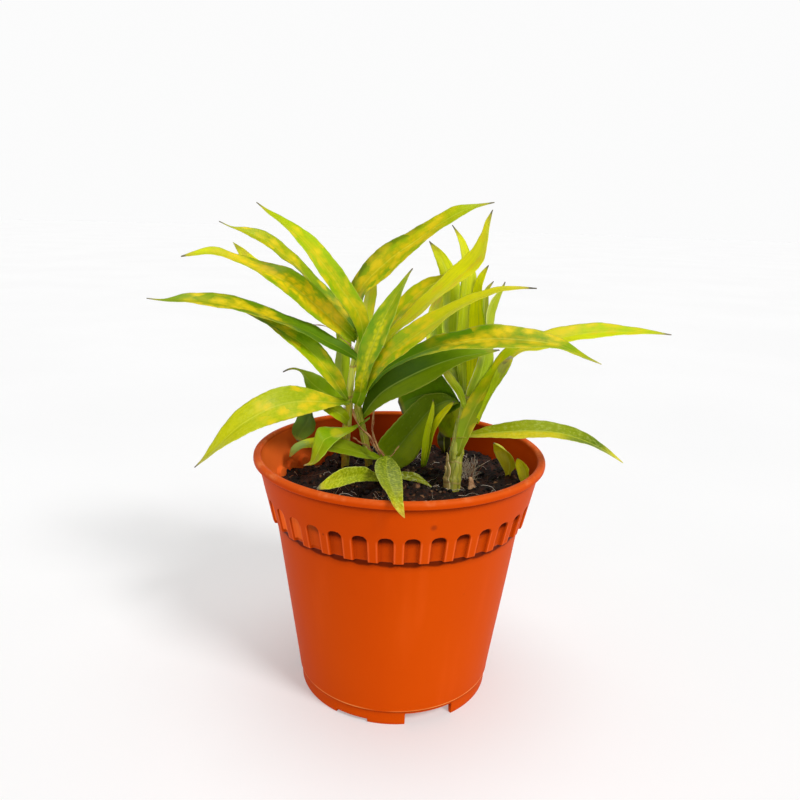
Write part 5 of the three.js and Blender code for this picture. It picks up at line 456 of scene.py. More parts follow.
def crumb_material():
    k = Mat("potting_mix_crumbs")
    p = k.obj()
    cells = k.voronoi(p, 210.0, out="Color")
    pick = k.xyz(cells)[0]
    pick2 = k.xyz(cells)[1]
    n2 = k.noise(p, 700.0, 5.0, 0.7)
    base = k.ramp(pick, [(0.0, lin(10, 5, 3)), (0.45, lin(24, 12, 8)), (0.7, lin(34, 17, 10)), (0.88, lin(60, 31, 18)), (0.975, lin(92, 52, 30)), (1.0, lin(146, 104, 70))])
    base = k.mix(k.math("MULTIPLY", k.range(n2, 0.6, 0.38), 0.75), base, lin(6, 3, 2))
    base = k.mix(k.math("MULTIPLY", k.range(pick2, 0.95, 0.97), 0.5), base, lin(165, 132, 100))
    ao = k.crevice(0.002, 0.2, 0.75, False)
    base = k.mix(k.math("MULTIPLY", k.math("SUBTRACT", 1.0, ao), 0.7), base, lin(3, 2, 1))
    rough = k.range(n2, 0.3, 0.7, 0.55, 0.92)
    return k.finish(base, rough, k.bump(n2, 0.0006, 0.8), Specular_IOR_Level=0.35)


def fibre_material(name, a, b, rough=0.7):
    k = Mat(name)
    p = k.obj()
    n = k.noise(p, 260.0, 3.0, 0.6)
    n2 = k.noise(p, 1500.0, 3.0, 0.6)
    base = k.mix(k.range(n, 0.35, 0.65), a, b)
    base = k.mix(k.math("MULTIPLY", k.range(n2, 0.5, 0.3), 0.4), base, lin(70, 48, 30))
    return k.finish(base, k.range(n, 0.3, 0.7, rough - 0.1, rough + 0.15), k.bump(n2, 0.0001, 0.6))


def bark_material():
    k = Mat("bark_chip_wood")
    p = k.obj()
    grain = k.noise(k.scale(p, (900.0, 260.0, 900.0)), 1.0, 4.0, 0.6)
    n = k.noise(p, 300.0, 4.0, 0.6)
    base = k.mix(k.range(grain, 0.3, 0.7), lin(178, 130, 84), lin(214, 176, 130))
    base = k.mix(k.math("MULTIPLY", k.range(n, 0.55, 0.35), 0.75), base, lin(110, 66, 40))
    return k.finish(base, 0.8, k.bump(grain, 0.0003, 0.8))


# ---- stems ----
def stem_material(name, low, high, scar, streak=0.35, margin=None):
    k = Mat(name)
    uv = k.xyz(k.uv("UVMap"))
    u, v = uv[0], uv[1]
    p = k.obj()
    along = k.noise(k.scale(p, (700.0, 700.0, 45.0)), 1.0, 3.0, 0.55)
    blot = k.noise(p, 90.0, 3.0, 0.6)
    base = k.mix(v, low, high)
    base = k.mix(k.math("MULTIPLY", k.range(along, 0.5, 0.72), streak), base, lin(206, 206, 120))
    base = k.mix(k.math("MULTIPLY", k.range(along, 0.46, 0.3), streak), base, lin(70, 92, 22))
    base = k.mix(k.math("MULTIPLY", k.range(blot, 0.58, 0.7), 0.4), base, scar)
    if margin:
        em = k.math("ABSOLUTE", k.math("SUBTRACT", u, 0.5))
        base = k.mix(k.math("MULTIPLY", k.math("MULTIPLY", k.range(em, 0.26, 0.36), k.range(em, 0.42, 0.36)), 0.45), base, k.mix(1.0, base, (0.45, 0.5, 0.3, 1.0), "MULTIPLY"))
        base = k.mix(k.math("MULTIPLY", k.range(em, 0.40, 0.46), 0.8), base, margin)
    ring = k.math("FRACT", k.math("ADD", k.math("MULTIPLY", v, 5.0), k.math("MULTIPLY", blot, 0.25)))
    ringm = k.math("MULTIPLY", k.range(ring, 0.0, 0.06), k.range(ring, 0.14, 0.08))
    base = k.mix(k.math("MULTIPLY", ringm, 0.7), base, scar)
    h = k.math("ADD", along, k.math("MULTIPLY", ringm, 0.6))
    return k.finish(base, k.range(along, 0.3, 0.7, 0.40, 0.55), k.bump(h, 0.00025, 0.7), Subsurface_Weight=0.1, Subsurface_Scale=0.001)


# ---- leaves ----
TOP_DEFAULT = dict(
    grad=[(0.0, (140, 175, 10)), (1.0, (185, 200, 20))],  # colours from the base to the tip
    spots=0.0, spot=5.0, spot_col=(236, 206, 22), spot_at=(0.05, 0.9), stretch=1.5,
    side=0.0, side_col=(200, 210, 30), side_u=(0.45, 0.7), side_v=(0.0, 1.0),
    rib=0.35, rib_col=(205, 215, 70), rib_at=0.0, edge=0.35, edge_col=(206, 214, 92),
    tip=(0.955, 0.99), tip_col=(120, 112, 84), base_col=None, mottle=0.18, streaks=0.3, dots=0.0, dot_col=(150, 170, 90),
    rough=0.36, under=None, seed=0, patches=(), tone=(1.0, 1.0), wide=1.0, fold=None, speckle=0.0, speckle_col=(196, 206, 80),
    mid=0.0, mid_col=(222, 206, 20), mid_mm=4.0, mid_v=(0.1, 0.8), mid_cell=4.2,
)


def leaf_lin(c, tone=(1.0, 1.0)):
    """Leaf colours, warmed a little towards yellow. tone lightens or darkens the red and the green of one blade."""
    r, g, b, _ = lin(min(255, c[0] * 1.07 + 6), min(255, c[1] * 1.05 + 2), c[2] * 0.4)
    return (min(0.86, r * tone[0]), min(0.86, g * tone[1]), b, 1.0)


def leaf_material(name, d):
    """Colours go by the blade's own length and width: UVMap is 0..1 across and along, UVmm is the same in cm."""
    k = Mat(name)
    uv = k.xyz(k.uv("UVMap"))
    u, v = uv[0], uv[1]
    mmv = k.uv("UVmm")
    mm = k.xyz(mmv)
    off = (0.37 * d["seed"], 0.71 * d["seed"], 0.0)
    q = k.scale(mmv, (10.0, 10.0, 1.0), off)  # millimetres
    qx, qy = k.xyz(q)[0], k.xyz(q)[1]
    x_mm = k.math("MULTIPLY", mm[0], 10.0)
    warp = k.noise(k.scale(q, (0.16, 0.10, 1.0)), 1.0, 2.0, 0.5)
    vw = k.math("ADD", v, k.math("MULTIPLY", k.math("SUBTRACT", warp, 0.5), 0.16))
    tone = d["tone"]
    stops = [(p, leaf_lin(c, tone)) for p, c in d["grad"]]
    base = k.ramp(vw, stops, "EASE")
    # one half of the blade paler
    if d["side"]:
        u0, u1 = d["side_u"]
        su = k.range(k.math("ADD", u, k.math("MULTIPLY", k.math("SUBTRACT", warp, 0.5), 0.12)), u0, u1)
        v0, v1 = d["side_v"]
        sv = k.math("MULTIPLY", k.range(v, v0 - 0.06, v0 + 0.06), k.range(v, v1 + 0.06, v1 - 0.06))
        base = k.mix(k.math("MULTIPLY", k.math("MULTIPLY", su, sv), d["side"]), base, leaf_lin(d["side_col"], tone))
    # a golden zone along the middle
    if d["mid"]:
        mw = k.math("ADD", k.math("ABSOLUTE", x_mm), k.math("MULTIPLY", k.math("SUBTRACT", k.noise(k.scale(q, (0.22, 0.12, 1.0)), 1.0, 3.0, 0.6), 0.5), 9.0))
        mf = k.math("MULTIPLY", k.range(mw, d["mid_mm"] + 1.6, d["mid_mm"] - 1.6), k.math("MULTIPLY", k.range(v, d["mid_v"][0] - 0.08, d["mid_v"][0] + 0.1), k.range(v, d["mid_v"][1] + 0.1, d["mid_v"][1] - 0.1)))
        cs = d["mid_cell"]
        cw = k.n("ShaderNodeVectorMath", operation="MULTIPLY_ADD")
        k.put(cw.inputs[0], k.noise(k.scale(q, (0.30, 0.22, 1.0)), 1.0, 2.0, 0.5, out="Color"))
        cw.inputs[1].default_value = (0.7, 0.7, 0.0)
        k.put(cw.inputs[2], k.scale(q, (1.0 / cs, 1.0 / (cs * 1.25), 0.0)))
        net = k.voronoi(cw.outputs[0], 1.0, "DISTANCE_TO_EDGE", "Distance", 0.85, 0.0, "2D")
        cell_m = k.math("ADD", 0.42, k.math("MULTIPLY", k.range(net, -0.06, 0.34), 0.58))
        base = k.mix(k.math("MULTIPLY", k.math("MULTIPLY", mf, cell_m), d["mid"]), base, leaf_lin(d["mid_col"], tone))
    # broad mottling and long fine veins
    m1 = k.noise(k.scale(q, (0.30, 0.17, 1.0)), 1.0, 4.0, 0.6)
    m2 = k.noise(k.scale(q, (1.1, 0.5, 1.0)), 1.0, 3.0, 0.6)
    dark = k.mix(1.0, base, (0.62, 0.72, 0.50, 1.0), "MULTIPLY")
    light = k.mix(1.0, base, (1.22, 1.14, 1.25, 1.0), "MULTIPLY")
    base = k.mix(k.math("MULTIPLY", k.range(m1, 0.50, 0.32), min(1.0, 2.2 * d["mottle"])), base, dark)
    base = k.mix(k.math("MULTIPLY", k.range(m2, 0.52, 0.72), min(1.0, 2.4 * d["mottle"])), base, light)
    if d["speckle"]:
        sp = k.noise(k.scale(q, (0.62, 0.50, 1.0)), 1.0, 3.0, 0.6, dist=0.4)
        base = k.mix(k.math("MULTIPLY", k.range(sp, 0.48, 0.39), d["speckle"] * 0.9), base, k.mix(1.0, dark, (0.92, 0.95, 0.7, 1.0), "MULTIPLY"))
        base = k.mix(k.math("MULTIPLY", k.range(sp, 0.52, 0.60), d["speckle"] * 0.8), base, lin(*d["speckle_col"]))
    vein = k.noise(k.scale(q, (2.6, 0.035, 1.0)), 1.0, 2.0, 0.5)
    vein2 = k.noise(k.scale(q, (6.5, 0.06, 1.0)), 1.0, 1.0, 0.5)
    base = k.mix(k.math("MULTIPLY", k.range(vein, 0.50, 0.32), min(1.0, d["streaks"] * 1.35)), base, dark)
    base = k.mix(k.math("MULTIPLY", k.range(vein, 0.55, 0.72), d["streaks"]), base, light)
    base = k.mix(k.math("MULTIPLY", k.range(vein2, 0.55, 0.7), d["streaks"] * 0.6), base, light)
    # soft golden spots, longer than wide, some run together
    if d["spots"]:
        s = d["spot"]
        wob = k.noise(k.scale(q, (0.35, 0.25, 1.0)), 1.0, 2.0, 0.5, out="Color")
        wv = k.n("ShaderNodeVectorMath", operation="MULTIPLY_ADD")
        k.put(wv.inputs[0], wob)
        wv.inputs[1].default_value = (0.55, 0.55, 0.0)
        k.put(wv.inputs[2], k.scale(q, (1.0 / s, 1.0 / (s * d["stretch"]), 0.0)))
        vec = wv.outputs[0]
        dist = k.voronoi(vec, 1.0, "SMOOTH_F1", "Distance", 0.95, 0.5, "2D")
        cell = k.xyz(k.voronoi(vec, 1.0, "F1", "Color", 0.95, 0.35, "2D"))[0]
        rag = k.noise(k.scale(q, (0.62, 0.40, 1.0)), 1.0, 3.0, 0.6)
        dist = k.math("ADD", dist, k.math("MULTIPLY", k.math("SUBTRACT", rag, 0.5), 0.55))
        a, b = d["spot_at"]
        reg = k.math("MULTIPLY", k.range(v, a - 0.08, a + 0.10), k.range(v, b + 0.09, b - 0.07))
        amt = k.math("MULTIPLY", k.range(dist, 0.80, 0.06), k.range(cell, 0.30 - 0.34 * d["spots"], 0.66 - 0.34 * d["spots"]))
        amt = k.math("MULTIPLY", amt, reg)
        base = k.mix(k.math("MULTIPLY", amt, min(1.0, 0.50 + 0.45 * d["spots"])), base, lin(*d["spot_col"]))
        core = k.math("MULTIPLY", k.math("MULTIPLY", k.range(dist, 0.34, 0.0), reg), k.range(cell, 0.55, 0.85))
        base = k.mix(k.math("MULTIPLY", core, 0.35), base, lin(240, 214, 44))
    if d["dots"]:
        dd = k.voronoi(k.scale(q, (0.42, 0.36, 0.0)), 1.0, "F1", "Distance", 1.0, 0.0, "2D")
        dc = k.xyz(k.voronoi(k.scale(q, (0.42, 0.36, 0.0)), 1.0, "F1", "Color", 1.0, 0.0, "2D"))[1]
        base = k.mix(k.math("MULTIPLY", k.math("MULTIPLY", k.range(dd, 0.26, 0.12), k.range(dc, 0.35, 0.6)), d["dots"]), base, lin(*d["dot_col"]))
    # midrib and margin
    ribd = k.math("ABSOLUTE", k.math("SUBTRACT", x_mm, d["rib_at"]))
    rib = k.math("MULTIPLY", k.range(ribd, 0.55, 0.12), k.range(v, 0.98, 0.8, 0.25, 1.0))
    base = k.mix(k.math("MULTIPLY", rib, d["rib"]), base, lin(*d["rib_col"]))
    ribs = k.math("MULTIPLY", k.range(ribd, 1.5, 0.5), k.range(ribd, 0.25, 0.6))
    base = k.mix(k.math("MULTIPLY", ribs, d["rib"] * 0.45), base, dark)
    em = k.math("ABSOLUTE", k.math("SUBTRACT", u, 0.5))
    edge = k.range(em, 0.455, 0.495)
    base = k.mix(k.math("MULTIPLY", edge, d["edge"]), base, lin(*d["edge_col"]))
    for (pu, pv, su_, sv_, col, f) in d["patches"]:
        du = k.math("MULTIPLY", k.math("SUBTRACT", u, pu), 1.0 / su_)
        dv = k.math("MULTIPLY", k.math("SUBTRACT", v, pv), 1.0 / sv_)
        r2 = k.math("ADD", k.math("MULTIPLY", du, du), k.math("MULTIPLY", dv, dv))
        r2 = k.math("ADD", r2, k.math("MULTIPLY", k.math("SUBTRACT", m2, 0.5), 0.9))
        base = k.mix(k.math("MULTIPLY", k.range(r2, 1.15, 0.45), f), base, lin(*col))
    if d["base_col"]:
        base = k.mix(k.range(v, 0.10, 0.0), base, lin(*d["base_col"]))
    mixed = k.mix(0.0, base, lin(150, 172, 70))
    mixed.node.name = "paler"
    base = mixed
    # dry tip
    t0, t1 = d["tip"]
    tv = k.math("ADD", v, k.math("MULTIPLY", k.math("SUBTRACT", m2, 0.5), 0.03))
    base = k.mix(k.range(tv, t0, t1), base, lin(*d["tip_col"]))
    base = k.mix(k.math("MULTIPLY", k.math("MULTIPLY", k.range(tv, t0 - 0.035, t0), k.range(tv, t0 + 0.03, t0)), 0.45), base, lin(190, 170, 60))
    rough = k.range(m1, 0.3, 0.7, d["rough"], d["rough"] + 0.1)
    rough.node.name = "gloss"
    h = k.math("ADD", k.math("MULTIPLY", vein, 0.8), k.math("MULTIPLY", vein2, 0.5))
    h = k.math("ADD", h, k.math("MULTIPLY", m2, 0.5))
    top = k.finish(base, rough, k.bump(h, 0.00016, 0.5), Specular_IOR_Level=0.18, Subsurface_Weight=SSS, Subsurface_Scale=0.0005, Subsurface_Radius=(0.9, 1.0, 0.15))
    under = top.copy()
    under.name = name + "_under"
    nodes = under.node_tree.nodes
    nodes["paler"].inputs[0].default_value = 0.4
    nodes["gloss"].inputs["To Min"].default_value = d["rough"] + 0.14
    nodes["gloss"].inputs["To Max"].default_value = d["rough"] + 0.24
    return top, under


SSS = 0.10
# how each blade differs: colours along it, spots, pale margins, dry ends (see TOP_DEFAULT)
GOLD, PALE, BROWN = (232, 200, 20), (206, 214, 100), (118, 104, 78)
LOOK = {
    "L01": dict(tone=(0.75, 0.85), grad=[(0, (120, 160, 8)), (0.35, (150, 182, 8)), (0.7, (176, 200, 10)), (1, (188, 196, 20))], spots=0.2, spot=5, spot_at=(0.12, 0.8), mid=0.7, mid_mm=3.0, mid_v=(0.14, 0.66), mid_cell=4.4, mid_col=(226, 200, 22), edge=0.45, rib=0.25),
    "L02": dict(tone=(0.6, 0.75), grad=[(0, (104, 144, 8)), (0.3, (150, 176, 10)), (0.6, (190, 192, 16)), (1, (205, 206, 30))], spots=0.5, spot=4.4, streaks=0.6, mottle=0.35, edge=0.75, edge_col=(130, 160, 20), side=0.35, side_col=(214, 208, 30)),
    "L03": dict(tone=(1.1, 1.1), grad=[(0, (112, 150, 8)), (0.5, (118, 156, 8)), (1, (190, 200, 24))], spots=0.5, spot=5.4, mid=0.95, mid_mm=4.6, mid_v=(0.1, 0.78), mid_cell=4.0, mid_col=(226, 190, 22), spot_col=(228, 196, 18), spot_at=(0.05, 0.85), edge=0.3),
    "L04b": dict(tone=(1.15, 1.55), grad=[(0, (150, 160, 14)), (0.6, (204, 184, 26)), (1, (190, 170, 50))], tip=(0.9, 0.97), tip_col=(176, 176, 40)),
    "L05": dict(tone=(0.8, 0.8), grad=[(0, (84, 130, 8)), (0.5, (104, 150, 8)), (0.85, (128, 165, 10)), (1, (140, 165, 30))], spots=0.7, spot=5.2, spot_at=(0.36, 0.84), mid=0.8, mid_mm=2.6, mid_v=(0.42, 0.74), mid_cell=4.2, tip=(0.965, 0.99), edge=0.3, rib=0.15),
    "L06": dict(tone=(0.85, 1), grad=[(0, (120, 150, 10)), (0.4, (150, 175, 8)), (0.7, (112, 150, 6)), (1, (100, 140, 8))], spots=0.35, mottle=0.35, edge=0.6, side=0.4, side_col=(176, 190, 12), side_v=(0.1, 0.7)),
    "L07": dict(tone=(0.7, 0.75), grad=[(0, (150, 185, 12)), (0.3, (186, 205, 18)), (0.8, (212, 214, 26)), (1, (200, 200, 62))], speckle=0.25, spots=0.8, spot=5.0, spot_at=(0.08, 0.55), spot_col=(238, 208, 26), edge=0.25, mottle=0.12),
    "L08": dict(tone=(3.6, 3.1), grad=[(0, (80, 112, 10)), (0.5, (70, 102, 10)), (1, (70, 80, 20))], tip=(0.9, 0.97), tip_col=(70, 56, 40), rough=0.42),
    "L09": dict(tone=(1, 0.8), grad=[(0, (110, 160, 10)), (0.5, (122, 180, 10)), (1, (150, 180, 20))], edge=0.65, edge_col=(190, 215, 70), tip=(0.93, 0.98), tip_col=(176, 150, 96), patches=((0.55, 0.36, 0.7, 0.16, (190, 200, 24), 0.55), (0.45, 0.45, 0.4, 0.08, (220, 205, 30), 0.5))),
    "L10": dict(tone=(3.6, 2.25), grad=[(0, (60, 98, 12)), (0.5, (72, 112, 15)), (0.8, (110, 146, 60)), (1, (150, 178, 120))], edge=0.3, rib=0.25, rough=0.42, tip=(0.97, 1.0), tip_col=(120, 146, 90), patches=((0.5, 1.0, 0.9, 0.26, (116, 158, 92), 0.8),)),
    "L11": dict(tone=(2.4, 1.8), grad=[(0, (40, 76, 24)), (0.5, (42, 80, 30)), (1, (110, 150, 70))], rib=0.25, edge=0.25, patches=((0.5, 0.5, 1.2, 0.7, (54, 100, 40), 0.7),), tip=(0.97, 0.99)),
    "L12": dict(tone=(2.15, 1.5), grad=[(0, (92, 128, 18)), (0.5, (100, 136, 18)), (1, (120, 150, 40))], mottle=0.4, speckle=0.95, speckle_col=(202, 212, 70), edge=0.85, edge_col=(206, 216, 110), fold=0.16),
    "L13": dict(tone=(1.15, 0.9), grad=[(0, (108, 144, 20)), (0.5, (116, 152, 22)), (0.9, (140, 166, 36)), (1, (190, 170, 60))], mottle=0.4, speckle=0.95, speckle_col=(206, 216, 74), tip=(0.975, 0.998), tip_col=(206, 168, 60), edge=0.7, rib=0.3),
    "L14": dict(tone=(1.7, 1.2), grad=[(0, (84, 112, 48)), (1, (100, 128, 60))], streaks=0.4, speckle=0.95, speckle_col=(190, 204, 130), edge=0.6),
    "L15": dict(tone=(3.6, 2.65), grad=[(0, (40, 70, 5)), (0.5, (48, 80, 6)), (1, (62, 96, 10))], dots=0.55, dot_col=(124, 150, 44), edge=0.3, rib=0.5, rib_col=(130, 156, 60), side=0.4, side_col=(92, 128, 15), side_v=(0.0, 0.8), rough=0.40),
    "L16": dict(tone=(1.7, 1.55), grad=[(0, (44, 78, 6)), (0.5, (46, 82, 6)), (1, (90, 126, 12))], edge=0.4, rib=0.75, rib_col=(150, 176, 70), side=0.65, side_u=(0.55, 0.40), side_col=(100, 132, 12), rough=0.40),
    "L17": dict(tone=(3.6, 3.45), grad=[(0, (44, 74, 8)), (1, (52, 84, 10))], rib=0.5, rib_col=(120, 150, 60), edge=0.3),
    "L18": dict(tone=(3.25, 2.4), grad=[(0, (86, 120, 14)), (1, (98, 132, 16))], edge=0.4),
    "L19": dict(tone=(3.6, 3.05), grad=[(0, (78, 104, 10)), (1, (84, 110, 10))], edge=0.35),
    "L20": dict(tone=(1.35, 1), grad=[(0, (140, 165, 60)), (0.3, (120, 155, 24)), (0.6, (112, 150, 20)), (0.82, (72, 112, 10)), (1, (204, 212, 116))], side=0.75, side_u=(0.56, 0.40), side_col=(192, 206, 88), side_v=(0.1, 0.62), dots=0.1, dot_col=(206, 212, 130), speckle=0.3, speckle_col=(206, 214, 120), tip=(0.985, 0.999), tip_col=(210, 216, 130), edge=0.6, rib=0.6),
    "L21": dict(tone=(1, 1.05), grad=[(0, (120, 150, 10)), (0.35, (150, 172, 8)), (0.55, (196, 190, 12)), (0.75, (166, 190, 10)), (1, (180, 195, 20))], side=0.75, side_u=(0.56, 0.42), side_col=(204, 216, 14), side_v=(0.5, 0.95), spots=0.2, tip=(0.96, 0.985), tip_col=(130, 122, 100), edge=0.35),
    "L22": dict(tone=(0.65, 0.75), grad=[(0, (98, 150, 10)), (0.5, (112, 162, 10)), (0.9, (150, 180, 20)), (1, (190, 196, 70))], spots=0.8, spot=5.2, spot_at=(0.40, 0.90), mid=0.8, mid_mm=3.2, mid_v=(0.42, 0.74), mid_cell=4.4, mid_col=(226, 190, 22), side=0.5, side_u=(0.30, 0.12), side_col=(202, 212, 66), side_v=(0.3, 0.95), tip=(0.975, 0.995), tip_col=(206, 200, 130), edge=0.45),
    "L23": dict(tone=(0.95, 1), grad=[(0, (110, 152, 8)), (0.35, (140, 176, 10)), (0.7, (192, 194, 14)), (1, (204, 196, 20))], spots=0.7, spot=4.2, mid=0.5, mid_mm=2.6, mid_v=(0.15, 0.5), mid_cell=4.0, spot_at=(0.15, 0.6), tip=(0.95, 0.98), tip_col=(74, 66, 44), edge=0.35),
    "L24": dict(tone=(1.3, 1.25), grad=[(0, (150, 172, 14)), (0.35, (188, 196, 18)), (1, (206, 206, 14))], spots=0.12, mottle=0.1, edge=0.3, streaks=0.4),
    "L25": dict(tone=(0.75, 0.85), grad=[(0, (120, 150, 10)), (0.4, (148, 174, 10)), (0.75, (176, 192, 14)), (1, (192, 202, 22))], spots=0.6, spot=5.0, mid=0.85, mid_mm=3.8, mid_v=(0.2, 0.75), mid_cell=4.4, mid_col=(226, 196, 22), spot_at=(0.2, 0.8), side=0.6, side_u=(0.76, 0.93), side_col=(70, 92, 12), side_v=(0.05, 0.7), edge=0.2),
    "L26": dict(tone=(1.4, 1.15), grad=[(0, (82, 136, 10)), (0.6, (92, 148, 10)), (1, (130, 168, 20))], spots=0.5, spot=4.0, spot_col=(196, 200, 20), spot_at=(0.1, 0.8), mid=0.9, mid_mm=2.2, mid_v=(0.12, 0.7), mid_cell=3.4, mid_col=(206, 206, 20), edge=0.5),
    "L27": dict(tone=(3.2, 2.3), grad=[(0, (92, 126, 14)), (0.6, (102, 138, 15)), (1, (140, 160, 30))], edge=0.75, edge_col=(196, 212, 64), rib=0.5, streaks=0.4),
    "L28": dict(tone=(1.05, 1), grad=[(0, (120, 150, 16)), (0.4, (166, 190, 18)), (1, (190, 202, 26))], streaks=0.7, edge=0.35, mottle=0.15, side=0.6, side_u=(0.80, 0.95), side_col=(92, 122, 14), side_v=(0.0, 0.8)),
    "L29": dict(tone=(3.6, 3.5), grad=[(0, (116, 148, 16)), (0.4, (168, 190, 18)), (1, (196, 204, 30))], streaks=0.8, edge=0.35, mottle=0.15, side=0.6, side_u=(0.22, 0.06), side_col=(84, 114, 14), side_v=(0.0, 0.8)),
    "L30": dict(grad=[(0, (84, 110, 14)), (0.6, (96, 118, 18)), (1, (150, 160, 40))], edge=0.5),
    "L31": dict(tone=(0.75, 0.8), grad=[(0, (140, 172, 24)), (1, (186, 200, 60))], edge=0.9, edge_col=(222, 226, 160), side=0.5, side_u=(0.7, 0.9), side_col=(214, 222, 140)),
    "L33": dict(tone=(1.1, 1.1), grad=[(0, (110, 145, 10)), (0.6, (150, 170, 12)), (0.9, (150, 150, 14)), (1, (90, 90, 20))], spots=0.8, spot=4.5, spot_at=(0.2, 0.85), tip=(0.93, 0.98), tip_col=(74, 66, 40)),
    "L34": dict(tone=(1.9, 1.6), grad=[(0, (120, 150, 10)), (1, (142, 166, 10))], spots=0.2),
    "K01": dict(tone=(1.1, 1.2), grad=[(0, (120, 150, 10)), (0.3, (180, 202, 14)), (1, (194, 212, 20))], edge=0.3, mottle=0.1),
    "K02": dict(tone=(1.5, 1.95), grad=[(0, (120, 150, 10)), (0.3, (176, 200, 14)), (1, (188, 208, 20))], edge=0.3, mottle=0.1),
    "K03": dict(grad=[(0, (40, 40, 8)), (0.45, (44, 50, 12)), (0.75, (120, 132, 34)), (1, (168, 180, 60))]),
    "B01": dict(tone=(2.4, 1.45), grad=[(0, (110, 140, 20)), (1, (134, 166, 22))], edge=0.85, edge_col=(196, 206, 90), wide=1.25, fold=0.3),
    "B02": dict(tone=(3.6, 2.2), grad=[(0, (110, 140, 20)), (1, (130, 164, 20))], edge=0.85, edge_col=(196, 206, 90), wide=1.25, fold=0.3),
    "M1": dict(tone=(1.9, 2.15), grad=[(0, (150, 168, 14)), (0.45, (132, 150, 16)), (0.7, (120, 132, 60)), (1, (128, 128, 84))], streaks=0.7, edge=0.5, edge_col=(90, 110, 30), mottle=0.3, tip=(0.93, 0.99), tip_col=(150, 146, 110), patches=((0.55, 0.86, 0.5, 0.12, (130, 128, 74), 0.55), (0.35, 0.74, 0.25, 0.06, (150, 150, 84), 0.4), (0.7, 0.93, 0.3, 0.06, (92, 90, 52), 0.6))),
    "M2": dict(tone=(0.85, 1), grad=[(0, (150, 170, 20)), (0.4, (170, 184, 40)), (0.75, (196, 196, 110)), (1, (180, 170, 110))], streaks=0.6, edge=0.7, edge_col=(214, 214, 150), tip=(0.95, 1.0), tip_col=(196, 186, 140)),
    "M4": dict(tone=(3.6, 3.6), grad=[(0, (130, 146, 16)), (0.5, (110, 128, 14)), (1, (86, 108, 12))], rib=0.3, edge=0.25, mottle=0.5, rough=0.42),
    "M7": dict(tone=(3.6, 3.6), grad=[(0, (64, 96, 10)), (0.4, (92, 126, 10)), (0.75, (186, 200, 16)), (1, (176, 190, 24))], streaks=0.6, spots=0.4, spot=5, edge=0.4, mottle=0.2),
}


# ---------------------------------------------------------------------------------------------------------------------
# pot
# ---------------------------------------------------------------------------------------------------------------------
RIM_OUTER_R, RIM_INNER_R, RIM_TOP_Z, RIM_LOW_Z = 75.0, 71.0, 128.3, 124.9
WALL, NECK_R, BAND_R, BAND_Z = 1.5, 72.6, 66.34, 95.46
BODY_TOP_R, BODY_LOW_R, SEAM_Z = 64.0, 51.78, 8.16
FOOT_R, FOOT_INNER_R, FLOOR_Z, FLOOR_T = 50.58, 48.6, 6.2, 2.0
FLUTE_PHASE, FLUTE_W, FLUTE_TOP, FLUTE_SHOULDER, FLUTE_DEPTH = 5.888, 3.42, 109.1, 107.0, 1.9
LEDGE_Z = BAND_Z + WALL


def band_r(z):
    return BAND_R + (NECK_R - BAND_R) * (z - BAND_Z) / (RIM_LOW_Z - BAND_Z)


def body_r(z):
    return BODY_LOW_R + (BODY_TOP_R - BODY_LOW_R) * (z - SEAM_Z) / (BAND_Z - SEAM_Z)


def flute_inside(az, z, r, grow=0.0, soft=1.0):
    """0 outside a flute, 1 on its floor. az in degrees, arrays."""
    off = (az - FLUTE_PHASE + 5.0) % 10.0 - 5.0
    t = np.abs(np.radians(off)) * r
    w, b = FLUTE_W + grow, (FLUTE_TOP - FLUTE_SHOULDER) + 0.35 + grow
    zs = FLUTE_SHOULDER - 0.35
    side = w - t
    q = np.sqrt((t / w) ** 2 + (np.maximum(z - zs, 0) / b) ** 2) + 1e-9
    g = np.sqrt((t / w**2 / q) ** 2 + (np.maximum(z - zs, 0) / b**2 / q) ** 2) + 1e-9
    arch = np.minimum((1 - q) / g, b)
    d = np.where(z < zs, side, np.minimum(arch, side + 5))
    hard = smooth(zs - 2.5, zs + 1.0, z)
    e0 = -0.22 * soft * (1 - 0.35 * hard)
    e1 = 0.62 * soft * (1 - 0.45 * hard)
    return smooth(0, 1, (d - e0) / (e1 - e0))


def foot_low(az):
    """Height of the foot ring's lower edge: pads at 0, a shallow step, and open notches up to the floor."""
    a = az % 120.0
    out = np.zeros_like(a)
    s = 0.10
    notch = smooth(7.5 - s, 7.5 + s, a) * (1 - smooth(36.5 - s, 36.5 + s, a))
    step = smooth(86 - s, 86 + s, a) * (1 - smooth(106 - s, 106 + s, a))
    return out + notch * 6.1 + step * 1.6


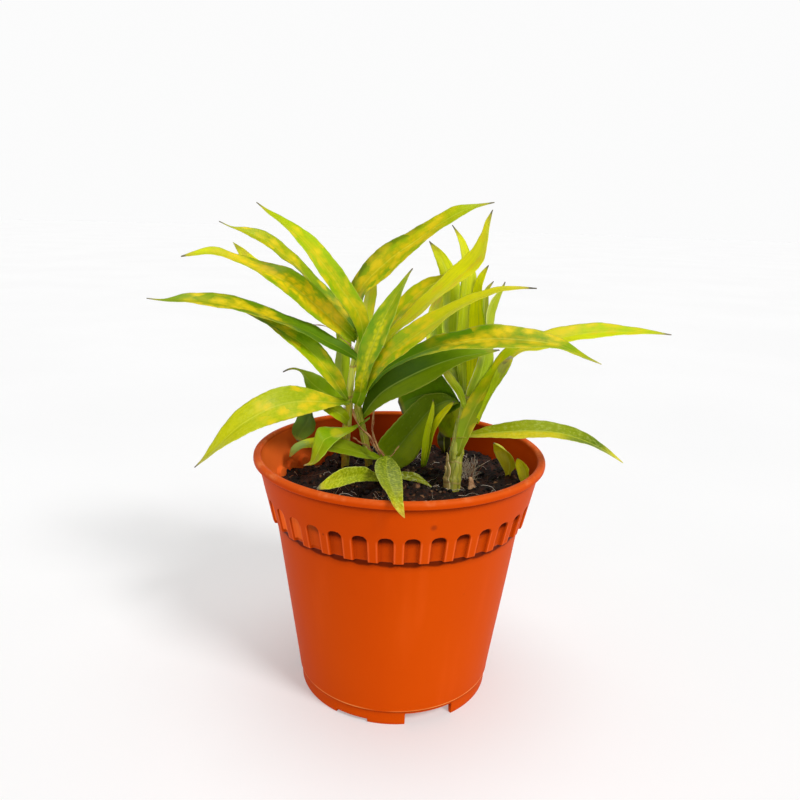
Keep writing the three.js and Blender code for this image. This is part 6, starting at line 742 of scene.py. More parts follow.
def make_pot(mat):
    local = np.array([-5.0, -4.5, -4.0, -3.7, -3.45, -3.2, -2.95, -2.7, -2.4, -2.0, -1.0, 0.0, 1.0, 2.0, 2.4, 2.7, 2.95, 3.2, 3.45, 3.7, 4.0, 4.5])
    az = np.concatenate([(FLUTE_PHASE + 10 * k + local) for k in range(36)]) % 360.0
    extra = []
    for k in range(3):
        for a in (7.5, 36.5, 86.0, 106.0):
            extra += [a - 0.12, a - 0.04, a + 0.04, a + 0.12]
    extra = (np.array([e + 120 * k for k in range(3) for e in extra[:16]])) % 360.0
    az = az[np.min(np.abs(az[:, None] - extra[None, :]), axis=1) > 0.10]
    az = np.unique(np.round(np.concatenate([az, extra]), 4))
    n = len(az)
    ar = np.radians(az)
    sx, cy = np.sin(ar), -np.cos(ar)
    ones = np.ones(n)
    h = foot_low(az)
    rows = []  # (r array, z array), from the floor's underside outward, over the rim, and down the inside

    def row(r, z):
        rows.append((np.broadcast_to(np.asarray(r, float), (n,)).copy(), np.broadcast_to(np.asarray(z, float), (n,)).copy()))

    def up(z, lo):
        """z on the foot ring, squeezed above its lower edge."""
        return np.maximum(z, lo)

    row(FOOT_INNER_R - 8.0, FLOOR_Z)
    row(FOOT_INNER_R - 0.5, FLOOR_Z)
    row(FOOT_INNER_R - 0.18, FLOOR_Z - 0.03)
    for zf in (4.4, 2.4):
        row(FOOT_INNER_R - 0.1, np.minimum(FLOOR_Z - 0.05, h + (FLOOR_Z - h) * zf / 6.2))
    row(FOOT_INNER_R, h + 0.30 * (FLOOR_Z - h) / 6.2)
    row(FOOT_INNER_R + 0.28, h)
    row(FOOT_R - 0.32, h)
    row(FOOT_R, h + 0.30 * (FLOOR_Z + 0.6 - h) / 6.2)
    for zf in (0.3, 0.65):
        row(FOOT_R + 0.05 + 0.2 * zf, h + (7.6 - h) * zf)
    row(FOOT_R + 0.28, 7.75)
    row(FOOT_R + 0.42, 8.00)
    row(BODY_LOW_R - 0.30, 8.04)
    row(BODY_LOW_R + 0.02, 8.22)
    row(BODY_LOW_R + 0.12, 8.62)
    row(body_r(9.3), 9.3)
    for z in (11, 14, 19, 26, 34, 43, 52, 61, 70, 78, 85, 90, 93.2):
        wob = 0.05 * np.sin(ar * 3 + z * 0.05) + 0.04 * np.sin(ar * 5 - z * 0.09)
        row(body_r(z) + wob, z)
    row(body_r(94.6), 94.6)
    row(BODY_TOP_R + 0.02, 95.12)
    fl = flute_inside(az, np.full(n, 96.0), BAND_R)
    rb = BAND_R - FLUTE_DEPTH * fl
    row(BODY_TOP_R + 0.16, 95.30)
    row(np.maximum(rb - 0.60, BODY_TOP_R + 0.20), 95.36)
    row(rb - 0.22, 95.43)
    row(rb - 0.04, 95.62)
    for z in (95.95, 96.6, 98.0, 100.0, 102.0, 103.8, 105.0, 105.8, 106.3, 106.7, 107.05, 107.35, 107.65, 107.9, 108.15, 108.4, 108.62, 108.84, 109.05, 109.25, 109.45, 109.7, 110.1):
        zz = np.full(n, z)
        r = band_r(z) - FLUTE_DEPTH * flute_inside(az, zz, band_r(z))
        row(r, zz)
    for z in (111.0, 113.0, 116.0, 119.0, 121.5, 123.2, 124.1):
        row(band_r(z) + 0.03 * np.sin(ar * 4 + z), z)
    row(band_r(124.6) + 0.05, 124.62)
    row(band_r(124.9) + 0.35, 124.86)
    row(RIM_OUTER_R - 0.95, 124.90)
    row(RIM_OUTER_R - 0.40, 124.95)
    row(RIM_OUTER_R - 0.08, 125.22)
    row(RIM_OUTER_R, 125.62)
    row(RIM_OUTER_R + 0.02, 126.40)
    row(RIM_OUTER_R - 0.06, 127.00)
    row(RIM_OUTER_R - 0.30, 127.55)
    row(RIM_OUTER_R - 0.72, 127.98)
    row(RIM_OUTER_R - 1.30, 128.22)
    row(RIM_OUTER_R - 2.00, 128.30)
    row(RIM_INNER_R + 1.20, 128.26)
    row(RIM_INNER_R + 0.62, 128.05)
    row(RIM_INNER_R + 0.22, 127.60)
    row(RIM_INNER_R + 0.02, 126.95)
    row(RIM_INNER_R + 0.05, 125.90)
    for z in (124.6, 122.5, 119.5, 116.5, 113.8, 112.0):
        row(band_r(z) - WALL, z)
    for z in (111.0, 110.5, 110.1, 109.75, 109.4, 109.05, 108.7, 108.3, 107.8, 107.2, 106.4, 105.0, 103.0, 101.0, 99.0, 97.6):
        zz = np.full(n, z)
        row(band_r(z) - WALL - FLUTE_DEPTH * flute_inside(az, zz - 0.4, band_r(z) - WALL, grow=0.55, soft=1.25), zz)
    fi = flute_inside(az, np.full(n, 98.0), band_r(97) - WALL, grow=0.55, soft=1.25)
    row(np.maximum(band_r(96.9) - WALL - FLUTE_DEPTH * fi - 0.15, BODY_TOP_R - WALL + 0.05), 97.05)
    row(BODY_TOP_R - WALL, 96.6)
    for z in (90, 70, 45, 20, 9.5):
        row(body_r(z) - WALL, z)
    row(body_r(8.2) - WALL - 0.5, FLOOR_Z + FLOOR_T)
    row(FOOT_INNER_R - 8.0, FLOOR_Z + FLOOR_T)
    V = []
    for r, z in rows:
        V.append(np.stack([r * sx, r * cy, z], 1))
    V = np.concatenate(V)
    F = grid_faces(len(rows), n, close=True)
    # floor inside r 40.6, with six round drain holes: one flat triangulation used for the underside and, turned over, for the top
    r0 = FOOT_INNER_R - 8.0
    ring = np.stack([r0 * sx, r0 * cy], 1)
    pts = [Vector(p) for p in ring]
    edges = [(i, (i + 1) % n) for i in range(n)]
    holes = []
    m = 28
    for k in range(6):
        a = k * 2 * math.pi / 6 + 0.3
        c = (31.0 * math.cos(a), 31.0 * math.sin(a))
        start = len(pts)
        for j in range(m):
            t = 2 * math.pi * j / m
            pts.append(Vector((c[0] + 5.0 * math.cos(t), c[1] + 5.0 * math.sin(t))))
        edges += [(start + j, start + (j + 1) % m) for j in range(m)]
        holes.append((start, c))
    for rr, cnt in ((14.0, 24), (0.0, 1)):
        for j in range(cnt):
            pts.append(Vector((rr * math.cos(2 * math.pi * j / cnt), rr * math.sin(2 * math.pi * j / cnt))))
    res = delaunay_2d_cdt(pts, edges, [], 1, 1e-7)
    pv, pf, orig = res[0], res[2], res[3]
    src = [o[0] for o in orig]
    keep = []
    for f in pf:
        cx = sum(pv[i][0] for i in f) / 3
        cy_ = sum(pv[i][1] for i in f) / 3
        if any((cx - c[0]) ** 2 + (cy_ - c[1]) ** 2 < 4.98**2 for _, c in holes):
            continue
        keep.append([src[i] for i in f])
    base_low, base_top = len(V), None
    inner = np.array([[p[0], p[1], FLOOR_Z] for p in pts[n:]])
    inner_top = inner.copy()
    inner_top[:, 2] = FLOOR_Z + FLOOR_T
    V = np.concatenate([V, inner, inner_top])
    base_top = base_low + len(inner)
    last = (len(rows) - 1) * n

    def low(i):
        return i if i < n else base_low + i - n

    def top(i):
        return last + i if i < n else base_top + i - n

    def area(f):
        a, b, c = (pts[i] for i in f)
        return (b[0] - a[0]) * (c[1] - a[1]) - (b[1] - a[1]) * (c[0] - a[0])

    for f in keep:
        if area(f) < 0:
            f = f[::-1]
        F.append(tuple(low(i) for i in f[::-1]))
        F.append(tuple(top(i) for i in f))
    for start, _ in holes:
        for j in range(m):
            a, b = start + j, start + (j + 1) % m
            F.append((low(a), low(b), top(b), top(a)))
    ob = make_object("nursery_pot", V, F, [mat])
    return ob, az


# ---------------------------------------------------------------------------------------------------------------------
# potting mix
# ---------------------------------------------------------------------------------------------------------------------
def soil_top(x, y):
    x = np.asarray(x, float)
    y = np.asarray(y, float)
    return (
        108.8 + 0.045 * x - 4.6 * np.exp(-((x + 50) ** 2 + (y - 42) ** 2) / 338) + 0.9 * np.sin(x * 0.21 + 1.3) * np.cos(y * 0.17 - 0.4) + 0.5 * np.sin(x * 0.5 - y * 0.43)
    )


def soil_surface(x, y):
    """The finished surface: the level with clods and crumbs on it."""
    x = np.asarray(x, float).ravel()
    y = np.asarray(y, float).ravel()
    r = np.hypot(x, y)
    p = np.stack([x, y, np.zeros_like(x)], 1)
    z = soil_top(x, y)
    z = z + 1.3 * fbm(p * 0.085, 3, 5) + 0.9 * np.abs(fbm(p * 0.23, 3, 11)) + 0.55 * fbm(p * 0.62, 3, 23)
    z = z - 1.1 * smooth(62, 68.5, r) * (0.6 + 0.6 * noise3(p * 0.2, 3))
    return z


def in_wall(z):
    return np.where(z > LEDGE_Z + 0.5, band_r(z) - WALL, body_r(z) - WALL)


def make_soil(mat, crumb_mat, az):
    n = 420
    a = np.linspace(0, 2 * np.pi, n, endpoint=False)
    sx, cy = np.sin(a), -np.cos(a)
    deg = np.degrees(a)
    V, rows = [], 0
    # top: rings from the middle out to the wall
    R = np.concatenate([np.linspace(1.2, 62, 66), np.linspace(62.8, 67.6, 8)])
    edge_gap = 0.25
    for r in R:
        # follow the flutes' inner bumps near the wall
        z = soil_surface(r * sx, r * cy)
        lim = band_r(z) - WALL - FLUTE_DEPTH * flute_inside(deg, z - 0.4, band_r(z) - WALL, grow=0.55, soft=1.25) - edge_gap
        rr = np.minimum(r, lim)
        V.append(np.stack([rr * sx, rr * cy, z], 1))
        rows += 1
    zt = V[-1][:, 2]
    for f in (0.35, 0.7):
        z = zt + (98.2 - zt) * f
        lim = band_r(z) - WALL - FLUTE_DEPTH * flute_inside(deg, z - 0.4, band_r(z) - WALL, grow=0.55, soft=1.25) - edge_gap
        V.append(np.stack([lim * sx, lim * cy, z], 1))
        rows += 1
    z = np.full(n, 97.3)
    lim = BODY_TOP_R - WALL + 0.1
    V.append(np.stack([lim * sx, lim * cy, z], 1))
    for zz in (95.0, 60.0, 25.0, 9.6):
        lim = body_r(zz) - WALL - 0.35
        V.append(np.stack([lim * sx, lim * cy, np.full(n, zz)], 1))
    lim = body_r(8.5) - WALL - 1.2
    V.append(np.stack([lim * sx, lim * cy, np.full(n, 8.5)], 1))
    rows += 6
    V = np.concatenate(V)
    F = grid_faces(rows, n, close=True, flip=True)
    c0 = len(V)
    V = np.concatenate([V, [[0, 0, float(soil_surface([0.0], [0.0])[0])], [0, 0, 8.5]]])
    last = (rows - 1) * n
    for j in range(n):
        F.append((c0, j, (j + 1) % n))
        F.append((c0 + 1, last + (j + 1) % n, last + j))
    nf = len(F)
    # crumbs: small broken lumps, half sunk in the surface
    rng = np.random.default_rng(7)
    ico_v, ico_f = icosphere()
    base = len(V)
    want = 1550
    rr = 67.0 * np.sqrt(rng.random(want))
    t = rng.random(want) * 2 * np.pi
    size = 0.40 + 1.25 * rng.random(want) ** 2.8
    size = np.where(rng.random(want) < 0.035, size * 1.9, size)
    squash = np.stack([np.ones(want), 0.6 + 0.6 * rng.random(want), 0.45 + 0.5 * rng.random(want)], 1)
    turn, tip, sink = rng.random(want) * 6.28, rng.random(want) * 1.2 - 0.6, 0.05 + 0.25 * rng.random(want)
    ok = rr + size < 66.6
    rr, t, size, squash, turn, tip, sink = (q[ok] for q in (rr, t, size, squash, turn, tip, sink))
    cnt, m = len(rr), len(ico_v)
    x, y = rr * np.cos(t), rr * np.sin(t)
    z = soil_surface(x, y)
    v = np.broadcast_to(ico_v, (cnt, m, 3))
    where = (v * 1.7 + 13.1 * np.arange(cnt)[:, None, None]).reshape(-1, 3)
    v = v * (1 + 0.4 * noise3(where, 9).reshape(cnt, m)[:, :, None]) * squash[:, None, :] * size[:, None, None]
    ct, st, cp, sp = np.cos(turn)[:, None], np.sin(turn)[:, None], np.cos(tip)[:, None], np.sin(tip)[:, None]
    vy, vz = v[:, :, 1] * cp - v[:, :, 2] * sp, v[:, :, 1] * sp + v[:, :, 2] * cp
    v = np.stack([v[:, :, 0] * ct - vy * st, v[:, :, 0] * st + vy * ct, vz], 2)
    v = v + np.stack([x, y, z + size * sink], 1)[:, None, :]
    CV = [v.reshape(-1, 3)]
    CF = (np.asarray(ico_f)[None] + (base + m * np.arange(cnt))[:, None, None]).reshape(-1, 3).tolist()
    V = np.concatenate([V] + CV)
    F = F + CF
    fm = np.zeros(len(F), int)
    fm[nf:] = 1
    return make_object("potting_mix_top", V, F, [mat, crumb_mat], fm)


def icosphere():
    t = (1 + 5**0.5) / 2
    v = np.array([(-1, t, 0), (1, t, 0), (-1, -t, 0), (1, -t, 0), (0, -1, t), (0, 1, t), (0, -1, -t), (0, 1, -t), (t, 0, -1), (t, 0, 1), (-t, 0, -1), (-t, 0, 1)], float)
    v /= np.linalg.norm(v[0])
    f = [(0, 11, 5), (0, 5, 1), (0, 1, 7), (0, 7, 10), (0, 10, 11), (1, 5, 9), (5, 11, 4), (11, 10, 2), (10, 7, 6), (7, 1, 8), (3, 9, 4), (3, 4, 2), (3, 2, 6), (3, 6, 8), (3, 8, 9), (4, 9, 5), (2, 4, 11), (6, 2, 10), (8, 6, 7), (9, 8, 1)]
    V = [tuple(x) for x in v]
    out, mid = [], {}

    def m(a, b):
        key = (min(a, b), max(a, b))
        if key not in mid:
            p = (np.array(V[a]) + np.array(V[b])) / 2
            V.append(tuple(p / np.linalg.norm(p)))
            mid[key] = len(V) - 1
        return mid[key]

    for a, b, c in f:
        x, y, z = m(a, b), m(b, c), m(c, a)
        out += [(a, x, z), (b, y, x), (c, z, y), (x, y, z)]
    return np.array(V), out


def tube(path, radius, sides=6, base=0, uv_v=None, flat=1.0):
    """A closed tube mesh along path (n, 3) with radius (n,) and rounded ends."""
    c = np.asarray(path, float)
    r = np.broadcast_to(np.asarray(radius, float), (len(c),))
    t, A, B = frames(c)
    ang = np.linspace(0, 2 * np.pi, sides, endpoint=False)
    V = []
    for k in range(len(c)):
        V.append(c[k] + r[k] * (np.cos(ang)[:, None] * A[k] + flat * np.sin(ang)[:, None] * B[k]))
    V = np.concatenate(V)
    F = grid_faces(len(c), sides, close=True, base=base)
    n = len(V)
    V = np.concatenate([V, [c[0] - t[0] * r[0] * 0.6, c[-1] + t[-1] * r[-1] * 0.6]])
    last = (len(c) - 1) * sides
    for j in range(sides):
        F.append((base + n, base + (j + 1) % sides, base + j))
        F.append((base + n + 1, base + last + j, base + last + (j + 1) % sides))
    length = np.concatenate([[0], np.cumsum(np.linalg.norm(np.diff(c, axis=0), axis=1))])
    vv = np.repeat(length / length[-1], sides)
    uu = np.tile(np.arange(sides) / sides, len(c))
    UV = np.stack([np.concatenate([uu, [0.5, 0.5]]), np.concatenate([vv, [0, 1]])], 1)
    return V, F, UV


def make_roots(mats):
    """Fine pale roots and fibres that lie on the mix, with a tuft behind the right stem."""
    rng = np.random.default_rng(21)
    V, F, U, M = [], [], [], []
    base = 0

    def add(path, r, sides=5, mat=0):
        nonlocal base
        v, f, uv = tube(path, r, sides, base)
        V.append(v)
        F.extend(f)
        U.append(uv)
        M.extend([mat] * len(f))
        base += len(v)

    def strand(x, y, length, r, curl, lift=0.5, arch=0.0, mat=0, heading=None):
        n = max(8, int(length / 1.6))
        a = rng.random() * 6.28 if heading is None else heading
        bend = (rng.random() - 0.5) * curl
        pts = []
        px, py = x, y
        for i in range(n):
            pts.append((px, py))
            step = length / n
            a += bend / n + (rng.random() - 0.5) * 0.5
            px += step * math.cos(a)
            py += step * math.sin(a)
            rr = math.hypot(px, py)
            if rr > 64.5:
                px *= 64.5 / rr
                py *= 64.5 / rr
                a += 0.8
        p = np.array(pts)
        z = soil_surface(p[:, 0], p[:, 1])
        t = np.linspace(0, 1, n)
        z = z + lift * (0.4 + 0.6 * np.sin(t * 9 + rng.random() * 6)) + arch * np.sin(np.pi * t)
        path = catmull(np.column_stack([p, z]), n * 2)
        add(path, np.linspace(r, r * 0.45, len(path)), 5, mat)

    for _ in range(150):
        rr = 64 * math.sqrt(rng.random())
        t = rng.random() * 6.28
        strand(rr * math.cos(t), rr * math.sin(t), 5 + 12 * rng.random(), 0.06 + 0.09 * rng.random() ** 2, 4.0, 0.45, 2.2 * rng.random() ** 2, int(rng.random() < 0.45))
    for _ in range(46):  # the front of the mix, where the photo shows most
        t = -math.pi / 2 + (rng.random() - 0.5) * 2.0
        rr = 30 + 32 * rng.random()
        strand(rr * math.cos(t), rr * math.sin(t), 6 + 14 * rng.random(), 0.06 + 0.08 * rng.random(), 5.0, 0.5, 2.6 * rng.random(), int(rng.random() < 0.3))
    # tuft behind and to the right of the right stem
    for _ in range(170):
        a = rng.random() * 6.28
        x0, y0 = 31 + 9.5 * rng.random(), 2 + 12 * rng.random()
        h = 3 + 11 * rng.random() ** 1.5
        lean = rng.normal(0, 3.4, 2)
        t = np.linspace(0, 1, 9)[:, None]
        z0 = float(soil_surface([x0], [y0])[0])
        p = np.array([x0, y0, z0 - 0.6]) + t * np.array([lean[0], lean[1], h])
        p[:, :2] += (np.sin(t * 3.0 + a) * 1.3 * t) * np.array([math.cos(a), math.sin(a)])
        p[:, 2] -= (t[:, 0] ** 3) * h * 0.35 * rng.random()
        add(catmull(p, 18), np.linspace(0.13, 0.07, 18), 4, 0 if rng.random() < 0.75 else 2)
    ob = make_object("fine_roots", np.concatenate(V), F, mats, M, {"UVMap": np.concatenate(U)})
    return ob


def make_chip(mat):
    """A tan bark chip that stands up out of the mix at the front right."""
    n, m = 14, 10
    V, F = [], []
    t = np.linspace(0, 1, n)
    cx = (np.array([36.65, -12.64, 108.5]), np.array([36.32, -11.64, 117.76]))
    for side in (1, -1):
        for i in range(n):
            w = 1.9 * math.sin(math.pi * (0.08 + 0.86 * t[i])) ** 0.7 * (1 + 0.2 * math.sin(7 * t[i]))
            c = cx[0] + (cx[1] - cx[0]) * t[i] + np.array([0.9 * math.sin(3.1 * t[i]), 0, 0])
            for j in range(m):
                s = -1 + 2 * j / (m - 1)
                th = 0.5 * (1 - s * s) ** 0.5 + 0.02
                V.append(c + np.array([s * w, 0.25 * s * w + side * th, 0.12 * math.sin(9 * s + 5 * t[i])]))
    V = np.array(V)
    V += 0.12 * np.stack([noise3(V * 1.1, 3), noise3(V * 1.1, 4), noise3(V * 1.1, 5)], 1)
    F += grid_faces(n, m, base=0, flip=False)
    F += grid_faces(n, m, base=n * m, flip=True)
    for i in range(n - 1):
        for j in (0, m - 1):
            a, b = i * m + j, (i + 1) * m + j
            F.append((a, b, b + n * m, a + n * m) if j == 0 else (b, a, a + n * m, b + n * m))
    for j in range(m - 1):
        for i in (0, n - 1):
            a, b = i * m + j, i * m + j + 1
            F.append((b, a, a + n * m, b + n * m) if i == 0 else (a, b, b + n * m, a + n * m))
    ob = make_object("bark_chip", V, [f[::-1] for f in F], [mat])
    return ob


# ---------------------------------------------------------------------------------------------------------------------
# stems, sheaths and dry strands
# ---------------------------------------------------------------------------------------------------------------------
def make_stem(name, s, mats, nodes=5, swell=0.16, sides=18, extra=7.0, sheaths=()):
    """A round stem with ringed joints. sheaths are old leaf bases wrapped on it: (angle, from, to, half width, lift, material)."""
    P = np.array(s["P"], float)
    d = P[0] - P[1]
    d /= np.linalg.norm(d)
    P = np.vstack([P[0] + d * extra, P])
    c = catmull(P, 90)
    t = np.linspace(0, 1, len(c))
    r = s["r"][0] + (s["r"][1] - s["r"][0]) * t
    ring = (t * nodes + 0.2) % 1.0
    r = r * (1 + swell * np.exp(-((ring - 0.08) / 0.035) ** 2) + 0.03 * np.sin(t * 41))
    v, f, uv = tube(c, r, sides)
    # slightly out of round, with shallow ridges
    tt, A, B = frames(c)
    k = np.minimum(np.arange(len(v)) // sides, len(c) - 1)
    rel = v - c[k]
    ang = np.arctan2(np.einsum("ij,ij->i", rel, B[k]), np.einsum("ij,ij->i", rel, A[k]))
    v = c[k] + rel * (1 + 0.05 * np.cos(3 * ang + 2 * t[k]) + 0.025 * np.cos(7 * ang + 9 * t[k]))[:, None]
    V, F, U, M = [v], list(f), [uv], [0] * len(f)
    for n_s, (a0, t0, t1, hw, lift, mat, flare) in enumerate(sheaths):
        m = 34
        q = np.linspace(0, 1, m)
        idx = (t0 + (t1 - t0) * q) * (len(c) - 1)
        i0 = np.minimum(idx.astype(int), len(c) - 2)
        fr = (idx - i0)[:, None]
        cc = c[i0] * (1 - fr) + c[i0 + 1] * fr
        AA = A[i0] * (1 - fr) + A[i0 + 1] * fr
        BB = B[i0] * (1 - fr) + B[i0 + 1] * fr
        rad = r[i0] * (1 - fr[:, 0]) + r[i0 + 1] * fr[:, 0]
        a = a0 + 0.5 * q * math.sin(3.1 * n_s + 1) + 0.08 * np.sin(q * 17 + n_s)
        out = np.cos(a)[:, None] * AA + np.sin(a)[:, None] * BB
        path = cc + out * (rad + lift + flare * q**3)[:, None]
        th = tangents(path)
        half = hw * (1 - 0.25 * q) * (1 - q**7) ** 0.8 * (1 + 0.10 * np.sin(q * 21 + 2 * n_s)) + 0.12
        sv, sf, su = blade_strip(path, half, np.cross(out, th), 0.28, 9, 0.95)
        off = sum(len(x) for x in V)
        V.append(sv)
        F.extend([tuple(i + off for i in face) for face in sf])
        U.append(np.stack([su[:, 0], t0 + (t1 - t0) * su[:, 1]], 1))
        M.extend([mat] * len(sf))
    return make_object(name, np.concatenate(V), F, mats, M, {"UVMap": np.concatenate(U)})


def make_strands(name, paths, mat, sides=8):
    V, F, U, base = [], [], [], 0
    for path, rad, flat in paths:
        v, f, uv = tube(path, rad, sides, base, flat=flat)
        V.append(v)
        F.extend(f)
        U.append(uv)
        base += len(v)
    return make_object(name, np.concatenate(V), F, [mat], None, {"UVMap": np.concatenate(U)})


def blade_strip(c, half, width_dir, thick=0.35, n_across=7, curl=0.0):
    """A closed narrow strip along c with half width half (array), bent round its length by curl (radians at the edge)."""
    t = tangents(c)
    w = width_dir - t * np.einsum("ij,ij->i", width_dir, t)[:, None]
    w /= np.maximum(np.linalg.norm(w, axis=1), 1e-9)[:, None]
    nrm = np.cross(t, w)
    V = []
    s = np.linspace(-1, 1, n_across)
    for side in (1, -1):
        for i in range(len(c)):
            for q in s:
                a = q * curl
                if curl:
                    x = half[i] * math.sin(a) / curl
                    y = -half[i] * (1 - math.cos(a)) / curl
                else:
                    x, y = half[i] * q, 0.0
                th = 0.5 * thick * (0.25 + 0.75 * (1 - q * q) ** 0.5)
                V.append(c[i] + w[i] * x + nrm[i] * (y + side * th))
    m, n = len(c), n_across
    F = grid_faces(m, n, base=0, flip=True) + grid_faces(m, n, base=m * n)
    for i in range(m - 1):
        a, b = i * n, (i + 1) * n
        F.append((a, b, b + m * n, a + m * n)[::-1])
        a, b = i * n + n - 1, (i + 1) * n + n - 1
        F.append((a, b, b + m * n, a + m * n))
    for j in range(n - 1):
        a, b = j, j + 1
        F.append((a, b, b + m * n, a + m * n))
        a, b = (m - 1) * n + j, (m - 1) * n + j + 1
        F.append((a, b, b + m * n, a + m * n)[::-1])
    uv = np.array([((q + 1) / 2, i / (m - 1)) for _ in (0, 1) for i in range(m) for q in s])
    return np.array(V), F, uv


# ---------------------------------------------------------------------------------------------------------------------
# leaves
# ---------------------------------------------------------------------------------------------------------------------
def leaf_mesh(L, n_along=64, n_across=15):
    rows = np.asarray(L["rows"], float)
    d = rows[0, :3] - rows[1, :3]
    first = rows[0].copy()
    first[:3] += d / np.linalg.norm(d) * L.get("reach", 2.4)
    first[3:] *= 0.8
    S = catmull(rows, n_along)
    S = np.vstack([first, S])
    n_along += 1
    c, h = S[:, :3], S[:, 3:]
    t = tangents(c)
    half = np.maximum(np.linalg.norm(h, axis=1) * L.get("wide", 1.0), 0.22)
    hd = h / np.maximum(np.linalg.norm(h, axis=1), 1e-9)[:, None]
    nrm = np.cross(t, hd)
    nrm /= np.maximum(np.linalg.norm(nrm, axis=1), 1e-9)[:, None]
    length = np.concatenate([[0], np.cumsum(np.linalg.norm(np.diff(c, axis=0), axis=1))])
    T = length / length[-1]
    fold = L.get("fold", 0.12)
    rng = np.random.default_rng(L["seed"])
    ph = rng.random(6) * 6.28
    k = np.linspace(-1, 1, n_across)
    s = np.sign(k) * np.abs(k) ** 0.85
    ripple = L.get("ripple", 0.22)
    V = np.zeros((2, n_along, n_across, 3))
    for j, q in enumerate(s):
        keel = fold * half * (2 * abs(q) ** 1.25 - 1)
        wave = ripple * np.minimum(half / 6, 1) * q * q * (np.sin(length * 0.27 + ph[0] + (1.7 if q > 0 else 0)) + 0.5 * np.sin(length * 0.61 + ph[1] + (0.9 if q > 0 else 0)))
        groove = -0.22 * np.minimum(half / 5, 1) * math.exp(-((q / 0.09) ** 2))
        edge = 0.10 * np.sin(length * 1.3 + ph[2]) * abs(q) ** 6 * np.minimum(half / 5, 1)
        lift = keel + wave + groove
        pos = c + hd * ((half + edge) * q)[:, None]
        th = 0.5 * (0.16 + 0.30 * (1 - q * q) ** 0.6 + 0.22 * math.exp(-((q / 0.12) ** 2))) * np.clip(half / 2.2, 0.55, 1.0)
        V[0, :, j] = pos + nrm * (lift + th)[:, None]
        V[1, :, j] = pos + nrm * (lift - th - 0.18 * math.exp(-((q / 0.12) ** 2)) * np.minimum(half / 5, 1))[:, None]
    m, n = n_along, n_across
    V = V.reshape(-1, 3)
    F = grid_faces(m, n, base=0, flip=True)
    nt = len(F)
    F += grid_faces(m, n, base=m * n)
    for i in range(m - 1):
        a, b = i * n, (i + 1) * n
        F.append((a, b, b + m * n, a + m * n)[::-1])
        a, b = i * n + n - 1, (i + 1) * n + n - 1
        F.append((a, b, b + m * n, a + m * n))
    for j in range(n - 1):
        a, b = j, j + 1
        F.append((a, b, b + m * n, a + m * n))
        a, b = (m - 1) * n + j, (m - 1) * n + j + 1
        F.append((a, b, b + m * n, a + m * n)[::-1])
    fm = np.zeros(len(F), int)
    fm[nt : 2 * nt] = 1
    uu = np.tile((s + 1) / 2, m)
    vv = np.repeat(T, n)
    UV = np.stack([uu, vv], 1)
    mmx = (half[:, None] * s[None, :]).ravel() / 10
    mmy = np.repeat(length, n) / 10
    MMv = np.stack([mmx, mmy], 1)
    UV2 = np.concatenate([UV, UV])
    MM2 = np.concatenate([MMv, MMv])
    return V, F, fm, UV2, MM2


def make_leaf(key, L, look):
    top, und = leaf_material(f"leaf_{key}", look)
    V, F, fm, uv, mm = leaf_mesh(L)
    return make_object(L["piece"], V, F, [top, und], fm, {"UVMap": uv, "UVmm": mm})


# ---------------------------------------------------------------------------------------------------------------------
# put it together
# ---------------------------------------------------------------------------------------------------------------------
def place(ob, slot, *nodes):
    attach(ob, "root")
    if nodes:
        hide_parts(*nodes)
    return ob


pot_ob, pot_az = make_pot(pot_material())
place(pot_ob, "pot", "pot")

soil_ob = make_soil(soil_material(), crumb_material(), pot_az)
place(soil_ob, "potting_mix", "potting_mix")

root_mats = [
    fibre_material("root_pale", lin(250, 244, 230), lin(226, 208, 180)),
    fibre_material("root_brown", lin(120, 84, 56), lin(88, 56, 38)),
    fibre_material("root_reddish", lin(190, 120, 84), lin(150, 84, 58)),
]
place(make_roots(root_mats), "dry_leaf")
place(make_chip(bark_material()), "dry_leaf")

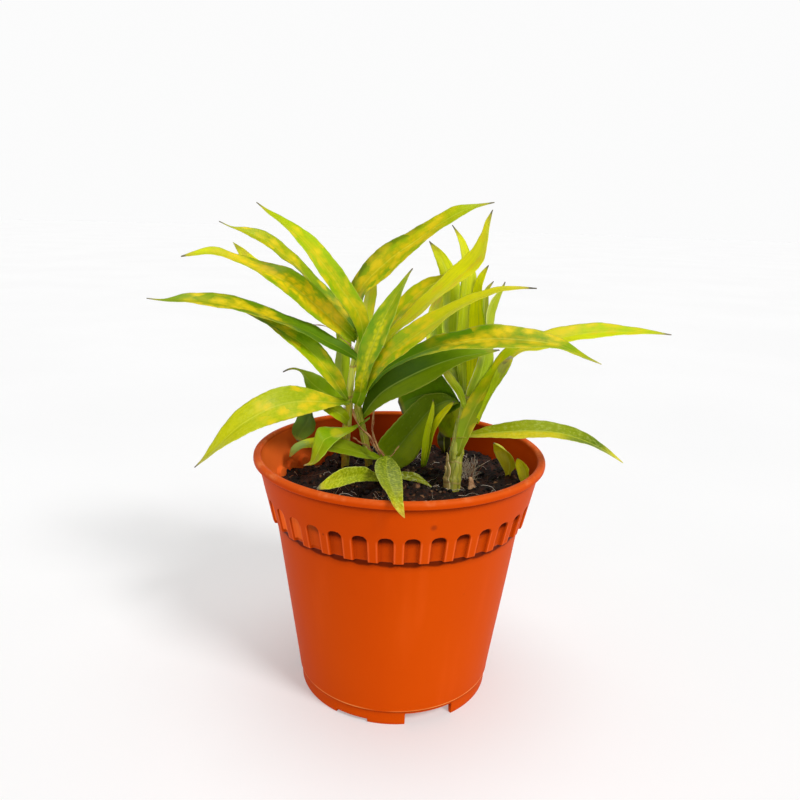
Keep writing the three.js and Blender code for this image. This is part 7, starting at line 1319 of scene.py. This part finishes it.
stem_green = stem_material("stem_green", lin(222, 212, 68), lin(230, 232, 36), lin(176, 134, 62))
stem_dim = stem_material("stem_dim", lin(172, 164, 50), lin(180, 184, 26), lin(160, 120, 56))
stem_pale = stem_material("stem_right_core", lin(150, 152, 48), lin(152, 170, 14), lin(160, 134, 66), 0.5)
stem_bright = stem_material("stem_bright", lin(150, 170, 40), lin(180, 200, 20), lin(150, 150, 60), 0.3)
sheath_green = stem_material("sheath_green", lin(172, 170, 62), lin(170, 186, 28), lin(190, 168, 96), 0.6, lin(222, 222, 110))
sheath_tan = stem_material("sheath_tan", lin(190, 164, 98), lin(186, 172, 84), lin(132, 92, 48), 0.55, lin(226, 206, 150))
sheath_left = stem_material("sheath_left", lin(206, 200, 88), lin(206, 216, 48), lin(180, 140, 70), 0.5, lin(232, 228, 130))
SHEATHS = {
    "stem_right": [
        (0.2, 0.02, 0.62, 2.6, 0.25, 1, 0.4), (1.5, 0.0, 0.52, 2.6, 0.60, 2, 1.2), (2.7, 0.03, 0.78, 2.5, 0.30, 1, 0.3), (3.9, 0.0, 0.46, 2.5, 0.90, 2, 1.6),
        (4.9, 0.02, 0.70, 2.6, 0.35, 1, 0.3), (5.7, 0.04, 0.52, 2.0, 0.70, 1, 0.8), (3.2, 0.0, 0.34, 2.2, 1.10, 2, 1.0), (0.9, 0.0, 0.30, 2.0, 0.90, 2, 0.9), (0.9, 0.35, 0.95, 2.2, 0.2, 1, 0.4), (4.3, 0.4, 0.98, 2.0, 0.2, 1, 0.4),
    ],
    "stem_left_front": [(0.5, 0.04, 0.36, 1.7, 0.2, 2, 0.7), (3.4, 0.16, 0.52, 1.8, 0.2, 1, 0.6), (1.8, 0.42, 0.80, 1.8, 0.2, 1, 0.6), (4.6, 0.55, 1.0, 1.8, 0.2, 1, 0.4), (5.6, 0.30, 0.66, 1.7, 0.25, 1, 0.7)],
    "stem_left_back": [(1.2, 0.04, 0.36, 1.6, 0.2, 2, 0.6), (4.0, 0.26, 0.62, 1.6, 0.18, 1, 0.5), (2.4, 0.55, 0.95, 1.6, 0.18, 1, 0.4), (5.3, 0.4, 0.8, 1.5, 0.2, 1, 0.5)],
    "stem_short_front": [(1.0, 0.2, 0.7, 1.1, 0.1, 1, 0.3)],
    "stem_small_shoot": [],
}
for name, s in STEMS.items():
    core = stem_pale if name == "stem_right" else stem_bright if name == "stem_small_shoot" else stem_dim if name == "stem_left_back" else stem_green
    place(make_stem(name + "_visual", s, [core, sheath_left if name == "stem_left_front" else sheath_green, sheath_tan], nodes=4 if name == "stem_right" else 5, sheaths=SHEATHS[name]), "stem", name)

dry = fibre_material("dry_strand", lin(196, 152, 96), lin(158, 98, 62), 0.75)
rng = np.random.default_rng(5)
for name, s in TWIGS.items():
    P = catmull(np.array(s["P"], float), 40)
    t = np.linspace(0, 1, 40)
    wob = np.stack([0.5 * np.sin(t * 11 + 1), 0.4 * np.cos(t * 9), 0.3 * np.sin(t * 13)], 1) * np.sin(np.pi * t)[:, None]
    core = s["r"][0] + (s["r"][1] - s["r"][0]) * t
    lots = [(P + wob, 0.42 * core * (1 + 0.22 * np.sin(t * 23) + 0.15 * np.sin(t * 51)), 0.55)]
    for n_s in range(3 if core[-1] > 0.6 else 1):
        a, b = rng.random(3) * 6.28, 0.55 + 0.5 * rng.random()
        side = np.stack([np.sin(t * (5 + 2 * n_s) + a[0]), np.cos(t * (4 + n_s) + a[1]), np.sin(t * (6 - n_s) + a[2])], 1)
        lots.append((P + wob * 0.6 + side * core[:, None] * b, (0.10 + 0.12 * rng.random()) * (1 + 0.3 * np.sin(t * 31 + a[0])), 0.8))
    place(make_strands(name + "_visual", lots, dry), "dry_leaf", name)

for key, L in LEAVES.items():
    look = dict(TOP_DEFAULT)
    look.update(LOOK.get(key, {}))
    look["seed"] = L["seed"]
    L["wide"] = look["wide"]
    L["fold"] = look["fold"] or L["fold"]
    place(make_leaf(key, L, look), "leaf", L["node"])

# ---- floor: a wide pale disc ----
def make_floor():
    k = Mat("studio_floor")
    p = k.obj()
    n = k.noise(p, 3.0, 3.0, 0.5)
    m = k.finish(k.mix(k.range(n, 0.3, 0.7), (0.66, 0.66, 0.66, 1), (0.68, 0.68, 0.68, 1)), 0.9, None, Specular_IOR_Level=0.1)
    k.bsdf.inputs["Emission Color"].default_value = (1.0, 1.0, 1.0, 1.0)
    k.bsdf.inputs["Emission Strength"].default_value = 0.30
    radii, n = (0.3, 0.8, 2.0, 5.0, 12.0), 96
    V, F = [(0.0, 0.0, 0.0)], []
    for r in radii:
        for j in range(n):
            t = 2 * math.pi * j / n
            V.append((r * math.cos(t), r * math.sin(t), 0.0))
    for j in range(n):
        F.append((0, 1 + j, 1 + (j + 1) % n))
    for i in range(len(radii) - 1):
        for j in range(n):
            a, b = 1 + i * n + j, 1 + i * n + (j + 1) % n
            F.append((a, a + n, b + n, b))
    me = bpy.data.meshes.new("floor")
    me.from_pydata(V, [], F)
    me.materials.append(m)
    ob = bpy.data.objects.new("floor", me)
    bpy.context.scene.collection.objects.link(ob)


make_floor()


# ---- light: very large soft sources, so the floor stays even ----
def soft_sun(name, direction, spread, strength, color=(1, 1, 1)):
    """direction points from the object to the light; strength 1 lights a white surface that faces it to white."""
    d = bpy.data.lights.new(name, "SUN")
    d.angle = math.radians(spread)
    d.energy = strength * math.pi
    d.color = color
    o = bpy.data.objects.new(name, d)
    bpy.context.scene.collection.objects.link(o)
    v = Vector(direction).normalized()
    o.rotation_euler = v.to_track_quat("Z", "Y").to_euler()
    o.location = v * 2.0
    return o


soft_sun("key", (0.62, -0.62, 0.85), 16.0, 0.54)
soft_sun("front", (-0.20, -1.0, 0.34), 50.0, 0.08)
soft_sun("top", (0.0, 0.10, 1.0), 40.0, 0.36)

# the room: white round the horizon, dim overhead
world = bpy.data.worlds.new("studio")
world.use_nodes = True
wt = world.node_tree
bg = wt.nodes["Background"]
tc = wt.nodes.new("ShaderNodeTexCoord")
sep = wt.nodes.new("ShaderNodeSeparateXYZ")
rng_node = wt.nodes.new("ShaderNodeMapRange")
rng_node.interpolation_type = "SMOOTHSTEP"
wt.links.new(tc.outputs["Generated"], sep.inputs[0])
wt.links.new(sep.outputs["Z"], rng_node.inputs["Value"])
rng_node.inputs["From Min"].default_value = 0.26
rng_node.inputs["From Max"].default_value = 0.52
rng_node.inputs["To Min"].default_value = 0.97
rng_node.inputs["To Max"].default_value = 0.11
wt.links.new(rng_node.outputs["Result"], bg.inputs["Strength"])
bg.inputs["Color"].default_value = (1.0, 1.0, 1.0, 1.0)
bpy.context.scene.world = world

# ---- camera: placed and turned as the photograph was taken ----
cam_data = bpy.data.cameras.new("camera")
cam = bpy.data.objects.new("camera", cam_data)
bpy.context.scene.collection.objects.link(cam)
cam_data.sensor_width = 36.0
cam_data.sensor_fit = "HORIZONTAL"
cam_data.lens = 36.0 * 728.213 / 800.0
cam_data.clip_start = 0.01
cam_data.clip_end = 50.0
pitch, yaw, roll = math.radians(14.362), math.radians(-0.088), math.radians(1.699)
fw = Vector((math.sin(yaw) * math.cos(pitch), math.cos(yaw) * math.cos(pitch), -math.sin(pitch)))
right = fw.cross(Vector((0, 0, 1))).normalized()
upv = right.cross(fw)
r2 = math.cos(roll) * right + math.sin(roll) * upv
u2 = -math.sin(roll) * right + math.cos(roll) * upv
rot = Matrix((r2, u2, -fw)).transposed()
cam.matrix_world = Matrix.Translation(Vector((POT_X * MM, -0.362123 + POT_Y * MM, 0.246927))) @ rot.to_4x4()
bpy.context.scene.camera = cam

scene = bpy.context.scene
scene.view_settings.view_transform = "Standard"
scene.view_settings.look = "None"
scene.view_settings.exposure = 0.0
scene.view_settings.gamma = 1.0
